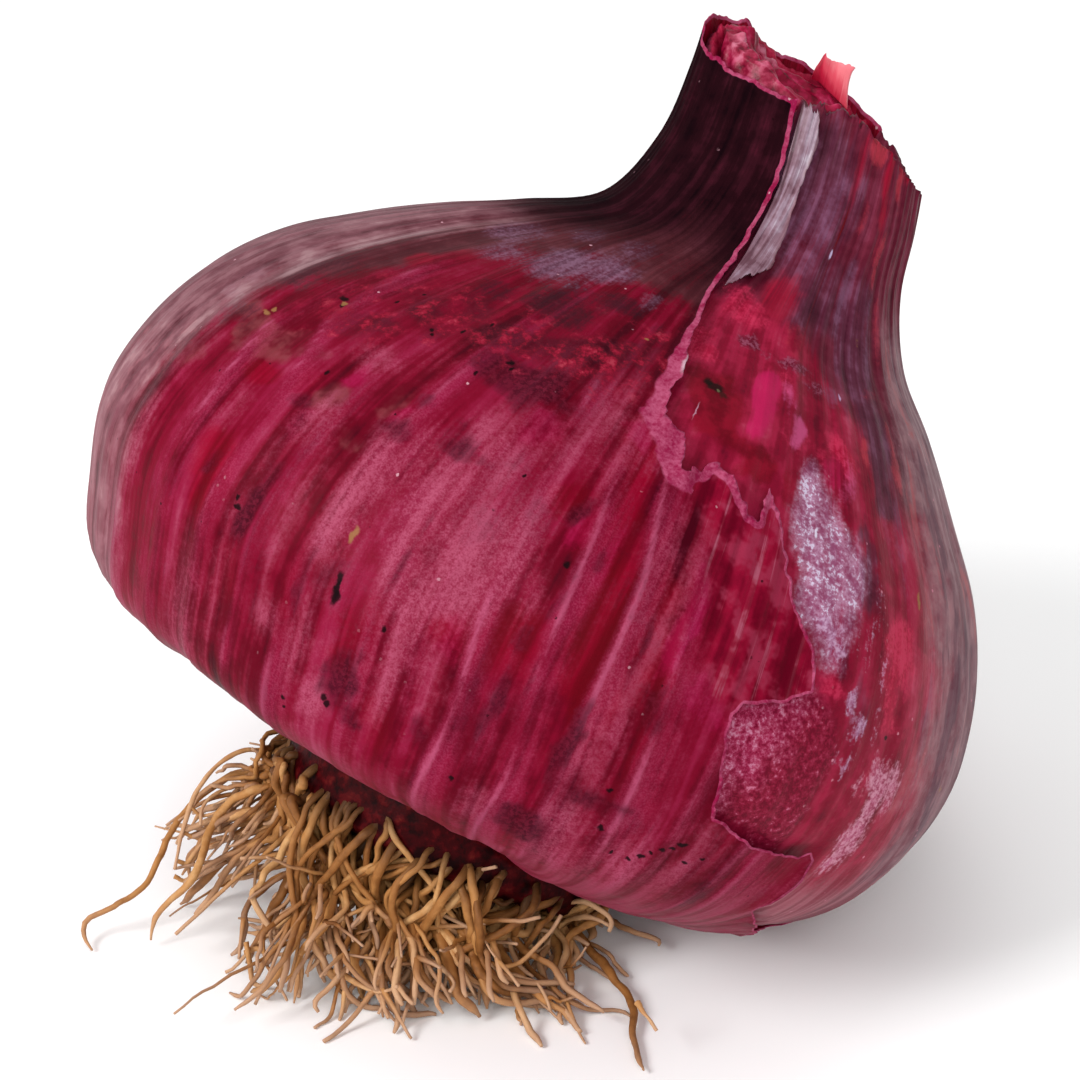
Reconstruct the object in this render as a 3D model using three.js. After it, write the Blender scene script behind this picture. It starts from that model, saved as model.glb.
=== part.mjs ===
// Red onion bulb with its dried neck, torn papery outer skin, basal plate and root tuft.
// Millimetres, +Z up. The onion lies leaning over: it rests on a small flattened spot low on
// the bulb, which is the origin, and on the tips of its roots.
import * as THREE from "three";
import { mergeVertices } from "three/addons/utils/BufferGeometryUtils.js";

// ---------------------------------------------------------------- driving dimensions
const SKIN_THICK = 0.35; // dry outer skin
const SKIN_GAP = 0.45; // air between the outer skin and the bulb under it
const PLATE_RADIUS = 14.3; // basal plate that carries the roots
const PLATE_DEPTH = 3.5; // how far the plate stands below the base pole, at its middle
const COLLAR_OUTER = 17.2; // ring of old skin remnants round the plate
const SKIN_START = 17.8; // where the outer skin begins, measured along the skin from the pole
const CORE_INSET = 3.2; // torn inner leaf tissue, inside the neck wall
const SHEATH_INSET = 2.3; // loose leaf sheath on the far right of the neck
const ROOT_SIDES = 5;

// The onion's own frame: E1 and E2 span its equator, AXIS runs from the base to the neck.
const BASE_POLE = [-27.795, -12.753, 10.581];
const E1 = [0.8987941, -0.1852637, -0.3972992];
const E2 = [0.0761224, 0.9584986, -0.2747467];
const AXIS = [0.4317113, 0.2166974, 0.8755956];

// Two meridians of the bulb, on opposite sides: [radius, height] at each chord station.
const STATION = [0, 7, 14.03, 21.1, 28.44, 35.87, 43.04, 49.97, 56.67, 63.18, 70.11, 77.37, 85.15, 92.96, 100.46, 107.32, 113.45, 119.57, 125.57];
const SIDE_A = [[0, 0.9], [6.9, 1.9], [13.7, 3.3], [20.4, 4.8], [27.4, 6.3], [35.2, 7.3], [42.3, 10.1], [45.5, 17.1], [47.27, 24.33], [46.22, 31.26], [43.35, 37.89], [38.79, 43.74], [32.62, 48.59], [25.98, 52.71], [19.14, 56.41], [12.27, 60.66], [10, 67.6], [10.2, 74.7], [11.2, 81]];
const SIDE_B = [[0, 0.9], [7, 0.8], [14, 1], [21.1, 1.7], [28.4, 3.2], [34.9, 6.9], [39.7, 12.4], [42.2, 18.7], [42.72, 24.75], [41.73, 30.29], [39.6, 35.94], [36.16, 41.55], [31.25, 47.09], [26.06, 52.82], [20.61, 58.06], [17.19, 64.13], [15.74, 69.72], [14.11, 75.2], [12.6, 81]];
const NECK_FLATTENING = 0.36; // the neck is this much thinner front to back
const BASE_LIFT = 2.2; // hollow of the base on its front left

// Height of the torn rim of the neck round its circumference: [degrees, station].
const RIM = [[0, 117.5], [20, 118.5], [45, 121], [70, 123.2], [90, 124.3], [110, 124], [135, 125.3], [160, 124.8], [180, 123.2], [198, 121.8], [218, 121], [244, 120.8], [263, 121], [275, 121.3], [286, 122], [299, 121.2], [311, 120.2], [328, 119.2], [345, 118.2], [360, 117.5]];
// Upper edge of the outer skin where it has torn away on the right: [degrees, station].
const TEAR = [[262.5, 121], [264, 116], [266.5, 107], [270, 102], [272, 96], [274, 84], [276, 78.4], [280, 79.4], [284, 82.2], [287, 81.6], [290, 78.8], [293, 82.6], [296, 80], [300, 77], [303, 72], [305, 66], [307.5, 58], [310.5, 52.5], [314, 49.4], [316.5, 46.2], [320, 41.6], [325, 39.6], [331, 39], [340, 39], [348, 41], [357, 45], [370, 54], [382, 68], [393, 84], [402, 101], [409, 113], [413, 120.5]];

// ---------------------------------------------------------------- curves
// Cubic Hermite through unevenly spaced stations, with finite-difference slopes.
function hermite(xs, ys) {
  const n = xs.length,
    dim = ys[0].length;
  const slope = xs.map(() => new Array(dim).fill(0));
  for (let k = 0; k < dim; k++) {
    const d = [];
    for (let i = 0; i < n - 1; i++) d.push((ys[i + 1][k] - ys[i][k]) / (xs[i + 1] - xs[i]));
    for (let i = 1; i < n - 1; i++) {
      const a = xs[i] - xs[i - 1],
        b = xs[i + 1] - xs[i];
      slope[i][k] = (d[i - 1] * b + d[i] * a) / (a + b);
    }
    slope[0][k] = 1.5 * d[0] - 0.5 * slope[1][k];
    slope[n - 1][k] = 1.5 * d[n - 2] - 0.5 * slope[n - 2][k];
  }
  return (t) => {
    let i = 0;
    while (i < n - 2 && t >= xs[i + 1]) i++;
    const h = xs[i + 1] - xs[i],
      u = (t - xs[i]) / h,
      u2 = u * u,
      u3 = u2 * u;
    return ys[i].map(
      (y, k) =>
        (2 * u3 - 3 * u2 + 1) * y +
        (u3 - 2 * u2 + u) * h * slope[i][k] +
        (3 * u2 - 2 * u3) * ys[i + 1][k] +
        (u3 - u2) * h * slope[i + 1][k],
    );
  };
}
function lerpTable(table, x) {
  if (x <= table[0][0]) return table[0][1];
  for (let i = 0; i < table.length - 1; i++)
    if (x <= table[i + 1][0]) {
      const [x0, y0] = table[i],
        [x1, y1] = table[i + 1];
      return y0 + ((y1 - y0) * (x - x0)) / (x1 - x0);
    }
  return table[table.length - 1][1];
}
const smooth = (a, b, x) => {
  const t = Math.min(1, Math.max(0, (x - a) / (b - a)));
  return t * t * (3 - 2 * t);
};
const rad = (deg) => (deg * Math.PI) / 180;

const sideA = hermite(STATION, SIDE_A);
const sideB = hermite(STATION, SIDE_B);

// Outer surface of the onion in its own frame, at `deg` round the axis and `s` along the skin.
function surface(deg, s) {
  const [ra, ha] = sideA(s),
    [rb, hb] = sideB(s),
    p = rad(deg);
  const mid = (rb - ra) / 2,
    half = (rb + ra) / 2,
    h = (ha + hb) / 2,
    dh = (hb - ha) / 2;
  const depth =
    Math.hypot(half, dh) *
    (1 - NECK_FLATTENING * Math.pow(Math.min(1, Math.max(0, (h - 50) / 22)), 1.3));
  const lift =
    BASE_LIFT * smooth(1, 12, s) * (1 - smooth(28, 44, s)) * Math.pow(Math.max(0, Math.cos(p - rad(235))), 2);
  return new THREE.Vector3(mid + half * Math.cos(p), depth * Math.sin(p), h + dh * Math.cos(p) + lift);
}
function surfaceNormal(deg, s) {
  if (s < 0.6) return new THREE.Vector3(0, 0, -1);
  const a = surface(deg + 0.5, s).sub(surface(deg - 0.5, s));
  const b = surface(deg, s + 0.2).sub(surface(deg, s - 0.2));
  return a.cross(b).normalize();
}
// A point `inset` below the outer surface.
const shellPoint = (deg, s, inset) => surface(deg, s).addScaledVector(surfaceNormal(deg, s), -inset);

// ---------------------------------------------------------------- placing
const lean = new THREE.Matrix4()
  .makeBasis(new THREE.Vector3(...E1), new THREE.Vector3(...E2), new THREE.Vector3(...AXIS))
  .setPosition(...BASE_POLE);
const leanBack = lean.clone().invert();
// Presses a point of the onion's own frame up to a level surface `floor` above the ground.
function settle(v, floor) {
  const w = v.clone().applyMatrix4(lean);
  if (w.z >= floor) return v;
  w.z = floor;
  return w.applyMatrix4(leanBack);
}

// ---------------------------------------------------------------- mesh helpers
const part = new THREE.Group();
const onion = new THREE.Group(); // everything that leans with the bulb
onion.applyMatrix4(lean);
const roots = new THREE.Group();
part.add(onion, roots);

function addMesh(group, name, rows, tris, colour, roughness) {
  const g = new THREE.BufferGeometry();
  g.setAttribute("position", new THREE.Float32BufferAttribute(rows.flatMap((v) => [v.x, v.y, v.z]), 3));
  g.setIndex(tris);
  const merged = mergeVertices(g, 1e-4);
  merged.computeVertexNormals();
  const mesh = new THREE.Mesh(merged, new THREE.MeshStandardMaterial({ color: colour, roughness, metalness: 0 }));
  mesh.name = name;
  group.add(mesh);
  return mesh;
}
// Closed body from rings of equal count: each ring is joined to the next, and an end that is
// one point is a fan. `loop` joins the last ring back to the first, as on a band.
function rings(list, loop = false) {
  const verts = [],
    tris = [],
    start = [];
  for (const ring of list) {
    start.push(verts.length);
    verts.push(...ring);
  }
  const n = Math.max(...list.map((r) => r.length));
  const count = loop ? list.length : list.length - 1;
  for (let i = 0; i < count; i++) {
    const a = list[i],
      b = list[(i + 1) % list.length],
      sa = start[i],
      sb = start[(i + 1) % list.length];
    for (let j = 0; j < n; j++) {
      const k = (j + 1) % n;
      if (a.length === 1) tris.push(sa, sb + k, sb + j);
      else if (b.length === 1) tris.push(sa + j, sa + k, sb);
      else tris.push(sa + j, sa + k, sb + k, sa + j, sb + k, sb + j);
    }
  }
  return [verts, tris];
}
// Plate bent over the surface: a grid of outer points and one of inner points, closed all round.
function plate(outer, inner) {
  const m = outer.length,
    n = outer[0].length,
    verts = [...outer.flat(), ...inner.flat()],
    tris = [],
    o = (i, j) => i * n + j,
    q = (i, j) => m * n + i * n + j;
  for (let i = 0; i < m - 1; i++)
    for (let j = 0; j < n - 1; j++) {
      tris.push(o(i, j), o(i, j + 1), o(i + 1, j + 1), o(i, j), o(i + 1, j + 1), o(i + 1, j));
      tris.push(q(i, j), q(i + 1, j + 1), q(i, j + 1), q(i, j), q(i + 1, j), q(i + 1, j + 1));
    }
  for (let i = 0; i < m - 1; i++) {
    tris.push(o(i, 0), o(i + 1, 0), q(i + 1, 0), o(i, 0), q(i + 1, 0), q(i, 0));
    tris.push(o(i, n - 1), q(i + 1, n - 1), o(i + 1, n - 1), o(i, n - 1), q(i, n - 1), q(i + 1, n - 1));
  }
  for (let j = 0; j < n - 1; j++) {
    tris.push(o(0, j), q(0, j + 1), o(0, j + 1), o(0, j), q(0, j), q(0, j + 1));
    tris.push(o(m - 1, j), o(m - 1, j + 1), q(m - 1, j + 1), o(m - 1, j), q(m - 1, j + 1), q(m - 1, j));
  }
  return [verts, tris];
}

// Directions of the grid columns, closer together at the tear and at the resting spot.
const COLUMNS = [9, 17, 23.5, 28.5, 33, 37.5, 42.5, 47, 53, 62, 71, 80, 89, 98, 107, 116, 125, 134, 143, 152, 161, 170, 179, 188, 197, 206, 215, 224, 233, 242, 250, 257, 262.4, 266.5, 270, 273, 276, 280, 284, 288, 292, 296, 299, 301.5, 303.5, 305, 306.2, 307.5, 309, 310.5, 312.2, 314, 316.5, 320, 325, 331, 340, 350, 360];
const LOW_ROWS = [17.8, 22, 26, 29, 31, 33, 35, 38];

const rimAt = (deg) => lerpTable(RIM, ((deg % 360) + 360) % 360);
// Top of the outer skin at a direction: the neck's rim, or the torn edge on the right.
function skinTop(deg) {
  const d = ((deg % 360) + 360) % 360,
    e = d < 100 ? d + 360 : d;
  if (e > TEAR[0][0] && e < TEAR[TEAR.length - 1][0]) return Math.min(rimAt(d), lerpTable(TEAR, e));
  return rimAt(d);
}

// ---------------------------------------------------------------- bulb: fleshy scales and second skin
const BULB_INSET = SKIN_THICK + SKIN_GAP;
{
  const cols = COLUMNS,
    list = [[shellPoint(0, 0, BULB_INSET)]];
  for (const s of [8, 16, 22, 26, 29, 33, 38, 43, 50, 57, 64, 71, 78, 85, 91, 96, 100, 104, 108, 112, 115.5])
    list.push(cols.map((c) => settle(shellPoint(c, s, BULB_INSET), BULB_INSET)));
  for (const [t, inset] of [[0, BULB_INSET], [0.15, 1.5], [2.3, 2.1]])
    list.push(cols.map((c) => shellPoint(c, rimAt(c) - (c >= 53 && c < 263 ? 0.8 : 0) - t, inset)));
  list.push([new THREE.Vector3(1.5, 0, 73)]);
  const [v, t] = rings(list);
  addMesh(onion, "bulb", v, t, 0x8a1238, 0.35);
}

// ---------------------------------------------------------------- outer skin: one dry scale, torn open on the right
{
  const outer = [],
    inner = [];
  const upper = 22;
  for (let i = 0; i < LOW_ROWS.length + upper; i++) {
    const at = (c) => {
      if (i < LOW_ROWS.length) return LOW_ROWS[i];
      const from = LOW_ROWS[LOW_ROWS.length - 1],
        f = (i - LOW_ROWS.length + 1) / upper;
      return from + (skinTop(c) - from) * f;
    };
    outer.push(COLUMNS.map((c) => settle(shellPoint(c, at(c), 0), 0)));
    inner.push(COLUMNS.map((c) => settle(shellPoint(c, at(c), SKIN_THICK), SKIN_THICK)));
  }
  const [v, t] = rings([...outer, ...inner.reverse()], true);
  addMesh(onion, "outer_skin", v, t, 0xa01544, 0.4);
}

// ---------------------------------------------------------------- pale folded strip of skin beside the tear
{
  const edge = [[120.4, 265.2], [116, 265.9], [112, 266.9], [108, 268.2], [104.5, 270.4], [102.6, 272.2]];
  const width = [[102.6, 3.5], [105, 8.5], [110, 9], [116, 7.8], [120.4, 7]];
  const outer = edge.map(([s, d]) => [0, 1, 2, 3].map((k) => shellPoint(d + 1.2 + (lerpTable(width, s) * k) / 3, s, k === 1 || k === 2 ? -0.35 : -0.1)));
  const inner = edge.map(([s, d]) => [0, 1, 2, 3].map((k) => shellPoint(d + 1.2 + (lerpTable(width, s) * k) / 3, s, 0.28)));
  const [v, t] = plate(outer.reverse(), inner.reverse());
  addMesh(onion, "skin_strip", v, t, 0xc9b6c4, 0.6);
}

// ---------------------------------------------------------------- torn inner leaf tissue in the neck
{
  const cols = [];
  for (let d = 0; d < 360; d += 22.5) cols.push(d);
  const top = [[0, 117], [45, 118.5], [90, 121.5], [120, 123.4], [150, 124.8], [180, 123.6], [210, 122.6], [240, 121.8], [270, 120.4], [300, 119], [330, 117.6], [360, 117]];
  const floorAt = (d) => rimAt(d) - 2.1 - (d >= 53 && d < 263 ? 0.8 : 0);
  const list = [[new THREE.Vector3(1.5, 0, 73.5)]];
  list.push(cols.map((c) => shellPoint(c, floorAt(c) + 0.9, CORE_INSET)));
  list.push(cols.map((c) => shellPoint(c, Math.max(lerpTable(top, c), floorAt(c) + 1.5), CORE_INSET)));
  list.push(cols.map((c, i) => shellPoint(c, Math.max(lerpTable(top, c), floorAt(c) + 1.5) + (i % 3 === 0 ? 0.7 : -0.2), CORE_INSET + 2)));
  list.push([new THREE.Vector3(-0.5, 0, 77.6)]);
  const [v, t] = rings(list);
  addMesh(onion, "neck_core", v, t, 0xa50f3a, 0.55);
}

// ---------------------------------------------------------------- loose leaf sheath standing on the far right
{
  const span = [62, 68, 74, 80, 86, 92];
  const rowsS = [0, 0.25, 0.5, 0.75, 1];
  const topS = [[62, 126.6], [68, 127], [80, 126.2], [92, 125.2]];
  const make = (inset) => rowsS.map((f) => span.map((d) => shellPoint(d, Math.min(125.5, rimAt(d) - 0.9 + f * (lerpTable(topS, d) - rimAt(d) + 0.9)), inset).addScaledVector(new THREE.Vector3(0, 0, 1), Math.max(0, rimAt(d) - 0.9 + f * (lerpTable(topS, d) - rimAt(d) + 0.9) - 125.5))));
  const [v, t] = plate(make(SHEATH_INSET), make(SHEATH_INSET + 0.55));
  addMesh(onion, "neck_sheath", v, t, 0xd8505a, 0.5);
}

// ---------------------------------------------------------------- basal plate
const plateUnder = (r) => -(PLATE_DEPTH - 0.5 * (r / PLATE_RADIUS) ** 2);
{
  const cols = [];
  for (let d = 0; d < 360; d += 15) cols.push(d);
  const list = [[new THREE.Vector3(0, 0, plateUnder(0))]];
  for (const r of [5, 10, 13.2])
    list.push(cols.map((c) => new THREE.Vector3(r * Math.cos(rad(c)), r * Math.sin(rad(c)), plateUnder(r))));
  list.push(cols.map((c) => new THREE.Vector3(PLATE_RADIUS * Math.cos(rad(c)), PLATE_RADIUS * Math.sin(rad(c)), plateUnder(PLATE_RADIUS) + 0.7)));
  for (const s of [14.0, 10, 5]) list.push(cols.map((c) => shellPoint(c, s, 0.42)));
  list.push([shellPoint(0, 0, 0.42)]);
  const [v, t] = rings(list);
  addMesh(onion, "basal_plate", v, t, 0x6b4a2a, 0.9);
}

// ---------------------------------------------------------------- ragged ring of old skins round the plate
{
  const cols = [];
  for (let d = 0; d < 360; d += 10) cols.push(d);
  const ragged = (i) => 0.28 * Math.sin(i * 2.4) + 0.22 * Math.sin(i * 5.1 + 1);
  const at = (c, r, h) => new THREE.Vector3(r * Math.cos(rad(c)), r * Math.sin(rad(c)), h);
  const list = [
    cols.map((c) => shellPoint(c, 14.9, 0.42)),
    cols.map((c, i) => at(c, 14.9, -2.1 + ragged(i))),
    cols.map((c, i) => at(c, 16.2, -2.7 + ragged(i) * 0.8)),
    cols.map((c) => at(c, COLLAR_OUTER, -1.4)),
    cols.map((c) => at(c, COLLAR_OUTER - 0.1, surface(c, 17.1).z - 0.9)),
    cols.map((c) => shellPoint(c, 16.4, 0.42)),
  ];
  const [v, t] = rings(list, true);
  addMesh(onion, "base_collar", v, t, 0x3a0a12, 0.8);
}

// ---------------------------------------------------------------- roots
// Each root is a thin tapering strand from the plate down to the ground: its radius where it
// leaves the plate, its radius at the tip, and the points that it runs through.
const ROOTS = [
  { r: 0.42, tip: 0.30, path: [[-40.76, -10.23, 12.32], [-43.38, -13.10, 12.58], [-44.80, -14.89, 14.96], [-46.66, -12.09, 14.30], [-49.18, -10.19, 12.67], [-52.11, -11.24, 11.07], [-54.45, -13.14, 9.05], [-55.91, -15.29, 6.86], [-57.01, -17.76, 4.71], [-59.87, -19.72, 3.52], [-63.08, -20.47, 2.12], [-62.48, -23.05, 0.28]] },
  { r: 0.50, tip: 0.30, path: [[-39.06, -13.03, 12.04], [-41.33, -14.24, 11.15], [-43.75, -14.82, 12.51], [-46.07, -15.37, 14.09], [-48.27, -15.05, 12.98], [-49.99, -15.24, 11.20], [-51.07, -17.22, 9.89], [-51.73, -19.45, 8.69], [-52.71, -21.28, 7.25], [-54.55, -21.50, 5.44], [-55.99, -21.27, 3.28], [-56.62, -22.07, 0.96]] },
  { r: 0.50, tip: 0.30, path: [[-38.49, -6.99, 10.32], [-40.47, -8.29, 9.89], [-41.88, -9.55, 10.70], [-42.87, -10.53, 12.10], [-43.64, -11.65, 13.49], [-45.13, -12.41, 13.77], [-46.86, -12.11, 12.16], [-48.58, -11.60, 10.59], [-50.11, -10.33, 9.27], [-51.55, -8.85, 8.06], [-53.01, -7.52, 6.74], [-54.52, -7.00, 4.98]] },
  { r: 0.55, tip: 0.35, path: [[-37.39, -10.05, 10.39], [-39.70, -11.41, 10.22], [-41.28, -12.62, 11.84], [-42.16, -14.27, 13.58], [-43.63, -15.96, 14.42], [-45.40, -16.90, 12.92], [-47.33, -16.11, 11.56], [-49.01, -14.59, 10.38], [-50.62, -12.99, 9.20], [-52.28, -12.43, 7.40], [-52.95, -13.43, 5.23], [-54.14, -13.42, 3.02]] },
  { r: 0.50, tip: 0.30, path: [[-34.80, -8.64, 8.68], [-36.76, -10.65, 8.34], [-38.19, -12.75, 9.49], [-39.26, -14.66, 11.28], [-41.04, -16.08, 12.86], [-43.58, -16.41, 11.89], [-45.86, -15.80, 10.34], [-47.90, -14.54, 8.77], [-50.00, -13.40, 7.20], [-52.03, -11.94, 5.79], [-53.79, -11.18, 3.75], [-53.99, -11.38, 0.98]] },
  { r: 0.60, tip: 0.40, path: [[-36.51, -14.90, 11.10], [-38.19, -16.99, 11.08], [-38.61, -18.60, 12.66], [-40.43, -18.76, 12.80], [-42.33, -17.94, 11.46], [-44.27, -17.13, 10.16], [-46.32, -16.62, 8.86], [-48.36, -16.30, 7.51], [-50.20, -16.04, 5.88], [-51.95, -15.95, 4.14], [-53.48, -15.89, 2.21], [-54.67, -14.74, 0.37]] },
  { r: 0.55, tip: 0.35, path: [[-31.93, -9.25, 7.33], [-33.47, -11.36, 6.84], [-34.20, -13.67, 7.92], [-34.86, -15.72, 9.56], [-36.44, -16.97, 10.06], [-38.64, -16.02, 8.89], [-40.96, -16.37, 7.64], [-43.33, -16.50, 6.42], [-45.64, -15.86, 5.29], [-47.72, -14.54, 4.24], [-49.77, -13.57, 2.82], [-51.85, -13.86, 1.17]] },
  { r: 0.60, tip: 0.40, path: [[-36.59, -18.31, 12.07], [-37.68, -19.07, 10.90], [-38.66, -19.88, 11.64], [-39.32, -20.94, 12.26], [-39.25, -22.19, 11.25], [-39.55, -22.35, 9.72], [-40.24, -22.00, 8.19], [-41.04, -22.19, 6.68], [-41.36, -22.78, 5.09], [-40.94, -23.11, 3.46], [-39.94, -22.61, 2.19], [-38.75, -21.64, 1.39]] },
  { r: 0.50, tip: 0.30, path: [[-30.25, -18.63, 8.84], [-30.83, -18.71, 7.53], [-31.53, -19.18, 6.74], [-32.12, -19.78, 6.87], [-32.69, -20.46, 6.89], [-33.31, -21.16, 6.29], [-34.28, -21.16, 5.77], [-35.29, -20.72, 5.44], [-36.37, -20.39, 5.18], [-37.45, -20.25, 4.89], [-38.47, -20.61, 4.66], [-39.40, -21.20, 4.49]] },
  { r: 0.60, tip: 0.40, path: [[-34.87, -12.52, 9.63], [-36.23, -14.35, 8.46], [-36.92, -16.81, 8.07], [-37.65, -19.29, 8.91], [-37.72, -21.77, 8.78], [-37.36, -24.22, 7.69], [-37.94, -26.08, 6.05], [-39.88, -26.26, 4.43], [-42.13, -25.34, 3.49], [-44.04, -23.77, 2.66], [-45.88, -22.11, 1.83], [-47.67, -20.42, 0.98]] },
  { r: 0.55, tip: 0.35, path: [[-39.34, -17.03, 13.25], [-40.04, -17.33, 11.67], [-40.76, -18.28, 10.51], [-41.59, -19.58, 9.83], [-42.34, -20.84, 8.99], [-43.03, -22.06, 8.06], [-43.75, -23.11, 6.95], [-44.43, -24.07, 5.73], [-45.00, -25.12, 4.54], [-45.78, -25.85, 3.24], [-46.62, -25.98, 1.81], [-47.23, -25.30, 0.39]] },
  { r: 0.60, tip: 0.40, path: [[-35.07, -21.93, 12.31], [-36.27, -22.62, 10.93], [-37.75, -23.32, 9.84], [-39.43, -23.90, 8.99], [-40.87, -24.90, 8.13], [-41.26, -26.68, 7.40], [-41.50, -28.52, 6.71], [-42.16, -30.27, 6.06], [-43.00, -31.52, 4.89], [-43.94, -31.79, 3.18], [-45.33, -31.78, 1.82], [-46.48, -30.67, 0.66]] },
  { r: 0.55, tip: 0.25, path: [[-32.08, -25.01, 11.68], [-33.45, -25.31, 10.56], [-35.14, -25.08, 9.95], [-36.88, -24.56, 9.64], [-38.17, -25.46, 9.04], [-38.41, -27.27, 8.51], [-38.80, -28.98, 7.79], [-39.77, -30.30, 6.82], [-40.77, -30.52, 5.39], [-41.40, -30.49, 3.79], [-41.59, -31.82, 2.46], [-41.81, -32.95, 0.96]] },
  { r: 0.60, tip: 0.40, path: [[-33.59, -18.09, 10.41], [-34.88, -18.88, 9.07], [-36.23, -19.86, 8.02], [-37.27, -21.19, 7.10], [-38.47, -22.71, 6.87], [-39.34, -24.41, 6.65], [-39.93, -26.20, 6.39], [-40.11, -27.99, 5.82], [-39.99, -29.59, 4.83], [-39.18, -30.53, 3.47], [-37.86, -30.87, 2.18], [-37.19, -30.79, 0.47]] },
  { r: 0.60, tip: 0.30, path: [[-32.36, -21.18, 10.65], [-33.12, -22.50, 9.94], [-33.77, -23.86, 9.20], [-34.19, -25.36, 8.52], [-34.06, -26.93, 7.88], [-33.27, -28.41, 7.42], [-32.35, -29.23, 6.38], [-31.40, -29.42, 4.97], [-30.60, -30.22, 3.74], [-29.68, -31.07, 2.63], [-28.39, -31.16, 1.54], [-27.00, -30.72, 0.67]] },
  { r: 0.60, tip: 0.30, path: [[-29.66, -23.61, 10.00], [-30.30, -24.18, 9.01], [-31.33, -24.67, 8.36], [-32.27, -25.38, 7.75], [-31.90, -27.01, 7.48], [-31.16, -28.62, 7.35], [-30.81, -30.20, 6.87], [-30.65, -31.73, 6.16], [-30.21, -33.04, 5.22], [-29.43, -33.85, 4.07], [-28.35, -34.22, 2.91], [-27.14, -34.79, 1.96]] },
  { r: 0.58, tip: 0.30, path: [[-32.79, -15.12, 9.19], [-34.22, -16.49, 7.46], [-34.93, -18.53, 6.76], [-35.27, -20.77, 6.94], [-35.78, -22.99, 6.83], [-36.02, -25.25, 6.37], [-36.13, -27.50, 5.75], [-36.28, -29.78, 5.12], [-36.09, -31.83, 4.02], [-34.92, -32.79, 2.44], [-32.81, -32.19, 1.37], [-30.70, -31.68, 0.28]] },
  { r: 0.60, tip: 0.30, path: [[-31.51, -12.38, 7.85], [-32.25, -14.47, 6.64], [-32.76, -16.80, 6.78], [-33.29, -18.94, 7.72], [-33.97, -21.15, 8.19], [-33.98, -23.40, 7.64], [-33.76, -25.55, 6.79], [-33.66, -27.75, 5.96], [-33.47, -29.97, 5.16], [-33.40, -32.00, 3.99], [-33.57, -33.64, 2.36], [-33.63, -34.58, 0.28]] },
  { r: 0.75, tip: 0.50, path: [[-28.14, -21.05, 8.48], [-28.60, -22.64, 8.10], [-28.99, -24.24, 7.69], [-29.24, -25.86, 7.25], [-29.24, -27.48, 6.75], [-28.89, -29.04, 6.20], [-28.22, -30.50, 5.64], [-27.54, -31.91, 5.00], [-27.04, -33.39, 4.34], [-26.37, -34.57, 3.36], [-25.45, -34.88, 1.99], [-24.63, -34.79, 0.50]] },
  { r: 0.65, tip: 0.35, path: [[-25.04, -21.94, 7.26], [-25.49, -23.19, 7.10], [-25.90, -24.45, 6.92], [-26.21, -25.72, 6.65], [-26.34, -26.99, 6.25], [-26.21, -28.21, 5.69], [-25.86, -29.32, 5.02], [-25.43, -30.37, 4.28], [-25.02, -31.42, 3.54], [-24.58, -32.41, 2.74], [-24.20, -33.05, 1.62], [-23.91, -33.32, 0.33]] },
  { r: 0.60, tip: 0.40, path: [[-21.72, -21.13, 5.50], [-23.72, -21.30, 4.79], [-24.75, -20.73, 5.92], [-25.98, -20.57, 6.70], [-26.88, -21.89, 6.57], [-27.40, -23.41, 5.84], [-27.88, -25.07, 5.34], [-28.52, -26.40, 4.46], [-29.34, -27.51, 3.44], [-30.30, -28.72, 2.63], [-31.37, -29.45, 1.52], [-32.49, -30.04, 0.37]] },
  { r: 0.60, tip: 0.30, path: [[-26.00, -24.76, 8.57], [-25.95, -26.30, 8.22], [-25.86, -27.81, 7.78], [-25.70, -29.26, 7.16], [-25.43, -30.54, 6.25], [-25.07, -31.70, 5.20], [-24.61, -33.04, 4.49], [-23.68, -33.97, 3.66], [-22.39, -34.15, 2.77], [-21.15, -33.46, 2.09], [-19.98, -32.94, 1.29], [-19.24, -33.83, 0.28]] },
  { r: 0.60, tip: 0.28, path: [[-25.54, -18.52, 6.52], [-26.16, -19.88, 4.96], [-25.88, -22.04, 4.66], [-25.05, -24.05, 4.58], [-24.02, -25.91, 4.20], [-22.96, -27.73, 3.78], [-21.87, -29.53, 3.34], [-20.71, -31.29, 2.92], [-19.54, -33.03, 2.49], [-18.02, -34.01, 1.62], [-16.42, -34.76, 0.70], [-15.53, -36.63, 0.26]] },
  { r: 0.60, tip: 0.45, path: [[-25.45, -15.17, 5.59], [-25.20, -15.56, 4.99], [-24.73, -15.86, 4.85], [-24.27, -16.18, 4.70], [-23.89, -16.57, 4.46], [-23.59, -17.00, 4.16], [-23.34, -17.45, 3.83], [-23.06, -17.91, 3.54], [-22.75, -18.38, 3.28], [-22.44, -18.84, 3.01], [-22.13, -19.31, 2.72], [-21.83, -19.77, 2.44]] },
  { r: 0.55, tip: 0.35, path: [[-22.66, -18.01, 5.06], [-21.58, -18.79, 4.26], [-20.51, -19.84, 4.07], [-19.78, -21.16, 3.83], [-18.91, -22.35, 3.49], [-17.89, -23.39, 3.03], [-17.41, -24.71, 2.49], [-17.27, -26.16, 2.07], [-17.37, -27.66, 1.82], [-17.16, -29.10, 1.40], [-16.60, -30.40, 0.88], [-15.63, -31.44, 0.32]] },
  { r: 0.72, tip: 0.40, path: [[-20.40, -15.72, 3.46], [-18.43, -17.16, 2.27], [-16.67, -19.23, 1.81], [-15.68, -21.92, 1.84], [-14.32, -24.38, 1.68], [-12.98, -26.85, 1.47], [-11.97, -29.49, 1.31], [-10.74, -32.02, 1.03], [-10.20, -34.78, 0.76], [-10.23, -37.61, 0.57], [-10.07, -40.44, 0.45], [-9.73, -43.27, 0.37]] },
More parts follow.
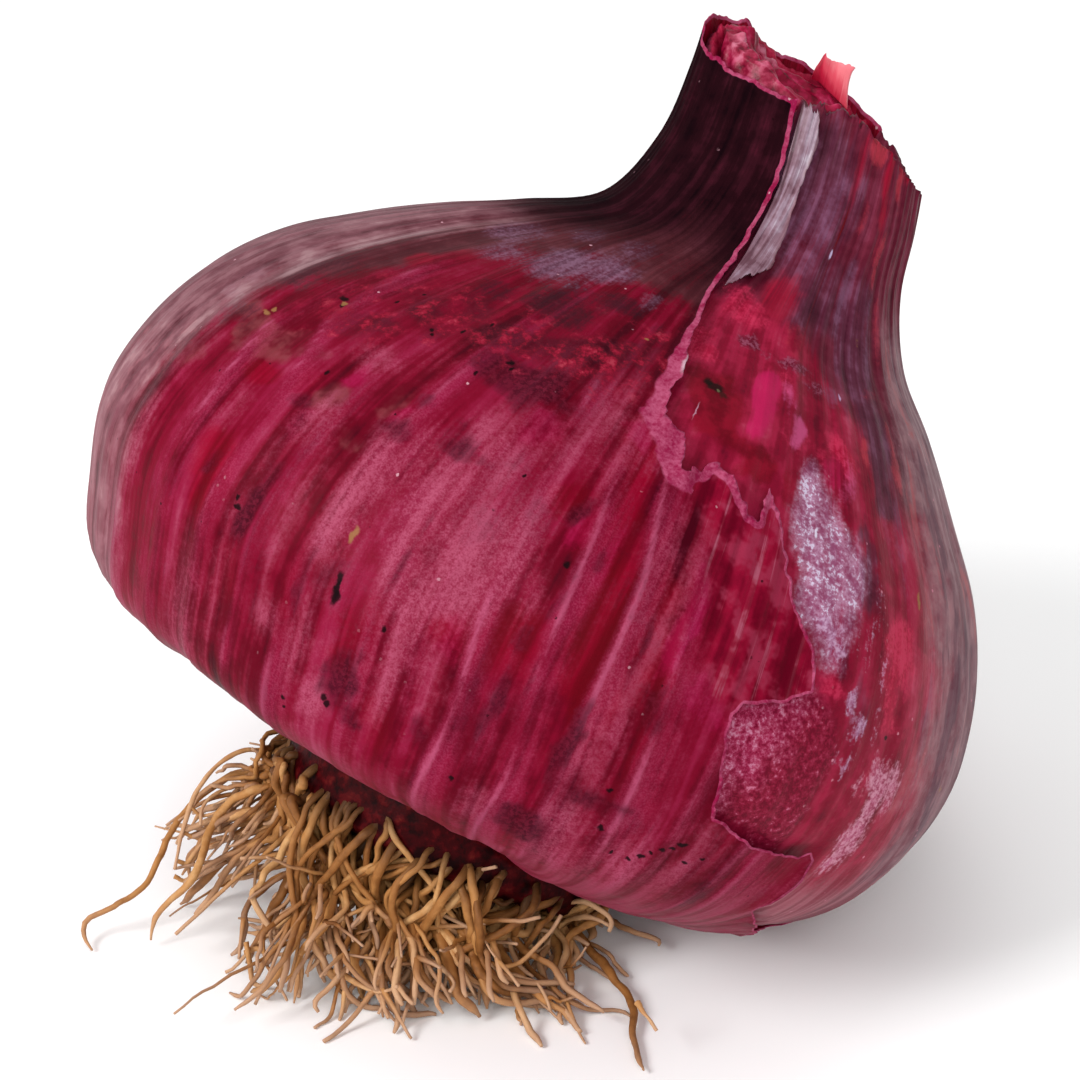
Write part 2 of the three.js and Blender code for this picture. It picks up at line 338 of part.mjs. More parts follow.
  { r: 0.80, tip: 0.70, path: [[-18.90, -18.62, 3.58], [-20.18, -18.90, 2.13], [-20.09, -17.41, 1.03], [-19.73, -16.11, 0.86], [-18.89, -15.19, 1.31], [-17.71, -15.64, 1.25], [-16.86, -16.62, 1.07], [-15.96, -17.53, 0.94], [-14.96, -18.29, 0.70], [-14.06, -19.21, 0.68], [-13.85, -20.39, 0.66], [-14.33, -21.55, 0.64]] },
  { r: 0.55, tip: 0.35, path: [[-28.20, -13.30, 6.43], [-29.59, -14.70, 5.77], [-30.81, -16.07, 6.57], [-31.68, -17.26, 7.94], [-32.08, -18.90, 8.79], [-31.23, -20.36, 7.90], [-30.21, -21.59, 6.73], [-29.01, -22.83, 5.74], [-28.81, -24.32, 4.52], [-29.65, -25.59, 3.31], [-31.10, -26.25, 2.15], [-31.93, -26.94, 0.48]] },
  { r: 0.55, tip: 0.35, path: [[-28.37, -16.53, 7.34], [-29.37, -18.24, 6.41], [-29.49, -19.51, 7.61], [-29.83, -20.85, 8.72], [-30.41, -22.46, 8.25], [-31.10, -23.80, 7.12], [-31.75, -25.21, 6.06], [-32.35, -26.81, 5.26], [-33.04, -28.35, 4.42], [-34.06, -29.29, 3.18], [-35.09, -30.29, 1.97], [-35.84, -30.61, 0.32]] },
  { r: 0.45, tip: 0.35, path: [[-28.37, -10.35, 5.82], [-28.62, -9.58, 4.20], [-28.36, -8.03, 3.33], [-27.81, -6.37, 2.92], [-27.11, -4.74, 2.53], [-26.60, -3.02, 2.16], [-25.90, -1.46, 1.76], [-25.01, 0.02, 1.29], [-24.35, 1.62, 0.80], [-24.03, 3.36, 0.56], [-24.02, 5.14, 0.42], [-24.13, 6.93, 0.32]] },
  { r: 0.53, tip: 0.35, path: [[-25.41, -10.63, 4.48], [-25.27, -10.24, 2.84], [-24.49, -9.42, 1.90], [-23.53, -8.58, 1.47], [-22.72, -7.66, 0.93], [-22.36, -6.59, 1.01], [-22.39, -5.83, 1.60], [-22.82, -5.19, 1.74], [-22.82, -4.30, 1.58], [-22.25, -3.22, 1.10], [-21.94, -2.41, 0.64], [-21.52, -1.79, 0.32]] },
  { r: 0.49, tip: 0.35, path: [[-29.51, -7.14, 5.67], [-30.20, -6.41, 4.12], [-30.60, -4.80, 3.36], [-30.76, -3.01, 3.01], [-30.80, -1.20, 2.66], [-30.72, 0.56, 2.13], [-30.43, 2.29, 1.58], [-30.26, 4.06, 1.09], [-30.50, 5.85, 0.76], [-30.98, 7.62, 0.55], [-31.62, 9.35, 0.41], [-32.33, 11.05, 0.32]] },
  { r: 0.56, tip: 0.35, path: [[-23.00, -13.63, 4.09], [-23.01, -13.39, 2.92], [-22.47, -12.98, 2.20], [-21.80, -12.54, 1.89], [-21.30, -11.94, 1.56], [-21.30, -11.13, 0.89], [-21.98, -10.07, 0.49], [-21.93, -8.87, 0.47], [-21.17, -7.65, 0.43], [-21.07, -6.40, 0.40], [-20.91, -5.22, 0.36], [-20.35, -4.14, 0.32]] },
  { r: 0.48, tip: 0.35, path: [[-25.66, -7.47, 3.91], [-25.76, -6.80, 2.59], [-25.26, -5.76, 1.89], [-24.57, -4.76, 1.70], [-24.01, -3.77, 1.41], [-23.42, -2.67, 1.20], [-22.90, -1.62, 0.82], [-22.50, -0.60, 0.42], [-21.26, 0.97, 0.39], [-20.35, 2.62, 0.37], [-19.60, 4.28, 0.35], [-18.95, 5.93, 0.32]] },
  { r: 0.54, tip: 0.35, path: [[-32.16, -5.43, 6.64], [-32.94, -4.94, 5.41], [-33.60, -3.83, 4.57], [-34.05, -2.46, 4.02], [-34.30, -1.03, 3.50], [-34.18, 0.36, 2.84], [-33.70, 1.69, 2.21], [-33.29, 3.07, 1.64], [-33.47, 4.52, 1.17], [-34.13, 5.88, 0.86], [-35.00, 7.15, 0.66], [-35.95, 8.36, 0.50]] },
  { r: 0.60, tip: 0.35, path: [[-22.06, -10.60, 2.96], [-22.18, -10.34, 2.35], [-22.13, -9.98, 2.06], [-21.95, -9.69, 2.00], [-21.68, -9.57, 1.99], [-21.32, -9.62, 1.84], [-20.65, -9.50, 1.56], [-19.94, -9.43, 1.27], [-19.35, -9.20, 0.98], [-18.89, -8.78, 0.71], [-18.59, -8.14, 0.50], [-18.51, -7.51, 0.32]] },
  { r: 0.59, tip: 0.35, path: [[-27.62, -4.59, 4.25], [-28.15, -3.40, 2.88], [-27.69, -1.84, 2.12], [-26.89, -0.34, 1.83], [-26.00, 1.11, 1.54], [-25.43, 2.91, 1.41], [-25.36, 4.81, 1.16], [-25.34, 6.72, 0.93], [-24.88, 8.55, 0.71], [-24.05, 10.26, 0.54], [-23.03, 11.89, 0.42], [-21.95, 13.46, 0.32]] },
  { r: 0.48, tip: 0.35, path: [[-35.40, -5.35, 8.30], [-36.78, -4.64, 6.64], [-37.90, -2.93, 5.64], [-38.81, -0.92, 5.03], [-39.72, 1.11, 4.46], [-40.79, 2.97, 3.65], [-41.88, 4.79, 2.77], [-43.03, 6.61, 1.97], [-44.27, 8.44, 1.36], [-45.59, 10.27, 0.97], [-46.97, 12.09, 0.70], [-48.37, 13.90, 0.50]] },
  { r: 0.56, tip: 0.35, path: [[-22.72, -6.95, 2.47], [-23.37, -6.92, 2.21], [-23.74, -6.57, 1.76], [-23.83, -6.28, 1.52], [-23.87, -6.08, 1.27], [-23.78, -5.86, 0.82], [-23.43, -5.60, 0.51], [-23.10, -5.32, 0.47], [-22.35, -4.95, 0.44], [-21.74, -4.21, 0.40], [-21.27, -3.49, 0.36], [-20.96, -2.92, 0.32]] },
  { r: 0.60, tip: 0.35, path: [[-30.81, -2.71, 5.44], [-31.63, -1.43, 3.94], [-31.82, 0.78, 3.37], [-31.64, 3.08, 3.26], [-31.36, 5.38, 3.12], [-30.92, 7.59, 2.63], [-30.24, 9.74, 2.11], [-29.70, 11.95, 1.64], [-29.69, 14.23, 1.29], [-30.06, 16.51, 1.06], [-30.66, 18.74, 0.89], [-31.37, 20.95, 0.77]] },
  { r: 0.56, tip: 0.35, path: [[-19.31, -12.13, 2.12], [-19.50, -11.90, 1.50], [-19.52, -11.50, 1.19], [-19.45, -11.10, 1.17], [-19.28, -10.80, 1.22], [-19.00, -10.62, 1.11], [-18.54, -10.65, 0.95], [-18.06, -10.70, 0.80], [-17.72, -10.48, 0.65], [-17.57, -10.01, 0.52], [-17.60, -9.40, 0.40], [-17.78, -9.04, 0.32]] },
  { r: 0.53, tip: 0.35, path: [[-24.94, -3.47, 2.79], [-25.01, -2.54, 1.40], [-24.32, -1.19, 0.69], [-23.58, 0.24, 0.59], [-22.57, 1.67, 0.86], [-21.74, 3.20, 0.90], [-20.88, 4.71, 0.81], [-20.06, 6.25, 0.71], [-19.43, 7.87, 0.60], [-19.11, 9.57, 0.50], [-19.00, 11.31, 0.41], [-18.99, 13.05, 0.32]] },
  { r: 0.47, tip: 0.35, path: [[-34.64, -2.33, 7.32], [-35.77, -1.77, 5.90], [-36.81, -0.46, 4.99], [-37.64, 1.16, 4.42], [-38.29, 2.87, 3.88], [-38.71, 4.59, 3.17], [-38.84, 6.36, 2.44], [-38.90, 8.16, 1.79], [-39.11, 9.99, 1.29], [-39.43, 11.84, 0.94], [-39.78, 13.71, 0.69], [-40.16, 15.57, 0.50]] },
  { r: 0.55, tip: 0.35, path: [[-19.76, -7.84, 1.36], [-19.87, -7.79, 0.94], [-19.82, -7.66, 0.83], [-19.81, -7.54, 0.80], [-19.78, -7.39, 0.76], [-19.72, -7.09, 0.67], [-19.70, -6.69, 0.61], [-19.68, -6.30, 0.55], [-19.67, -5.96, 0.52], [-19.70, -5.71, 0.41], [-19.78, -5.57, 0.36], [-19.73, -5.37, 0.32]] },
];
ROOTS.forEach(({ r, tip, path }, index) => {
  const p = path.map((q) => new THREE.Vector3(...q)),
    n = p.length,
    list = [];
  let normal = null;
  for (let i = 0; i < n; i++) {
    const tangent = (i === 0 ? p[1].clone().sub(p[0]) : i === n - 1 ? p[n - 1].clone().sub(p[n - 2]) : p[i + 1].clone().sub(p[i]).normalize().add(p[i].clone().sub(p[i - 1]).normalize())).normalize();
    if (!normal) normal = new THREE.Vector3(0, 0, 1).cross(tangent);
    normal.addScaledVector(tangent, -normal.dot(tangent)).normalize();
    const side = tangent.clone().cross(normal),
      f = Math.max(0, (i / (n - 1) - 0.45) / 0.55),
      radius = (r + (tip - r) * Math.pow(f, 1.3)) * (i === 0 ? 0.5 : 1);
    const ring = [];
    for (let k = 0; k < ROOT_SIDES; k++) {
      const a = (2 * Math.PI * k) / ROOT_SIDES;
      const v = p[i].clone().addScaledVector(normal, radius * Math.cos(a)).addScaledVector(side, radius * Math.sin(a));
      v.z = Math.max(0, v.z);
      ring.push(v);
    }
    if (i === 0) list.push([p[0].clone()]);
    list.push(ring);
    if (i === n - 1) list.push([new THREE.Vector3(p[i].x, p[i].y, Math.max(0.05, p[i].z))]);
  }
  const [v, t] = rings(list);
  addMesh(roots, "root_" + String(index + 1).padStart(2, "0"), v, t, 0xb9803f, 0.85);
});

export default part;
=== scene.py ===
import math

import bpy
import numpy as np
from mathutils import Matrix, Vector, kdtree


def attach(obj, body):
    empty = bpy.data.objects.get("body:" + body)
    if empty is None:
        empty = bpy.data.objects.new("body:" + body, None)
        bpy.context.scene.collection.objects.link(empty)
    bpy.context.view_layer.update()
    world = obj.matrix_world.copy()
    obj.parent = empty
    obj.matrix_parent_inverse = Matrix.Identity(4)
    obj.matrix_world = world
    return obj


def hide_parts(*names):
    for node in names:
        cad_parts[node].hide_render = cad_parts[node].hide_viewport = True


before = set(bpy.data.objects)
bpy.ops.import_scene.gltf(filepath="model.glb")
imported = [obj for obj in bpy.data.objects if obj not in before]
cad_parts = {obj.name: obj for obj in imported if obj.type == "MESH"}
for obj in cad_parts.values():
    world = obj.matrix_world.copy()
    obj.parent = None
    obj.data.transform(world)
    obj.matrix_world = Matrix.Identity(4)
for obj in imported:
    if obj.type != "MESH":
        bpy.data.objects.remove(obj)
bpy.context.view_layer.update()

# ------------------------------------------------------------------------------ shared shape
O = np.array((-27.795, -12.753, 10.581))
E1 = np.array((0.8987941, -0.1852637, -0.3972992))
E2 = np.array((0.0761224, 0.9584986, -0.2747467))
AXIS = np.array((0.4317113, 0.2166974, 0.8755956))
STATION = [0, 7, 14.03, 21.1, 28.44, 35.87, 43.04, 49.97, 56.67, 63.18, 70.11, 77.37, 85.15, 92.96, 100.46, 107.32, 113.45, 119.57, 125.57]
SIDE_A = [[0, 0.9], [6.9, 1.9], [13.7, 3.3], [20.4, 4.8], [27.4, 6.3], [35.2, 7.3], [42.3, 10.1], [45.5, 17.1], [47.27, 24.33], [46.22, 31.26], [43.35, 37.89], [38.79, 43.74], [32.62, 48.59], [25.98, 52.71], [19.14, 56.41], [12.27, 60.66], [10, 67.6], [10.2, 74.7], [11.2, 81]]
SIDE_B = [[0, 0.9], [7, 0.8], [14, 1], [21.1, 1.7], [28.4, 3.2], [34.9, 6.9], [39.7, 12.4], [42.2, 18.7], [42.72, 24.75], [41.73, 30.29], [39.6, 35.94], [36.16, 41.55], [31.25, 47.09], [26.06, 52.82], [20.61, 58.06], [17.19, 64.13], [15.74, 69.72], [14.11, 75.2], [12.6, 81]]
RIM = [[0, 117.5], [20, 118.5], [45, 121], [70, 123.2], [90, 124.3], [110, 124], [135, 125.3], [160, 124.8], [180, 123.2], [198, 121.8], [218, 121], [244, 120.8], [263, 121], [275, 121.3], [286, 122], [299, 121.2], [311, 120.2], [328, 119.2], [345, 118.2], [360, 117.5]]
# Outline of the opening torn in the outer skin, anticlockwise from the rim of the neck: (direction, s).
OPENING = [(262.5, 127), (262.6, 120), (264.0, 117), (264.6, 114), (265.3, 110), (266.6, 106.5), (268.4, 103), (269.6, 100.5), (270.8, 97.0), (271.2, 94.4), (271.8, 92.0), (273.0, 90.6), (272.9, 88.8), (272.6, 87.4), (272.9, 86.2), (274.0, 85.6), (273.8, 84.8), (278.0, 84.0), (278.4, 82.2), (278.8, 80.4), (280.0, 80.2), (281.0, 81.0), (282.4, 81.2), (282.6, 82.4), (283.6, 82.7), (285.5, 82.0), (286.8, 82.0), (288.3, 80.2), (291.3, 78.5), (292.2, 80.2), (292.5, 83.0), (295.2, 79.8), (297, 77.5), (299, 73.5), (303, 69.8), (304, 68.6), (305, 65.5), (302, 63.6), (296.5, 62.2), (296, 60.8), (297.5, 57), (299.5, 51.5), (302, 50.8), (306, 50), (309, 49.7), (313.6, 49.7), (315.0, 50.6), (316.2, 49.6), (317, 47.5), (317, 45.5), (316.5, 43.8), (315.6, 42.3), (317.4, 41.0), (321, 39.4), (324, 38.0), (327, 36.6), (330.5, 34.6), (335, 33.2), (341, 33.6), (347, 36), (352, 39), (358, 44.5), (370, 54), (382, 68), (393, 84), (402, 101), (409, 113), (413, 120.5), (413, 127)]
SKIN_START = 17.8
SEAM = 100.0  # direction, in degrees, where the grids start and end: at the back


def clamp01(x):
    return np.clip(x, 0.0, 1.0)


def smooth(a, b, x):
    t = clamp01((np.asarray(x, float) - a) / (b - a))
    return t * t * (3 - 2 * t)


def hermite(xs, ys):
    xs, ys = np.array(xs, float), np.array(ys, float)
    h = np.diff(xs)
    d = np.diff(ys, axis=0) / h[:, None]
    m = np.zeros_like(ys)
    m[1:-1] = (d[:-1] * h[1:, None] + d[1:] * h[:-1, None]) / (h[1:] + h[:-1])[:, None]
    m[0] = 1.5 * d[0] - 0.5 * m[1]
    m[-1] = 1.5 * d[-1] - 0.5 * m[-2]

    def f(t):
        t = np.asarray(t, float)
        i = np.clip(np.searchsorted(xs, t, side="right") - 1, 0, len(xs) - 2)
        hh = (xs[i + 1] - xs[i])[..., None]
        u = ((t - xs[i]) / (xs[i + 1] - xs[i]))[..., None]
        u2, u3 = u * u, u * u * u
        return (2 * u3 - 3 * u2 + 1) * ys[i] + (u3 - 2 * u2 + u) * hh * m[i] + (3 * u2 - 2 * u3) * ys[i + 1] + (u3 - u2) * hh * m[i + 1]

    return f


side_a, side_b = hermite(STATION, SIDE_A), hermite(STATION, SIDE_B)


def surface(phi, s):
    """The smooth outer surface in the onion's own axes: phi in degrees round it, s along the skin."""
    phi, s = np.broadcast_arrays(np.asarray(phi, float), np.asarray(s, float))
    a, b = side_a(s), side_b(s)
    p = np.radians(phi)
    mid, half = (b[..., 0] - a[..., 0]) / 2, (b[..., 0] + a[..., 0]) / 2
    h, dh = (a[..., 1] + b[..., 1]) / 2, (b[..., 1] - a[..., 1]) / 2
    depth = np.hypot(half, dh) * (1 - 0.36 * clamp01((h - 50) / 22) ** 1.3)
    lift = 2.2 * smooth(1, 12, s) * (1 - smooth(28, 44, s)) * np.maximum(0, np.cos(p - math.radians(235))) ** 2
    return np.stack([mid + half * np.cos(p), depth * np.sin(p), h + dh * np.cos(p) + lift], -1)


def surface_normal(phi, s):
    phi, s = np.broadcast_arrays(np.asarray(phi, float), np.asarray(s, float))
    a = surface(phi + 0.5, s) - surface(phi - 0.5, s)
    b = surface(phi, s + 0.25) - surface(phi, np.maximum(s - 0.25, 0.02))
    n = np.cross(a, b)
    n /= np.maximum(np.linalg.norm(n, axis=-1, keepdims=True), 1e-9)
    n[s < 0.6] = (0, 0, -1)
    return n


def to_world(p):
    return O + p[..., :1] * E1 + p[..., 1:2] * E2 + p[..., 2:3] * AXIS


def to_world_dir(p):
    return p[..., :1] * E1 + p[..., 1:2] * E2 + p[..., 2:3] * AXIS


def table(tab, x):
    t = np.array(tab, float)
    return np.interp(x, t[:, 0], t[:, 1])


def wrap(phi):
    return (np.asarray(phi, float) - SEAM) % 360 + SEAM


# ------------------------------------------------------------------------------ numpy noise
def _hash(ix, iy, iz, seed):
    h = (ix * 73856093) ^ (iy * 19349663) ^ (iz * 83492791) ^ (seed * 374761393)
    h = h & 0xFFFFFFFF
    h = ((h ^ (h >> 13)) * 1274126177) & 0xFFFFFFFF
    h = ((h ^ (h >> 16)) * 2246822519) & 0xFFFFFFFF
    return ((h ^ (h >> 15)) & 0xFFFFFF) / float(0xFFFFFF) * 2 - 1


def noise(x, y, z, seed=0):
    x, y, z = np.broadcast_arrays(np.asarray(x, float), np.asarray(y, float), np.asarray(z, float))
    ix, iy, iz = np.floor(x).astype(np.int64), np.floor(y).astype(np.int64), np.floor(z).astype(np.int64)
    fx, fy, fz = x - ix, y - iy, z - iz
    ux, uy, uz = (t * t * t * (t * (t * 6 - 15) + 10) for t in (fx, fy, fz))
    out = 0
    for dx in (0, 1):
        for dy in (0, 1):
            for dz in (0, 1):
                w = (ux if dx else 1 - ux) * (uy if dy else 1 - uy) * (uz if dz else 1 - uz)
                out = out + w * _hash(ix + dx, iy + dy, iz + dz, seed)
    return out


def fbm(x, y, z, octaves=3, seed=0, gain=0.5):
    out, amp, f = 0, 1.0, 1.0
    for k in range(octaves):
        out = out + amp * noise(np.asarray(x) * f + 17.3 * k, np.asarray(y) * f + 5.1 * k, np.asarray(z) * f, seed + k)
        amp *= gain
        f *= 2.03
    return out


rng = np.random.default_rng(20)

# ------------------------------------------------------------------------------ relief of the skin
RIBS = []  # (half width mm, height mm, [s...], [direction...])
_a = SEAM
while _a < SEAM + 360:
    _a += rng.uniform(4.0, 8.5)
    w, h, sway = rng.uniform(0.4, 0.7), rng.uniform(0.05, 0.15), rng.uniform(-1.2, 1.2)
    lo, hi = rng.uniform(20, 44), rng.uniform(66, 112)
    if not 222 < _a < 296:
        RIBS.append((w, h, [lo, (lo + hi) / 2, hi], [_a, _a + sway, _a + 0.4 * sway]))
# the long raised ridges on the front
RIBS += [
    (0.55, 0.30, [44, 50, 56.5, 61.8, 71.8, 76], [289.6, 289.0, 288.5, 288.0, 286.5, 285.8]),
    (0.45, 0.20, [34, 44, 57.8, 69, 76.5, 80], [281.5, 281.0, 281.0, 280.4, 278.6, 278.0]),
    (0.45, 0.20, [31, 41.8, 47.5, 59.2, 72.8, 84], [274.2, 274.6, 275.4, 274.6, 272.5, 271.0]),
    (0.45, 0.17, [32, 44, 53, 60, 66.8, 73, 86], [266.0, 266.8, 267.4, 266.6, 266.0, 264.6, 262.0]),
    (0.40, 0.13, [36, 50, 60.5, 69, 80], [255.0, 255.6, 256.2, 258.4, 258.0]),
    (0.45, 0.17, [30, 46, 56.8, 61, 69.5, 80.5, 90], [245.6, 246.0, 245.4, 246.5, 247.9, 246.6, 245.5]),
    (0.40, 0.14, [30, 46, 54.2, 63.8, 71.8, 75.2, 88], [231.0, 231.4, 231.5, 232.0, 229.2, 226.6, 224.0]),
    (0.35, 0.10, [38, 54, 70, 80], [238.6, 238.8, 239.6, 238.4]),
    (0.35, 0.10, [36, 50, 66, 74], [250.8, 251.2, 252.6, 252.4]),
    (0.35, 0.10, [34, 50, 66, 76], [261.2, 261.8, 261.6, 260.8]),
    (0.35, 0.10, [34, 46, 56, 66], [270.8, 271.2, 270.6, 269.8]),
    (0.35, 0.10, [36, 48, 58], [285.2, 285.0, 284.2]),
    (0.35, 0.12, [34, 42, 50, 58], [293.8, 293.6, 292.8, 292.2]),
    (0.45, 0.16, [60, 66, 74, 80], [292.4, 292.2, 291.4, 290.6]),
    (0.45, 0.15, [34, 46, 58, 66, 74], [222.0, 223.0, 224.0, 222.6, 219.6]),
    (0.5, 0.16, [36, 50, 62, 72], [212.0, 213.6, 213.0, 209.6]),
]


def rib_field(phi, s):
    """Height of the fine ridges, how near a point is to a crest, and how near to its broad pale flank (0 to 1); the
    flank reaching further on one side is painted light and shade from the ridge's relief.
    """
    out = np.zeros(np.broadcast(phi, s).shape)
    near, wide = np.zeros(out.shape), np.zeros(out.shape)
    radius = np.maximum(np.linalg.norm(surface(phi, s)[..., :2], axis=-1), 6)
    for w, h, ss, pp in RIBS:
        c = np.interp(s, ss, pp) + 0.25 * np.sin(s / 4.3 + pp[0])
        d = (wrap(phi - c + SEAM + 180) - SEAM - 180) * math.pi / 180 * radius
        fade = smooth(ss[0] - 5, ss[0] + 5, s) * (1 - smooth(ss[-1] - 5, ss[-1] + 5, s))
        broken = clamp01(0.62 + 0.75 * noise(s / 6.5, pp[0], 0, 171))
        out = out + h * fade * (np.exp(-((d / w) ** 2)) * 0.70 + np.exp(-((d / (w * 4)) ** 2)) * 0.55)
        near = np.maximum(near, fade * broken * np.exp(-((d / (w * 0.75)) ** 2)) * min(1.0, h / 0.2))
        # partly painted light: the pale flank runs further on the lit side of the ridge than on the shaded one
        side = np.where(d > 0, d / (w * 5.0), d / (w * 1.8))
        wide = np.maximum(wide, fade * (0.35 + 0.65 * broken) * np.exp(-(side**2)) * min(1.0, h / 0.16))
    return out, near, wide


def relief(phi, s):
    """Height of the dry skin over the smooth surface, in mm, shared by the skin and the scale under it."""
    p = np.radians(phi)
    c, n = np.cos(p), np.sin(p)
    wide = 0.30 * fbm(2.6 * c + 3, 2.6 * n, s / 34, 2, 3)
    pleat = 0.20 * fbm(9 * c, 9 * n, s / 60, 2, 11)
    neck = smooth(88, 106, s)
    folds = 0.40 * fbm(5.2 * c, 5.2 * n, s / 45, 3, 21) * (0.5 + 0.3 * smooth(262, 272, wrap(phi)))
    low = smooth(14, 26, s)
    base = (1 - smooth(20, 40, s)) * 0.18 * fbm(12 * c, 12 * n, s / 12, 2, 31)
    return low * (wide + pleat) * (1 - 0.6 * neck) + neck * folds + base


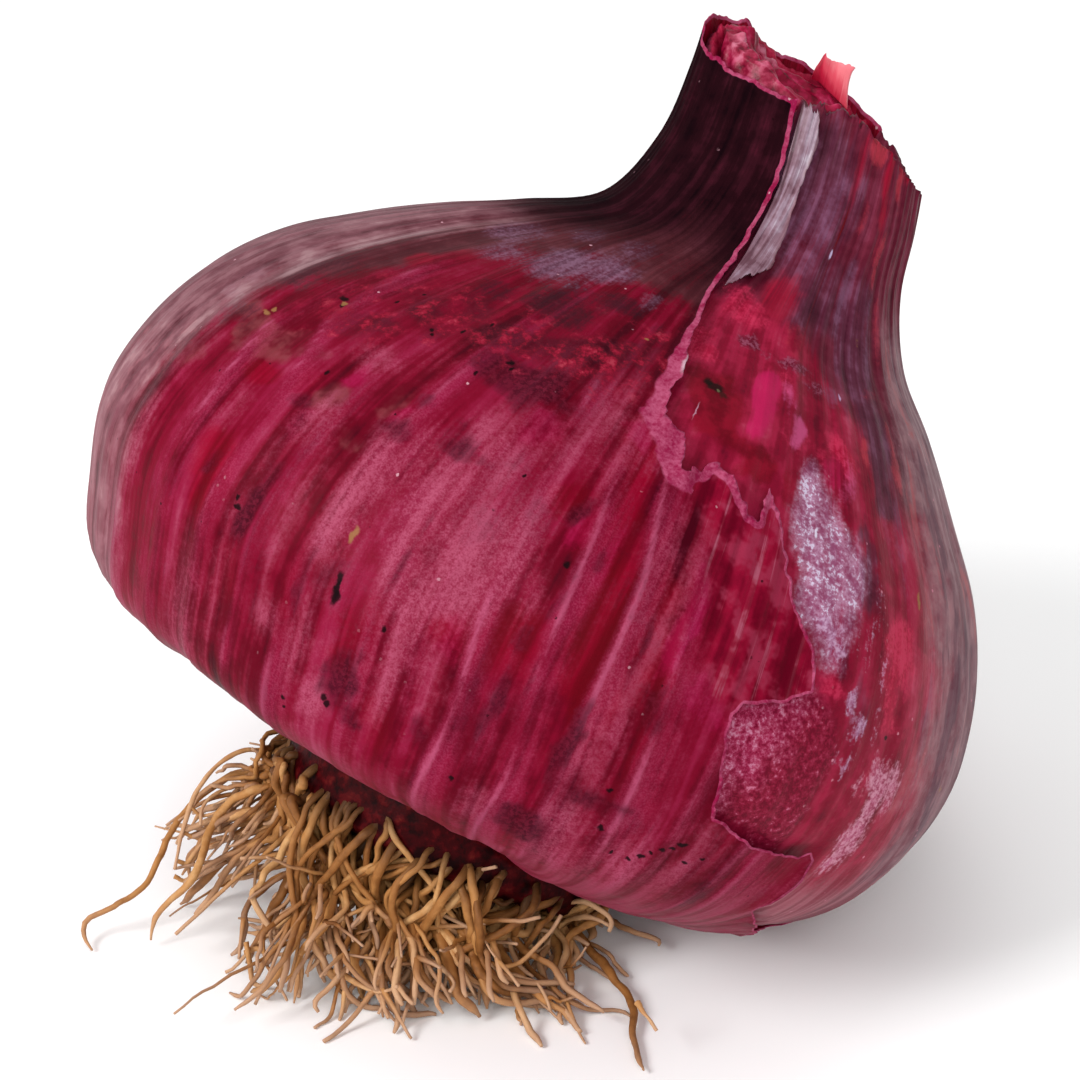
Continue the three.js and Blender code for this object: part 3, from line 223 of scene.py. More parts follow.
# ------------------------------------------------------------------------------ markings
# Soft patches of the two visible skins: (direction, s, half width mm, half height mm, strength).
SKIN_PATCHES = {
    # frost: pale bloom on the skin; the patch at direction 256, s 69 and those round it on the middle front are a
    # painted broad highlight
    "frost_and_highlight": [(256.0, 69.0, 2.6, 7.5, 0.9), (259.0, 62.0, 3.0, 6.2, 1), (265.5, 65.0, 2.2, 6.2, 0.9), (250.0, 67.5, 1.4, 6.0, 0.75), (247.0, 62.8, 1.3, 6.2, 0.75), (246.5, 69.0, 1.8, 3.0, 0.5), (238.5, 67.2, 2.4, 2.6, 0.7), (237.0, 74.5, 2.2, 1.9, 0.9), (242.0, 59.0, 0.9, 6.0, 0.5), (226.0, 64.0, 2.2, 2.6, 0.6), (215.0, 57.0, 1.2, 4.0, 0.9), (229.0, 47.2, 2.6, 7.0, 0.45), (244.0, 51.0, 2.0, 1.6, 0.6), (222.0, 33.2, 9.0, 9.0, 0.7), (260.0, 54.2, 1.2, 6.6, 0.6), (248.5, 50.8, 1.6, 4.0, 0.4), (252.5, 46.8, 1.4, 2.4, 0.6), (235.0, 7.0, 5.1, 9.0, 0.8), (287.0, 43.2, 5.3, 5.0, 0.7), (295.5, 43.8, 4.9, 2.8, 0.5), (269.5, 63.5, 1.4, 5.0, 0.6), (267.5, 81.8, 1.5, 2.2, 0.3), (263.5, 77.2, 1.4, 4.0, 0.45), (211.5, 45.8, 2.2, 6.0, 0.55), (300.5, 47.8, 2.8, 3.1, 0.35), (273.0, 44.5, 3.2, 2.2, 0.6), (250.0, 58.5, 1.2, 4.0, 0.3), (260.0, 72.2, 1.0, 3.0, 0.6)],
    "crimson": [(273.5, 77.0, 2.2, 7.2, 1), (267.5, 73.0, 1.6, 2.2, 0.8), (279.5, 65.8, 4.0, 8.0, 1), (270.0, 58.8, 3.6, 4.6, 0.9), (291.0, 66.8, 2.4, 5.0, 0.5), (229.0, 59.5, 2.6, 4.4, 0.9), (224.5, 67.8, 2.4, 1.2, 1), (246.0, 54.0, 1.0, 5.0, 0.6), (255.0, 53.2, 2.6, 4.0, 0.8), (263.0, 57.5, 2.5, 2.2, 0.9), (260.0, 47.8, 2.0, 4.0, 0.6), (280.5, 57.5, 2.6, 6.0, 0.9), (287.0, 59.8, 2.0, 6.0, 0.8), (236.5, 53.2, 1.6, 4.0, 0.5), (231.5, 69.2, 1.9, 1.6, 0.5), (294.0, 67.5, 2.0, 4.0, 0.6), (289.5, 52.5, 2.4, 4.0, 0.5)],
    "magenta": [(287.0, 67.0, 1.3, 6.2, 1), (272.0, 71.8, 1.6, 2.4, 0.6), (272.5, 81.2, 1.4, 2.0, 0.8), (237.0, 71.2, 1.2, 2.2, 0.7), (265.0, 57.2, 1.2, 3.0, 0.6), (245.5, 71.8, 0.9, 1.2, 0.6), (260.5, 77.2, 1.2, 2.0, 0.6), (276.0, 69.2, 0.8, 4.0, 0.5), (275.0, 61.0, 0.8, 4.0, 0.4), (278.5, 76.5, 0.8, 3.0, 0.4), (292.5, 61.2, 2.0, 3.0, 0.5), (236.0, 66.5, 1.0, 2.2, 0.5), (257.0, 49.5, 1.0, 2.0, 0.4)],
    "dark": [(256.5, 81.0, 3.5, 2.8, 0.9), (250.5, 80.5, 2.3, 2.2, 0.8), (254.5, 71.8, 2.2, 1.6, 0.8), (246.5, 70.5, 1.4, 1.2, 0.7), (236.5, 57.2, 1.2, 3.0, 0.9), (229.5, 59.2, 1.0, 1.8, 0.6), (255.5, 50.0, 1.5, 2.8, 1), (257.0, 47.0, 0.9, 0.9, 0.8), (247.0, 54.5, 0.6, 4.0, 0.6), (270.0, 72.5, 0.8, 1.2, 0.7), (286.0, 49.2, 2.4, 1.2, 0.8), (279.5, 44.5, 2.3, 1.9, 0.9), (280.5, 53.5, 1.0, 4.4, 0.8), (271.0, 52.5, 0.9, 3.4, 0.7), (271.5, 59.5, 1.0, 1.4, 0.6), (287.5, 57.8, 1.6, 2.4, 0.5), (212.0, 61.5, 1.4, 3.4, 0.8), (234.0, 67.8, 1.4, 0.9, 0.7), (246.0, 73.8, 1.3, 0.9, 0.5), (275.0, 69.0, 0.7, 1.4, 0.5), (264.5, 48.0, 1.0, 2.0, 0.7), (291.0, 47.8, 1.4, 0.9, 0.4), (241.5, 51.8, 0.6, 2.6, 0.5), (249.5, 57.0, 1.5, 1.2, 0.4), (225.0, 57.2, 0.8, 3.0, 0.4), (276.0, 88.5, 1.2, 6.0, 0.3), (237.0, 61.5, 0.8, 1.6, 0.4), (273.0, 64.2, 0.4, 6.0, 0.5), (268.5, 53.8, 0.3, 5.0, 0.6), (256.5, 63.2, 0.2, 4.0, 0.5), (274.0, 55.0, 0.3, 5.0, 0.4), (256.5, 57.5, 0.2, 4.0, 0.4), (283.5, 63.2, 0.4, 5.0, 0.5)],
    "brown": [(236.5, 69.0, 1.9, 1.6, 0.9), (242.5, 67.2, 1.9, 1.2, 0.6), (227.0, 71.8, 3.7, 2.2, 0.7), (218.0, 70.2, 4.2, 2.5, 0.7), (212.0, 65.2, 3.9, 1.6, 0.7), (243.0, 72.5, 1.4, 1.8, 0.5)],
    "coral": [(234.0, 81.5, 1.5, 1.6, 1), (237.5, 85.2, 1.8, 1.6, 0.9), (245.5, 84.2, 1.8, 1.9, 0.9), (253.5, 86.8, 2.4, 2.2, 1), (260.5, 89.0, 1.9, 1.9, 1), (266.5, 91.5, 1.4, 2.6, 0.8), (239.0, 81.0, 1.6, 1.6, 0.8), (228.5, 76.5, 2.5, 2.2, 0.5), (237.0, 86.5, 1.4, 1.2, 1), (232.5, 77.8, 1.7, 1.2, 0.6), (263.0, 84.8, 2.1, 1.6, 0.5)],
    "red": [(222.5, 87.0, 2.0, 2.5, 0.9), (225.0, 90.2, 1.2, 1.9, 0.6), (223.5, 81.2, 1.9, 2.2, 0.5), (224.5, 76.2, 2.6, 1.9, 0.5), (251.5, 88.2, 0.6, 0.9, 0.5)],
    # lilac: painted violet sheen, a reflection, on the shoulder and the left edge
    "lilac": [(219.0, 97.0, 2.6, 2.8, 0.8), (236.5, 96.0, 2.0, 2.8, 1), (246.0, 98.2, 1.6, 1.9, 0.9), (244.0, 102.5, 1.4, 1.6, 0.6), (225.5, 93.2, 1.7, 2.2, 0.6), (229.0, 101.5, 1.9, 1.6, 0.6), (259.0, 97.0, 1.0, 1.4, 0.6), (205.5, 74.0, 2.2, 1.2, 0.9), (206.5, 71.5, 2.3, 0.9, 0.8), (205.5, 60.8, 0.5, 4.0, 0.3)],
    "shade": [(246.0, 91.5, 2.9, 3.1, 0.8), (255.0, 94.8, 2.1, 1.9, 0.8), (237.0, 88.8, 1.6, 1.6, 0.7), (265.0, 94.0, 0.8, 1.0, 0.5), (206.0, 78.5, 7.8, 4.4, 0.6), (213.5, 69.8, 4.2, 1.9, 0.6), (210.5, 89.0, 2.9, 3.8, 0.4)],
}
SCALE_PATCHES = {
    "dkred": [(281.5, 89.0, 2.6, 4.0, 1), (275.5, 91.5, 1.8, 2.2, 0.8), (286.5, 96.0, 2.0, 2.2, 0.3), (290.5, 85.0, 1.8, 3.0, 0.9), (298.0, 86.0, 1.6, 3.0, 0.6), (285.5, 86.0, 2.4, 1.9, 0.8)],
    "bright": [(272.0, 96.2, 1.9, 2.5, 0.8), (278.0, 102.0, 2.4, 1.9, 0.7), (275.5, 94.5, 1.3, 1.2, 0.6), (306.5, 89.2, 1.8, 2.2, 0.9), (294.5, 95.2, 1.8, 1.9, 0.5), (320.5, 73.0, 2.2, 3.0, 0.9), (320.5, 68.0, 2.0, 4.0, 0.8), (308.0, 66.2, 1.4, 1.2, 0.8), (297.5, 89.2, 2.2, 1.2, 0.4), (320.5, 56.8, 2.0, 3.0, 0.3)],
    "magenta": [(289.0, 91.8, 0.9, 3.0, 1), (291.5, 92.8, 0.7, 2.6, 0.8), (304.5, 87.5, 1.6, 1.6, 0.5), (281.0, 97.2, 0.9, 1.6, 0.3)],
    "pink": [(297.5, 90.8, 0.8, 1.8, 1), (294.5, 93.0, 0.8, 2.0, 0.6), (308.0, 87.0, 1.4, 2.2, 0.5), (329.0, 92.2, 0.6, 2.0, 0.2)],
    # silver: a painted highlight on the second skin
    "silver_highlight": [(302.8, 82.0, 2.6, 4.8, 0.9), (305.4, 77.8, 3.6, 4.2, 1), (304.4, 74.0, 2.8, 3.4, 1), (309.0, 78.8, 2.2, 3.6, 0.75), (301.2, 86.0, 1.3, 2.6, 0.6), (307.6, 70.4, 2.0, 3.2, 0.8), (310.4, 73.6, 1.6, 2.4, 0.5)],
    "flake": [(307.0, 72.0, 2.2, 1.6, 1), (309.0, 69.8, 1.8, 1.2, 1), (311.5, 65.8, 0.8, 1.4, 0.8), (313.5, 63.8, 1.1, 1.4, 1), (314.5, 60.0, 0.7, 1.8, 0.7), (314.5, 76.0, 1.0, 4.0, 0.5), (313.0, 72.0, 0.8, 3.0, 0.4), (311.5, 71.8, 0.6, 2.0, 0.4), (317.5, 66.8, 0.8, 6.0, 0.4), (313.0, 61.0, 1.9, 0.9, 0.4)],
    "pale": [(322.0, 54.8, 1.5, 5.2, 1), (320.0, 50.8, 1.3, 2.2, 0.9), (325.0, 58.8, 1.2, 2.4, 0.9), (319.5, 59.8, 0.5, 2.6, 0.7), (317.5, 57.5, 0.4, 2.0, 0.5)],
    "purple": [(273.0, 114.5, 4.0, 6.0, 0.9), (296.5, 114.5, 2.0, 5.0, 0.6), (296.5, 106.8, 4.1, 3.8, 0.7), (317.5, 100.2, 3.0, 6.0, 0.9), (319.5, 92.5, 2.6, 6.0, 0.8), (256.5, 117.8, 2.0, 3.0, 0.5), (312.5, 79.8, 1.6, 4.0, 0.8), (320.0, 86.8, 2.0, 4.0, 0.9), (310.0, 73.5, 1.0, 1.6, 0.6), (313.0, 66.0, 1.4, 3.0, 0.5), (330.0, 63.8, 1.6, 6.0, 0.5), (307.5, 104.5, 4.0, 1.9, 0.5)],
    "lilac": [(268.5, 116.0, 1.4, 4.0, 0.7), (290.5, 112.2, 1.0, 5.0, 0.5), (309.5, 106.8, 0.8, 4.0, 0.6), (322.5, 103.5, 0.8, 5.0, 0.5), (281.0, 110.5, 1.0, 4.0, 0.5), (306.5, 95.5, 1.0, 1.2, 0.6), (321.5, 81.0, 0.8, 6.0, 0.4), (318.5, 82.5, 0.6, 5.0, 0.3)],
    "salmon": [(308.0, 120.0, 1.6, 1.2, 1), (327.5, 117.5, 0.8, 2.2, 0.9), (321.0, 110.2, 0.6, 5.0, 0.7), (307.0, 114.2, 0.5, 2.0, 0.5), (328.5, 103.8, 0.6, 4.0, 0.5), (325.5, 91.0, 0.8, 4.0, 0.8), (329.0, 87.5, 0.6, 3.0, 0.6), (315.0, 90.5, 0.6, 1.6, 0.9), (295.5, 101.2, 1.6, 2.0, 0.4), (322.0, 97.2, 1.9, 0.9, 0.5), (334.0, 81.8, 0.6, 6.0, 0.4), (326.5, 73.5, 0.8, 6.0, 0.4)],
    "crimstreak": [(316.5, 118.8, 0.6, 4.0, 0.9), (332.5, 119.5, 0.8, 2.0, 0.9), (297.5, 117.5, 0.5, 4.0, 0.5), (288.0, 104.8, 2.0, 2.6, 0.6), (318.5, 113.0, 0.4, 4.0, 0.4)],
    "scar": [(284.0, 98.5, 1.1, 0.9, 1), (295.5, 97.5, 1.4, 0.9, 1), (288.5, 97.5, 0.9, 0.6, 0.7), (301.0, 95.8, 1.0, 0.9, 0.8)],
    "green": [(324.5, 77.2, 0.3, 0.8, 1), (340.5, 58.0, 0.4, 0.8, 0.8), (318.5, 102.2, 0.3, 0.5, 0.5), (320.5, 76.5, 0.2, 0.5, 0.4)],
}
# where the brown purple film of the shoulder starts
FILM_FROM = [[100, 72], [180, 63], [203, 62.5], [212, 69], [218, 77], [222, 86], [226, 91.5], [234, 95], [249, 97], [262, 97], [280, 95], [330, 86], [360, 80], [410, 76], [460, 72]]


def masks(patches, phi, s, seed):
    """The patches as masks from 0 to 1, with uneven outlines."""
    q = surface(phi, s)
    x, y, z = q[..., 0], q[..., 1], q[..., 2]
    radius = np.maximum(np.hypot(x, y), 8)
    rag = [noise(x / 4.6, y / 4.6, z / 4.6, seed + k) * 1.0 + noise(x / 1.7, y / 1.7, z / 1.7, seed + 5 + k) * 0.6 + noise(x / 0.8, y / 0.8, z / 0.8, seed + 9 + k) * 0.3 for k in range(2)]
    out = {}
    for name, items in patches.items():
        keep = np.ones(np.shape(phi))
        soft = 0.35 if name in ("silver_highlight", "frost_and_highlight", "lilac") else 1.0
        for p0, s0, a, b, k in items:
            du = ((phi - p0 + 180) % 360 - 180) * math.pi / 180 * radius + rag[0] * min(1.3, a * 0.7) * soft
            dv = s - s0 + rag[1] * min(2.2, b * 0.6) * soft
            keep = keep * (1 - k * (1 - smooth(0.45, 1.45, np.hypot(du / a, dv / b))))
        out[name] = 1 - keep
    return out


def skin_marks(phi, s):
    m = masks(SKIN_PATCHES, phi, s, 300)
    q = surface(phi, s)
    x, y, z = q[..., 0], q[..., 1], q[..., 2]
    d = wrap(phi)
    p = np.radians(phi)
    run = lambda k, l, seed: fbm(k * np.cos(p), k * np.sin(p), s / l, 3, seed)
    unseen = 1 - smooth(205, 216, d) * (1 - smooth(318, 335, d))
    body = smooth(34, 44, s) * (1 - smooth(82, 92, s))
    m["frost_and_highlight"] = clamp01(0.10 + 0.28 * body * smooth(-0.2, 0.7, run(9, 30, 332)) + m["frost_and_highlight"] * (0.72 + 0.5 * run(14, 16, 321)) + unseen * body * smooth(0.0, 0.6, run(5, 24, 322)) * 0.8)
    m["dark"] = clamp01(m["dark"] + (0.3 + 0.5 * unseen) * body * smooth(0.15, 0.8, run(7, 14, 323)))
    m["crimson"] = clamp01(m["crimson"] + unseen * body * smooth(0.0, 0.7, run(6, 20, 324)))
    away = smooth(0, 10, s - table(FILM_FROM, d) + 5.0 + 4.5 * fbm(x / 8, y / 8, z / 8, 3, 325, 0.6))
    coral_back = unseen * np.exp(-(((s - table(FILM_FROM, d) + 3) / 5.0) ** 2)) * 0.7
    line = table([[200, 74], [216, 78], [228, 81], [240, 84.5], [250, 86.5], [258, 88], [266, 90], [272, 92]], d)
    band_ = np.exp(-(((s - line + 1.5 * noise(x / 6, y / 6, z / 6, 328)) / np.where(s < line, 6.0, 4.6)) ** 2)) * smooth(216, 230, d) * (1 - smooth(272, 276, d))
    m["coral"] = clamp01(0.6 * m["coral"] + coral_back + 0.72 * band_ * (0.8 + 0.5 * noise(x / 3, y / 3, z / 3, 329)))
    # painted reflection: a broad violet sheen on the shoulder
    sheen = np.exp(-(((d - 240) / 9.0) ** 2)) * np.exp(-(((s - 96.5 - 0.18 * (d - 240)) / 3.6) ** 2))
    m["lilac"] = clamp01(m["lilac"] * 0.85 + 0.75 * sheen)
    # painted grazing reflection: a pale streaky band high on the left shoulder
    m["pallor"] = clamp01(smooth(6, 22, s - table([[100, 74], [180, 66], [203, 66], [212, 72], [222, 84], [234, 200]], d) + 7 * fbm(x / 7, y / 7, z / 7, 3, 330, 0.6)) * (0.5 + 0.6 * noise(x / 4, y / 4, z / 4, 331)) * (1 - smooth(212, 228, d)) * (1 - smooth(96, 101, s)) * smooth(110, 200, d))
    # painted grazing reflection: a pale greyish pink band on the left that fades out slowly round the back
    turned = d + 6.0 * fbm(x / 9, y / 9, z / 9, 3, 340, 0.6)
    grey = smooth(219, 201, turned) * smooth(104, 198, turned) ** 1.4 * (0.55 + 0.45 * smooth(40, 60, s)) * (1 - smooth(98, 104, s)) * 0.9
    grey = grey + 0.35 * smooth(222, 208, d) * smooth(200, 206, d) * (1 - smooth(56, 66, s))
    neck = smooth(-7.5, 5.5, s - table([[100, 100], [200, 100], [215, 101], [230, 103.5], [245, 105.5], [258, 105], [262, 103], [270, 103], [300, 101], [460, 100]], d) + 1.2 * noise(x / 3, y / 3, z / 3, 326))
    low = 1 - smooth(34, 46, s + 3.0 * noise(x / 6, y / 6, z / 6, 327))
    m.update(haze=away, grey=clamp01(grey), neck=neck, low=low)
    return m


def scale_marks(phi, s, exposed):
    m = masks(SCALE_PATCHES, phi, s, 400)
    q = surface(phi, s)
    x, y, z = q[..., 0], q[..., 1], q[..., 2]
    d = wrap(phi)
    wob = noise(x / 5, y / 5, z / 5, 421)
    # painted grazing reflection: a greyish band round the right edge
    m["far"] = smooth(324, 338, d + 4 * wob) * (1 - smooth(98, 108, s)) * (1 - smooth(405, 420, d))
    start = table([[260, 103], [285, 103], [300, 100], [312, 95], [322, 88], [340, 86], [420, 90]], d)
    m["neck"] = smooth(-4, 4, s - start + 2.5 * wob)
    m["low"] = (1 - smooth(43, 52, s + 2 * wob)) * smooth(300, 318, d)
    upper = table([[295, 60], [297, 62.5], [302, 64.5], [306, 66.5], [309, 65.0], [312, 61]], d)
    m["window"] = exposed * smooth(0, 1.2, upper - s) * (1 - smooth(310.5, 312.5, d + 1.2 * wob)) * smooth(46, 48, s)
    return m


def pack3(m, *names):
    return np.stack([m[n] if n else np.zeros(np.shape(m[names[0]])) for n in names], -1)


def steps(parts):
    out = []
    for a, b, d in parts:
        k = max(1, int(round((b - a) / d)))
        out += list(a + (b - a) * np.arange(k) / k)
    return np.array(out)


def ragged_outline(points):
    """The outline in steps of about 0.3 mm, roughened where the skin tore across its veins."""
    out = []
    for (a, s), (b, t) in zip(points, points[1:]):
        mm = math.radians(1) * float(np.linalg.norm(surface(a, (s + t) / 2)[:2]))
        k = max(1, int(math.hypot((b - a) * mm, t - s) / 0.3))
        rough = 0.10 if s > 92 and a < 280 else 0.26 if a < 300 else 0.16 if a < 320 else 0.4
        for i in range(k):
            f = i / k
            p, q = a + (b - a) * f, s + (t - s) * f
            n1 = float(noise(p * 1.1, q * 1.1, 0, 41) + 0.6 * noise(p * 2.7, q * 2.7, 0, 42))
            n2 = float(noise(p * 1.1, q * 1.1, 5, 43) + 0.6 * noise(p * 2.7, q * 2.7, 5, 44))
            out.append((p + rough * n1 / mm, q + rough * n2))
    out.append(points[-1])
    return np.array(out)


OUTLINE = ragged_outline(OPENING)


def in_opening(phi, s):
    d = wrap(phi)
    d, s = np.broadcast_arrays(d, np.asarray(s, float))
    shape = d.shape
    d, s = d.ravel(), s.ravel()
    inside = np.zeros(d.shape, bool)
    idx = np.where((d > 261.5) & (d < 414) & (s > 32.5))[0]
    x0, y0 = OUTLINE[:, 0], OUTLINE[:, 1]
    x1, y1 = np.roll(x0, -1), np.roll(y0, -1)
    for part in np.array_split(idx, max(1, len(idx) // 4000)):
        px, py = d[part][:, None], s[part][:, None]
        hit = (y0 > py) != (y1 > py)
        with np.errstate(divide="ignore", invalid="ignore"):
            xs = x0 + (py - y0) * (x1 - x0) / (y1 - y0)
        inside[part] = (hit & (px < xs)).sum(1) % 2 == 1
    return inside.reshape(shape)


def rim_at(phi):
    d = wrap(phi) % 360
    return table(RIM, d) + 0.30 * noise(d * 0.12, 1, 0, 43) + 0.10 * noise(d * 0.5, 1, 0, 44)


def has_skin(phi, s):
    return (s < rim_at(phi)) & ~in_opening(phi, s)


# ------------------------------------------------------------------------------ mesh helpers
def new_mesh(name, verts, faces, attrs=None, smooth_faces=True):
    """verts in mm, faces triangles or quads as integer arrays."""
    me = bpy.data.meshes.new(name)
    verts = np.asarray(verts, float) / 1000.0
    polys = [np.asarray(f, np.int32) for f in faces if len(f)]
    loops = np.concatenate([p.ravel() for p in polys])
    sizes = np.concatenate([np.full(len(p), p.shape[1]) for p in polys])
    me.vertices.add(len(verts))
    me.vertices.foreach_set("co", verts.astype(np.float32).ravel())
    me.loops.add(len(loops))
    me.loops.foreach_set("vertex_index", loops.astype(np.int32))
    me.polygons.add(len(sizes))
    me.polygons.foreach_set("loop_start", np.concatenate([[0], np.cumsum(sizes)[:-1]]).astype(np.int32))
    me.update(calc_edges=True)
    me.validate()
    if smooth_faces:
        me.polygons.foreach_set("use_smooth", np.ones(len(me.polygons), bool))
    for key, data in (attrs or {}).items():
        data = np.asarray(data, np.float32)
        kind = "FLOAT" if data.ndim == 1 else "FLOAT_VECTOR"
        a = me.attributes.new(key, kind, "POINT")
        a.data.foreach_set("value" if data.ndim == 1 else "vector", data.ravel())
    ob = bpy.data.objects.new(name, me)
    bpy.context.scene.collection.objects.link(ob)
    return ob


def around(phi, s):
    """Seam-free coordinates for the materials: cosine and sine of the direction from 280 degrees, and s."""
    p = np.radians(np.asarray(phi, float) - 280.0)
    return np.stack([np.cos(p), np.sin(p), np.asarray(s, float) / 40.0], -1)


def grid_faces(m, n, closed):
    """Quads of an m by n grid, whose columns wrap round when closed."""
    i, j = np.meshgrid(np.arange(m - 1), np.arange(n if closed else n - 1), indexing="ij")
    k = (j + 1) % n
    return np.stack([i * n + j, i * n + k, (i + 1) * n + k, (i + 1) * n + j], -1).reshape(-1, 4)


def finish_piece(ob, mat, slot, *nodes):
    ob.data.materials.clear()
    ob.data.materials.append(mat)
    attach(ob, "root")
    if nodes:
        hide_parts(*nodes)
    return ob


def press(world, floor):
    """Levels what would reach below the flat the onion rests on."""
    w = world.copy()
    w[..., 2] = np.maximum(w[..., 2], floor)
    return w


# ------------------------------------------------------------------------------ node helper
class Nodes:
    def __init__(self, name):
        self.mat = bpy.data.materials.new(name)
        self.mat.use_nodes = True
        self.t = self.mat.node_tree
        self.t.nodes.clear()
        self.out = self.t.nodes.new("ShaderNodeOutputMaterial")
        self.bsdf = self.t.nodes.new("ShaderNodeBsdfPrincipled")
        self.t.links.new(self.bsdf.outputs[0], self.out.inputs[0])

    def put(self, socket, v):
        if isinstance(v, bpy.types.NodeSocket):
            self.t.links.new(v, socket)
        elif isinstance(v, (tuple, list)) and len(v) == 3 and socket.type == "RGBA":
            socket.default_value = (*v, 1.0)
        else:
            socket.default_value = v

    def m(self, op, a, b=None, c=None, clamp=False):
        n = self.t.nodes.new("ShaderNodeMath")
        n.operation = op
        n.use_clamp = clamp
        for i, v in enumerate((a, b, c)):
            if v is not None:
                self.put(n.inputs[i], v)
        return n.outputs[0]

    def add(self, a, b):
        return self.m("ADD", a, b)

    def mul(self, a, b):
        return self.m("MULTIPLY", a, b)

    def sub(self, a, b):
        return self.m("SUBTRACT", a, b)

    def most(self, *v):
        out = v[0]
        for x in v[1:]:
            out = self.m("MAXIMUM", out, x)
        return out

    def v(self, op, a, b=None, c=None):
        n = self.t.nodes.new("ShaderNodeVectorMath")
        n.operation = op
        for i, x in enumerate((a, b, c)):
            if x is not None:
                self.put(n.inputs[i], x)
        return n.outputs["Value"] if op in ("LENGTH", "DOT_PRODUCT", "DISTANCE") else n.outputs[0]

    def xyz(self, v):
        n = self.t.nodes.new("ShaderNodeSeparateXYZ")
        self.put(n.inputs[0], v)
        return n.outputs[0], n.outputs[1], n.outputs[2]

    def vec(self, x, y, z):
        n = self.t.nodes.new("ShaderNodeCombineXYZ")
        for i, q in enumerate((x, y, z)):
            self.put(n.inputs[i], q)
        return n.outputs[0]

    def attr(self, name, vector=False):
        n = self.t.nodes.new("ShaderNodeAttribute")
        n.attribute_type = "GEOMETRY"
        n.attribute_name = name
        return n.outputs["Vector"] if vector else n.outputs["Fac"]

    def obj(self):
        n = self.t.nodes.new("ShaderNodeTexCoord")
        return n.outputs["Object"]

    def noise(self, vec, scale=1.0, detail=2.0, rough=0.5, dist=0.0, color=False):
        n = self.t.nodes.new("ShaderNodeTexNoise")
        n.noise_dimensions = "3D"
        self.put(n.inputs["Vector"], vec)
        self.put(n.inputs["Scale"], scale)
        self.put(n.inputs["Detail"], detail)
        self.put(n.inputs["Roughness"], rough)
        self.put(n.inputs["Distortion"], dist)
        return n.outputs["Color"] if color else n.outputs["Fac"]

    def voronoi(self, vec, scale=1.0, feature="F1", rand=1.0):
        n = self.t.nodes.new("ShaderNodeTexVoronoi")
        n.feature = feature
        self.put(n.inputs["Vector"], vec)
        self.put(n.inputs["Scale"], scale)
        self.put(n.inputs["Randomness"], rand)
        return n.outputs["Distance"], n.outputs.get("Color")

    def mr(self, x, a, b, lo=0.0, hi=1.0, kind="SMOOTHSTEP"):
        n = self.t.nodes.new("ShaderNodeMapRange")
        n.interpolation_type = kind
        n.clamp = True
        for i, q in enumerate((x, a, b, lo, hi)):
            self.put(n.inputs[i], q)
        return n.outputs[0]

    def mix(self, f, a, b, kind="MIX"):
        n = self.t.nodes.new("ShaderNodeMix")
        n.data_type = "RGBA"
        n.blend_type = kind
        n.clamp_factor = True
        self.put(n.inputs[0], f)
        self.put(n.inputs[6], a)
        self.put(n.inputs[7], b)
        return n.outputs[2]

    def mixf(self, f, a, b):
        n = self.t.nodes.new("ShaderNodeMix")
        n.data_type = "FLOAT"
        n.clamp_factor = True
        self.put(n.inputs[0], f)
        self.put(n.inputs[2], a)
        self.put(n.inputs[3], b)
        return n.outputs[0]

    def ramp(self, f, stops):
        n = self.t.nodes.new("ShaderNodeValToRGB")
        r = n.color_ramp
        r.interpolation = "EASE"
        while len(r.elements) < len(stops):
            r.elements.new(0.5)
        for e, (pos, col) in zip(r.elements, stops):
            e.position = pos
            e.color = (*col, 1.0)
        self.put(n.inputs[0], f)
        return n.outputs[0]

    def bump(self, height, distance_mm, strength=1.0, normal=None):
        n = self.t.nodes.new("ShaderNodeBump")
        n.inputs["Strength"].default_value = strength
        n.inputs["Distance"].default_value = distance_mm / 1000.0
        self.put(n.inputs["Height"], height)
        if normal is not None:
            self.put(n.inputs["Normal"], normal)
        return n.outputs[0]

    def set(self, **kw):
        for k, v in kw.items():
            self.put(self.bsdf.inputs[k.replace("_", " ")], v)


def srgb(r, g, b):
    """Display colour, 0 to 255, as a linear one."""
    return tuple(((c / 255 + 0.055) / 1.055) ** 2.4 if c > 10 else c / 255 / 12.92 for c in (r, g, b))


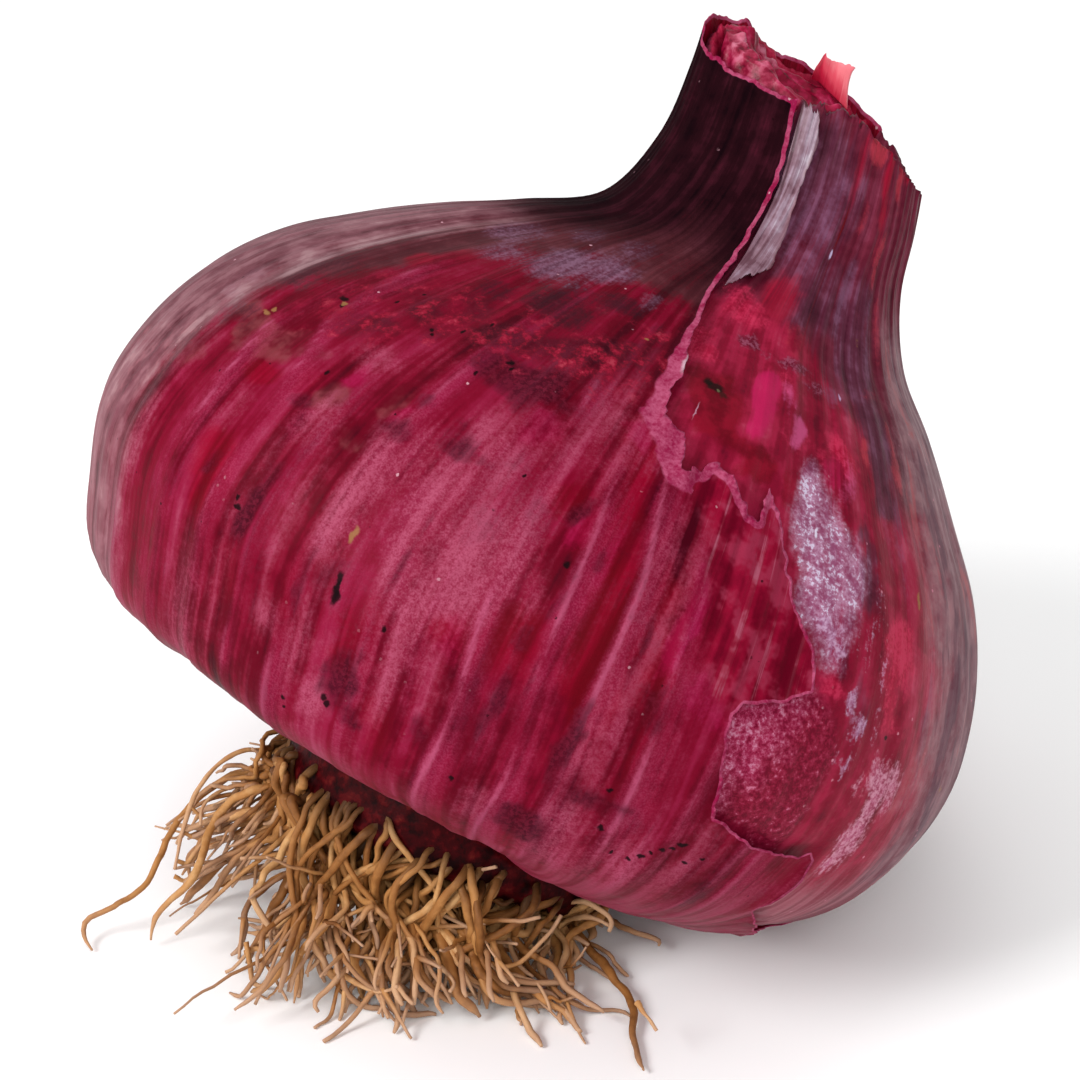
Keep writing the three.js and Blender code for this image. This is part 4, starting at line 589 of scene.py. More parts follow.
class Skin(Nodes):
    """Node helper with the onion's own coordinates: PH degrees from direction 280, S along the skin in mm."""

    def __init__(self, name):
        super().__init__(name)
        q = self.attr("around", True)
        x, y, z = self.xyz(q)
        self.q = q
        self.PH = self.mul(self.m("ARCTAN2", y, x), 57.29578)
        self.S = self.mul(z, 40.0)
        self.X, self.Y = x, y
        self.P = self.v("MULTIPLY", self.obj(), (1000.0, 1000.0, 1000.0))

    def streak(self, per_turn, along_mm, detail=2.0, rough=0.5, offset=0.0, dist=0.0):
        """Noise drawn out along the meridians: about per_turn features round the onion, along_mm long."""
        k = per_turn / 6.2832
        vec = self.vec(self.mul(self.X, k), self.mul(self.Y, k), self.m("MULTIPLY_ADD", self.S, 1.0 / along_mm, offset))
        return self.noise(vec, 1.0, detail, rough, dist)

    def coords(self, wobble_deg=0.0, wobble_mm=0.0, scale_mm=6.0):
        """(PH, S) as a vector, with an uneven edge."""
        base = self.vec(self.PH, self.S, 0.0)
        if wobble_deg == 0 and wobble_mm == 0:
            return base
        c = self.noise(self.P, 1.0 / scale_mm, 3.0, 0.55, 0.0, color=True)
        c = self.v("SUBTRACT", c, (0.5, 0.5, 0.5))
        return self.v("MULTIPLY_ADD", c, (wobble_deg * 2, wobble_mm * 2, 0.0), base)

    def blob(self, co, phi, s, wphi, ws, soft=0.5):
        """A soft ellipse round (phi, s) with half widths wphi and ws: 1 inside, 0 outside."""
        k = (1.0 / wphi, 1.0 / ws, 0.0)
        n = self.v("MULTIPLY_ADD", co, k, (-(phi - 280.0) * k[0], -s * k[1], 0.0))
        return self.mr(self.v("LENGTH", n), 1.0 + soft, max(0.0, 1.0 - soft), 0.0, 1.0)

    def band(self, x, a, b, c, d):
        """Rises from a to b and falls from c to d."""
        return self.mul(self.mr(x, a, b), self.mr(x, c, d, 1.0, 0.0))


# ------------------------------------------------------------------------------ materials
def zone(g, mask, ragged, amount, lo, hi, top):
    """Turns a soft mask into a patch with a ragged, grainy edge."""
    return g.mul(g.mr(g.m("MULTIPLY_ADD", g.sub(ragged, 0.5), amount, mask), lo, hi, 0.0, top), g.mr(mask, 0.0, 0.22))


def skin_material():
    g = Skin("outer_skin_material")
    frost_and_highlight, crimson, dark = g.xyz(g.attr("marks_a", True))
    magenta, brown, coral = g.xyz(g.attr("marks_b", True))
    red, lilac, shade = g.xyz(g.attr("marks_c", True))
    crest, wide, haze = g.xyz(g.attr("marks_d", True))
    neck, low, grey = g.xyz(g.attr("marks_e", True))
    pallor = g.attr("pallor")
    mid = g.streak(46, 42, 2.0, 0.6, 3.0)
    thin = g.streak(170, 24, 2.0, 0.62, 7.0)
    hair = g.streak(560, 8, 1.0, 0.6, 11.0)
    patchy = g.noise(g.P, 1 / 3.0, 3.0, 0.62)
    grain = g.noise(g.P, 1 / 0.42, 2.0, 0.7)
    dust = g.noise(g.P, 1 / 0.17, 1.0, 0.6)
    rough_edge = g.add(g.add(g.mul(patchy, 0.45), g.mul(grain, 0.30)), g.mul(hair, 0.25))
    veined = g.add(g.add(g.mul(thin, 0.36), g.mul(hair, 0.18)), g.add(g.mul(patchy, 0.30), g.mul(grain, 0.16)))
    tone = g.add(g.add(g.mul(mid, 0.42), g.mul(patchy, 0.18)), g.mul(thin, 0.40))
    col = g.ramp(tone, [(0.36, srgb(74, 0, 20)), (0.44, srgb(106, 0, 27)), (0.51, srgb(132, 4, 40)), (0.58, srgb(150, 22, 60)), (0.67, srgb(170, 56, 90))])
    red_tone = g.mix(g.mr(thin, 0.36, 0.62), srgb(112, 0, 18), srgb(156, 0, 40))
    col = g.mix(zone(g, crimson, rough_edge, 1.6, 0.15, 0.95, 0.8), col, red_tone)
    col = g.mix(zone(g, magenta, rough_edge, 1.8, 0.2, 1.0, 0.8), col, g.mix(g.mr(thin, 0.4, 0.6), srgb(160, 4, 58), srgb(184, 20, 84)))
    col = g.mix(zone(g, brown, patchy, 1.6, 0.2, 0.9, 0.75), col, g.mix(g.mr(patchy, 0.4, 0.6), srgb(104, 34, 44), srgb(140, 66, 72)))
    # patches and streaks where the pale bloom is still on the skin; the broad pale patch on the middle front is a
    # painted highlight
    bloom_and_highlight = g.mix(g.mr(g.add(g.mul(thin, 0.4), g.add(g.mul(dust, 0.3), g.mul(grain, 0.3))), 0.38, 0.62), srgb(150, 36, 70), srgb(192, 90, 120))
    # pale flanks of the ridges: the skin's own paler band, partly painted light on their lit side
    col = g.mix(zone(g, wide, veined, 2.2, 0.1, 1.0, 0.6), col, g.mix(g.mr(dust, 0.4, 0.65), srgb(156, 30, 70), srgb(178, 58, 96)))
    col = g.mix(zone(g, frost_and_highlight, veined, 2.6, 0.05, 1.15, 0.80), col, bloom_and_highlight)
    col = g.mix(zone(g, crest, rough_edge, 1.7, 0.2, 1.0, 0.62), col, srgb(200, 94, 130))
    # darker clouds
    col = g.mix(zone(g, dark, rough_edge, 2.0, 0.15, 1.0, 0.86), col, g.mix(g.mr(grain, 0.4, 0.62), srgb(58, 4, 22), srgb(100, 18, 40)))
    col = g.mix(zone(g, low, rough_edge, 2.2, 0.15, 1.0, 0.75), col, g.mix(g.mr(thin, 0.38, 0.62), srgb(132, 30, 54), srgb(166, 66, 92)))
    # shoulder: brown purple film with redder gaps; the pale band on the far left is a painted grazing reflection
    shade_tone = g.ramp(g.add(g.mul(mid, 0.35), g.add(g.mul(thin, 0.3), g.mul(patchy, 0.35))), [(0.34, srgb(62, 20, 28)), (0.46, srgb(84, 36, 44)), (0.54, srgb(102, 50, 58)), (0.62, srgb(126, 72, 80)), (0.70, srgb(150, 96, 104))])
    col = g.mix(zone(g, haze, rough_edge, 2.6, 0.05, 1.0, 0.92), col, shade_tone)
    col = g.mix(zone(g, pallor, g.add(g.mul(mid, 0.5), g.add(g.mul(thin, 0.25), g.mul(patchy, 0.25))), 4.2, 0.1, 1.2, 0.8), col, g.ramp(g.add(g.mul(thin, 0.5), g.mul(mid, 0.5)), [(0.38, srgb(104, 62, 70)), (0.47, srgb(142, 96, 104)), (0.55, srgb(172, 132, 138)), (0.64, srgb(200, 166, 170))]))
    mottle = g.noise(g.P, 1 / 1.5, 4.0, 0.72)
    fleck = g.ramp(mottle, [(0.38, srgb(54, 10, 24)), (0.47, srgb(84, 20, 36)), (0.53, srgb(120, 20, 40)), (0.60, srgb(160, 26, 54)), (0.70, srgb(186, 60, 80))])
    col = g.mix(zone(g, coral, mottle, 2.2, 0.05, 1.1, 0.88), col, fleck)
    col = g.mix(zone(g, red, rough_edge, 2.0, 0.25, 1.0, 0.85), col, g.mix(g.mr(thin, 0.4, 0.6), srgb(120, 4, 30), srgb(160, 26, 54)))
    col = g.mix(zone(g, shade, rough_edge, 2.2, 0.2, 1.0, 0.8), col, srgb(52, 20, 32))
    # lilac: painted violet sheen on the shoulder and the left edge
    col = g.mix(zone(g, lilac, rough_edge, 2.4, 0.05, 1.15, 0.80), col, g.mix(g.mr(g.add(g.mul(thin, 0.5), g.mul(grain, 0.5)), 0.38, 0.62), srgb(104, 62, 84), srgb(150, 108, 136)))
    # painted grazing reflection: the pale greyish pink band down the left side
    gtone = g.ramp(g.add(g.mul(mid, 0.4), g.add(g.mul(thin, 0.2), g.mul(patchy, 0.4))), [(0.38, srgb(112, 48, 62)), (0.46, srgb(138, 80, 92)), (0.54, srgb(164, 110, 120)), (0.63, srgb(188, 144, 150))])
    col = g.mix(zone(g, grey, veined, 2.4, 0.05, 1.05, 0.85), col, gtone)
    # neck: nearly black purple with dull red lines
    ntone = g.add(g.mul(thin, 0.22), g.add(g.mul(mid, 0.38), g.mul(patchy, 0.40)))
    ncol = g.ramp(ntone, [(0.38, srgb(18, 1, 7)), (0.50, srgb(36, 6, 15)), (0.58, srgb(54, 14, 26)), (0.68, srgb(84, 24, 42))])
    col = g.mix(zone(g, neck, rough_edge, 0.7, 0.0, 1.0, 1.0), col, ncol)
    # thin fibrous film beside the opening
    film = g.attr("film")
    fib = g.mul(g.mr(g.streak(430, 26, 3.0, 0.66, 41.0), 0.55, 0.68), g.mr(patchy, 0.42, 0.60, 0.1, 1.0))
    fcol = g.mix(g.mr(g.add(g.mul(thin, 0.6), g.mul(patchy, 0.4)), 0.38, 0.60), srgb(104, 0, 28), srgb(158, 10, 50))
    fcol = g.mix(g.mul(g.mr(patchy, 0.48, 0.62), 0.5), fcol, srgb(172, 62, 92))
    fcol = g.mix(g.mul(fib, 0.6), fcol, srgb(196, 112, 136))
    col = g.mix(g.mul(film, 0.92), col, fcol)
    # torn margin: thin, paler
    mg = g.mr(g.add(g.attr("margin"), g.mul(g.sub(patchy, 0.5), 0.7)), 1.1, 0.9)
    mcol = g.mix(g.mr(g.add(g.mul(patchy, 0.6), g.mul(grain, 0.4)), 0.36, 0.64), srgb(160, 24, 74), srgb(206, 96, 134))
    col = g.mix(g.mul(mg, 0.92), col, mcol)
    tight = g.coords(0.55, 0.5, 0.9)
    glint = g.blob(tight, 272.8, 91.6, 0.7, 1.3, 0.4)
    col = g.mix(g.mul(g.mul(glint, mg), 0.85), col, srgb(226, 190, 204))
    # soil specks and small scars: (direction, s, half width in degrees, half height in mm)
    for p, s, w, h in SPECKS:
        col = g.mix(g.mul(g.blob(tight, p, s, w, h, 0.4), 0.94), col, srgb(20, 4, 9))
    for p, s, w, h in [(218, 72.2, 0.7, 0.22), (218.6, 72.8, 0.4, 0.2), (225.3, 77.4, 0.6, 0.22), (264, 92.2, 0.5, 0.2), (250.0, 60.8, 0.35, 0.7)]:
        col = g.mix(g.mul(g.blob(tight, p, s, w, h, 0.4), 0.75), col, srgb(168, 122, 76))
    d, _ = g.voronoi(g.P, 1 / 2.3)
    d2 = g.add(d, g.mul(g.sub(dust, 0.5), 0.07))
    col = g.mix(g.mul(g.mr(d2, 0.070, 0.045), g.mr(patchy, 0.50, 0.60, 0.0, 0.85)), col, srgb(34, 6, 14))
    col = g.mix(g.mul(g.mr(d2, 0.078, 0.048), g.mul(g.mr(patchy, 0.49, 0.42), g.mr(g.S, 56.0, 66.0, 0.15, 0.95))), col, srgb(222, 164, 178))
    col = g.mix(1.0, col, (0.60, 0.60, 0.60), "MULTIPLY")
    g.set(Base_Color=col, Roughness=g.mixf(film, g.mixf(neck, g.mr(patchy, 0.4, 0.6, 0.42, 0.52, "LINEAR"), 0.85), 0.34))
    g.bsdf.inputs["Specular IOR Level"].default_value = 0.03
    height = g.add(g.add(g.mul(thin, 0.5), g.mul(hair, 0.2)), g.mul(grain, 0.16))
    g.set(Normal=g.bump(height, 0.26, 0.5))
    return g.mat


SPECKS = [(251, 57.0, 0.42, 0.75), (251.3, 55.6, 0.5, 0.7), (251.2, 56.3, 0.3, 0.9), (272, 67.2, 0.38, 0.38), (235.6, 57.6, 0.42, 0.28), (235.0, 58.4, 0.25, 0.2), (253.2, 47.4, 0.5, 0.32), (253.9, 47.0, 0.4, 0.3), (248.2, 45.4, 0.35, 0.22), (248.4, 44.6, 0.3, 0.18), (257.6, 55.2, 0.3, 0.3), (270, 46.0, 0.35, 0.2), (298, 47.8, 0.7, 0.18), (297.2, 47.2, 0.4, 0.16), (296.0, 46.9, 0.4, 0.16), (294.9, 46.2, 0.4, 0.16), (294.2, 45.6, 0.45, 0.15), (293.0, 44.8, 0.3, 0.13), (300, 46.0, 0.45, 0.2), (301.6, 47.0, 0.35, 0.15), (288, 46.9, 0.35, 0.25), (286.6, 50.6, 0.35, 0.2), (290.8, 44.9, 0.3, 0.15), (238, 80.5, 0.4, 0.28), (238.8, 80.2, 0.3, 0.25), (241.5, 82.3, 0.3, 0.25), (250.5, 82.0, 0.45, 0.35), (251.4, 81.5, 0.3, 0.3), (224.3, 77.8, 0.8, 0.25), (225.4, 77.2, 0.5, 0.3), (230.5, 83.5, 0.3, 0.2), (229.5, 81.0, 0.25, 0.2), (243.4, 84.5, 0.25, 0.2), (248.4, 79.0, 0.25, 0.25), (233.8, 71.2, 0.3, 0.3), (262.4, 72.6, 0.2, 0.2)]


def bulb_material():
    g = Skin("second_skin_material")
    dkred, bright, magenta = g.xyz(g.attr("marks_a", True))
    pink, silver_highlight, flake = g.xyz(g.attr("marks_b", True))
    pale, purple, lilac = g.xyz(g.attr("marks_c", True))
    salmon, crim, scar = g.xyz(g.attr("marks_d", True))
    green, far, window = g.xyz(g.attr("marks_e", True))
    neck, low, _ = g.xyz(g.attr("marks_f", True))
    mid = g.streak(44, 36, 2.0, 0.6, 13.0)
    thin = g.streak(150, 26, 2.0, 0.62, 17.0)
    hair = g.streak(520, 12, 1.0, 0.6, 1.0)
    patchy = g.noise(g.P, 1 / 2.6, 3.0, 0.62)
    grain = g.noise(g.P, 1 / 0.42, 2.0, 0.7)
    dust = g.noise(g.P, 1 / 0.17, 1.0, 0.6)
    rough_edge = g.add(g.add(g.mul(patchy, 0.45), g.mul(grain, 0.35)), g.mul(hair, 0.20))
    long_edge = g.add(g.mul(thin, 0.6), g.mul(hair, 0.4))
    mottle = g.streak(70, 14, 3.0, 0.68, 27.0)
    tone = g.add(g.add(g.mul(mid, 0.4), g.mul(thin, 0.3)), g.mul(patchy, 0.3))
    col = g.ramp(tone, [(0.36, srgb(92, 2, 28)), (0.46, srgb(126, 8, 40)), (0.54, srgb(152, 24, 58)), (0.64, srgb(176, 62, 90))])
    ncol = g.ramp(g.add(g.mul(thin, 0.30), g.add(g.mul(mid, 0.34), g.mul(patchy, 0.36))), [(0.36, srgb(60, 6, 24)), (0.45, srgb(82, 16, 36)), (0.53, srgb(98, 28, 48)), (0.60, srgb(112, 40, 62)), (0.70, srgb(132, 68, 88))])
    col = g.mix(zone(g, neck, long_edge, 1.6, 0.2, 0.9, 0.92), col, ncol)
    col = g.mix(zone(g, purple, long_edge, 1.8, 0.2, 0.95, 0.85), col, g.ramp(g.add(g.mul(thin, 0.5), g.mul(patchy, 0.5)), [(0.38, srgb(58, 14, 34)), (0.5, srgb(82, 34, 54)), (0.62, srgb(110, 64, 88))]))
    # right edge: painted grazing reflection, a greyish band, with salmon and dark mottled streaks in it
    ftone = g.ramp(g.add(g.mul(thin, 0.25), g.add(g.mul(mid, 0.35), g.mul(patchy, 0.4))), [(0.36, srgb(92, 34, 50)), (0.45, srgb(112, 66, 78)), (0.53, srgb(132, 96, 104)), (0.60, srgb(150, 112, 118)), (0.68, srgb(166, 92, 94))])
    col = g.mix(zone(g, far, rough_edge, 1.6, 0.05, 1.1, 0.88), col, ftone)
    col = g.mix(g.mul(g.mul(far, g.mr(mottle, 0.56, 0.64)), 0.6), col, srgb(176, 86, 90))
    col = g.mix(g.mul(g.mul(far, g.mr(mottle, 0.46, 0.38)), 0.6), col, srgb(74, 40, 58))
    col = g.mix(zone(g, dkred, rough_edge, 1.4, 0.2, 0.9, 0.92), col, g.mix(g.mr(patchy, 0.4, 0.6), srgb(100, 0, 20), srgb(128, 6, 32)))
    col = g.mix(zone(g, bright, rough_edge, 2.0, 0.2, 1.0, 0.85), col, g.mix(g.mr(rough_edge, 0.42, 0.58), srgb(164, 8, 50), srgb(192, 44, 80)))
    col = g.mix(zone(g, magenta, long_edge, 1.6, 0.25, 1.0, 0.75), col, srgb(186, 24, 84))
    col = g.mix(zone(g, pink, rough_edge, 1.8, 0.25, 1.0, 0.8), col, srgb(196, 76, 126))
    col = g.mix(zone(g, crim, long_edge, 1.6, 0.1, 0.9, 0.85), col, srgb(150, 8, 42))
    col = g.mix(zone(g, salmon, rough_edge, 2.0, 0.2, 1.1, 0.75), col, srgb(176, 50, 66))
    col = g.mix(zone(g, lilac, rough_edge, 2.0, 0.15, 1.1, 0.62), col, srgb(124, 82, 112))
    col = g.mix(zone(g, low, rough_edge, 1.6, 0.2, 1.0, 0.8), col, g.mix(g.mr(thin, 0.4, 0.6), srgb(120, 44, 60), srgb(156, 92, 104)))
    # painted silvery highlight: a lilac veil with bright broken specks in it
    sheen = g.mix(g.mr(g.add(g.mul(patchy, 0.5), g.mul(grain, 0.5)), 0.38, 0.62), srgb(150, 84, 122), srgb(192, 150, 180))
    col = g.mix(zone(g, silver_highlight, g.add(g.mul(mottle, 0.45), g.mul(rough_edge, 0.55)), 3.0, 0.05, 1.2, 0.85), col, sheen)
    highlight_specks = g.mul(g.mr(g.add(g.mul(mottle, 0.35), g.mul(grain, 0.65)), 0.53, 0.59), zone(g, silver_highlight, patchy, 3.0, 0.6, 1.15, 1.0))
    col = g.mix(g.mul(highlight_specks, 0.85), col, srgb(214, 202, 226))
    col = g.mix(zone(g, flake, rough_edge, 4.0, 0.35, 1.1, 0.85), col, g.mix(g.mr(grain, 0.38, 0.64), srgb(156, 104, 140), srgb(190, 148, 178)))
    col = g.mix(zone(g, pale, rough_edge, 3.4, 0.25, 1.05, 0.88), col, g.mix(g.mr(grain, 0.36, 0.64), srgb(178, 92, 124), srgb(204, 140, 162)))
    # mottled patch under the film
    wn = g.noise(g.P, 1 / 0.62, 3.0, 0.74)
    wl = g.mr(g.m("MULTIPLY_ADD", g.sub(patchy, 0.5), 12.0, g.m("MULTIPLY_ADD", g.PH, 1.0, g.mul(g.sub(g.S, 56.0), -0.55))), 17.5, 24.5)
    wa = g.ramp(wn, [(0.36, srgb(116, 8, 44)), (0.46, srgb(146, 30, 68)), (0.54, srgb(168, 66, 100)), (0.66, srgb(198, 124, 152))])
    wb = g.ramp(wn, [(0.40, srgb(100, 4, 32)), (0.52, srgb(124, 14, 44)), (0.62, srgb(144, 34, 64)), (0.72, srgb(184, 96, 124))])
    col = g.mix(g.mul(window, 0.95), col, g.mix(wl, wa, wb))
    col = g.mix(zone(g, scar, rough_edge, 3.0, 0.2, 1.1, 0.7), col, g.mix(g.mr(grain, 0.45, 0.6), srgb(74, 12, 34), srgb(134, 74, 98)))
    col = g.mix(zone(g, green, grain, 1.0, 0.3, 0.9, 0.85), col, srgb(150, 108, 62))
    tight = g.coords(0.5, 0.45, 0.8)
    # small spots: the near-black ones at direction 278 to 281, s 91 are painted shade in a small hole; the pale ones at
    # 297.2/109.4 and 302.4/80.6 are painted glints
    for p, s, w, h, c in [(279.6, 91.0, 1.7, 0.50, (24, 8, 8)), (278.0, 91.3, 0.9, 0.4, (18, 10, 6)), (281.4, 90.6, 0.8, 0.3, (60, 16, 16)), (280.3, 90.8, 0.35, 0.2, (96, 96, 66)), (278.0, 87.6, 0.12, 0.9, (170, 120, 140)), (297.6, 112.0, 0.5, 2.0, (104, 0, 16)), (297.2, 109.4, 0.6, 0.45, (198, 180, 216)), (320.0, 63.2, 0.3, 0.2, (24, 6, 12)), (302.4, 80.6, 0.25, 0.5, (216, 206, 226)), (309.5, 96.0, 0.35, 0.3, (186, 150, 186))]:
        col = g.mix(g.mul(g.blob(tight, p, s, w, h, 0.4), 0.92), col, srgb(*c))
    d, _ = g.voronoi(g.P, 1 / 1.9)
    d2 = g.add(d, g.mul(g.sub(dust, 0.5), 0.08))
    speck = g.mul(g.mr(d2, 0.095, 0.060), g.mul(g.mr(g.PH, 20.0, 30.0, 0.0, 0.8), g.mr(g.S, 98.0, 90.0)))
    col = g.mix(g.mul(speck, g.mr(patchy, 0.44, 0.56)), col, srgb(204, 130, 150))
    col = g.mix(1.0, col, (0.80, 0.80, 0.80), "MULTIPLY")
    g.set(Base_Color=col, Roughness=g.mixf(g.m("MINIMUM", silver_highlight, 1.0), 0.42, 0.30))
    g.bsdf.inputs["Specular IOR Level"].default_value = 0.06
    height = g.add(g.add(g.mul(thin, 0.5), g.mul(hair, 0.2)), g.mul(grain, 0.2))
    g.set(Normal=g.bump(height, 0.28, 0.5))
    return g.mat


def strip_material():
    g = Skin("pale_skin_material")
    s = g.streak(230, 16, 3.0, 0.65, 5.0)
    b = g.noise(g.P, 1 / 2.2, 3.0, 0.6)
    t, u, w = g.xyz(g.attr("uvw", True))
    k = g.add(g.add(g.mul(s, 0.5), g.mul(b, 0.5)), g.m("MULTIPLY_ADD", t, 0.10, -0.05))
    col = g.ramp(k, [(0.36, srgb(92, 52, 66)), (0.46, srgb(126, 92, 106)), (0.54, srgb(148, 122, 138)), (0.64, srgb(178, 164, 176))])
    left = g.mr(u, 0.30, 0.0)
    col = g.mix(g.mul(left, g.mr(t, 0.1, 0.35, 0.0, 0.7)), col, srgb(96, 54, 68))
    slit = g.mul(g.mr(g.m("ABSOLUTE", g.sub(u, g.m("MULTIPLY_ADD", t, -0.30, 0.34))), 0.09, 0.02), g.band(t, 0.10, 0.2, 0.62, 0.42))
    col = g.mix(g.mul(slit, 0.9), col, srgb(62, 14, 32))
    col = g.mix(g.mul(g.mr(u, 0.8, 1.0), g.mr(b, 0.4, 0.6, 0.2, 0.7)), col, srgb(120, 60, 70))
    col = g.mix(1.0, col, (0.80, 0.80, 0.80), "MULTIPLY")
    g.set(Base_Color=col, Roughness=0.38, Normal=g.bump(g.add(s, g.mul(b, 0.6)), 0.25, 0.6))
    g.bsdf.inputs["Specular IOR Level"].default_value = 0.30
    return g.mat


def core_material():
    g = Skin("neck_tissue_material")
    n = g.noise(g.P, 1 / 1.3, 3.0, 0.6)
    b = g.noise(g.P, 1 / 3.4, 2.0, 0.6)
    lv = g.attr("level")
    pale = g.mul(g.attr("pale"), g.mr(g.add(g.mul(b, 0.6), g.mul(n, 0.4)), 0.42, 0.58, 0.1, 1.0))
    col = g.ramp(n, [(0.34, srgb(92, 0, 26)), (0.48, srgb(134, 2, 44)), (0.58, srgb(160, 16, 62)), (0.70, srgb(186, 52, 92))])
    col = g.mix(g.mul(pale, 0.65), col, g.mix(g.mr(n, 0.4, 0.65), srgb(172, 60, 96), srgb(214, 150, 170)))
    col = g.mix(1.0, col, (0.80, 0.80, 0.80), "MULTIPLY")
    g.set(Base_Color=col, Roughness=0.34, Normal=g.bump(n, 0.2, 0.5))
    g.bsdf.inputs["Specular IOR Level"].default_value = 0.14
    return g.mat


def sheath_material():
    g = Skin("neck_sheath_material")
    n = g.streak(160, 30, 3.0, 0.6, 5.0)
    t, u, w = g.xyz(g.attr("uvw", True))
    k = g.add(g.mul(n, 0.35), g.m("MULTIPLY_ADD", t, 0.30, g.mul(u, 0.30)))
    col = g.ramp(k, [(0.24, srgb(150, 0, 36)), (0.36, srgb(186, 20, 56)), (0.48, srgb(214, 70, 90)), (0.62, srgb(228, 116, 126))])
    col = g.mix(1.0, col, (0.92, 0.92, 0.92), "MULTIPLY")
    g.set(Base_Color=col, Roughness=0.42, Normal=g.bump(n, 0.25, 0.5))
    g.bsdf.inputs["Specular IOR Level"].default_value = 0.25
    return g.mat


def basal_material():
    g = Nodes("basal_plate_material")
    p = g.v("MULTIPLY", g.obj(), (1000.0, 1000.0, 1000.0))
    n = g.noise(p, 1 / 1.4, 3.0, 0.65)
    col = g.ramp(n, [(0.35, srgb(22, 9, 5)), (0.5, srgb(58, 30, 15)), (0.65, srgb(104, 66, 36))])
    g.set(Base_Color=col, Roughness=0.85, Normal=g.bump(n, 0.6, 0.8))
    g.bsdf.inputs["Specular IOR Level"].default_value = 0.1
    return g.mat


def collar_material():
    g = Nodes("old_skin_material")
    p = g.v("MULTIPLY", g.obj(), (1000.0, 1000.0, 1000.0))
    n = g.noise(p, 1 / 1.5, 3.0, 0.6)
    col = g.ramp(n, [(0.35, srgb(22, 0, 1)), (0.5, srgb(46, 0, 3)), (0.62, srgb(68, 4, 8)), (0.72, srgb(84, 20, 16))])
    g.set(Base_Color=col, Roughness=0.5, Normal=g.bump(n, 0.3, 0.5))
    g.bsdf.inputs["Specular IOR Level"].default_value = 0.05
    return g.mat


def root_material():
    g = Nodes("root_material")
    p = g.v("MULTIPLY", g.obj(), (1000.0, 1000.0, 1000.0))
    n = g.noise(p, 1 / 1.1, 2.0, 0.6)
    big = g.noise(p, 1 / 7.0, 1.0, 0.5)
    along = g.attr("along")
    tone = g.attr("tone")
    base = g.ramp(g.add(g.add(g.mul(n, 0.35), g.mul(tone, 0.40)), g.mul(big, 0.25)), [(0.22, srgb(104, 60, 24)), (0.42, srgb(148, 96, 48)), (0.58, srgb(176, 122, 68)), (0.8, srgb(204, 158, 106))])
    col = g.mix(g.mr(along, 0.28, 0.0, 0.0, 0.9), base, srgb(34, 15, 6))
    col = g.mix(g.mr(along, 0.55, 1.0, 0.0, 0.75), col, srgb(192, 154, 126))
    col = g.mix(1.0, col, (0.88, 0.88, 0.88), "MULTIPLY")
    g.set(Base_Color=col, Roughness=0.6, Normal=g.bump(n, 0.2, 0.5))
    g.bsdf.inputs["Specular IOR Level"].default_value = 0.2
    return g.mat


# ------------------------------------------------------------------------------ outer skin
COLS = steps([(SEAM, 190, 1.7), (190, 258, 0.78), (258, 312, 0.42), (312, 345, 0.75), (345, 460, 1.7)])
ROWS = np.append(steps([(SKIN_START, 58, 0.95), (58, 96, 0.5), (96, 126.4, 0.62)]), 126.4)


def margin_width(phi, s):
    """Width of the pale torn margin at a place on the opening's edge, in mm."""
    neck = table([[40, 0.22], [60, 0.3], [76, 0.5], [80, 1.6], [82, 2.9], [84, 2.7], [86, 1.5], [89, 1.3], [91, 1.6], [93, 0.8], [98, 0.45], [127, 0.4]], s)
    return np.where(phi > 280.5, table([[280, 0.9], [286, 0.8], [293, 0.6], [296, 0.3], [320, 0.16], [345, 0.1]], phi), neck)


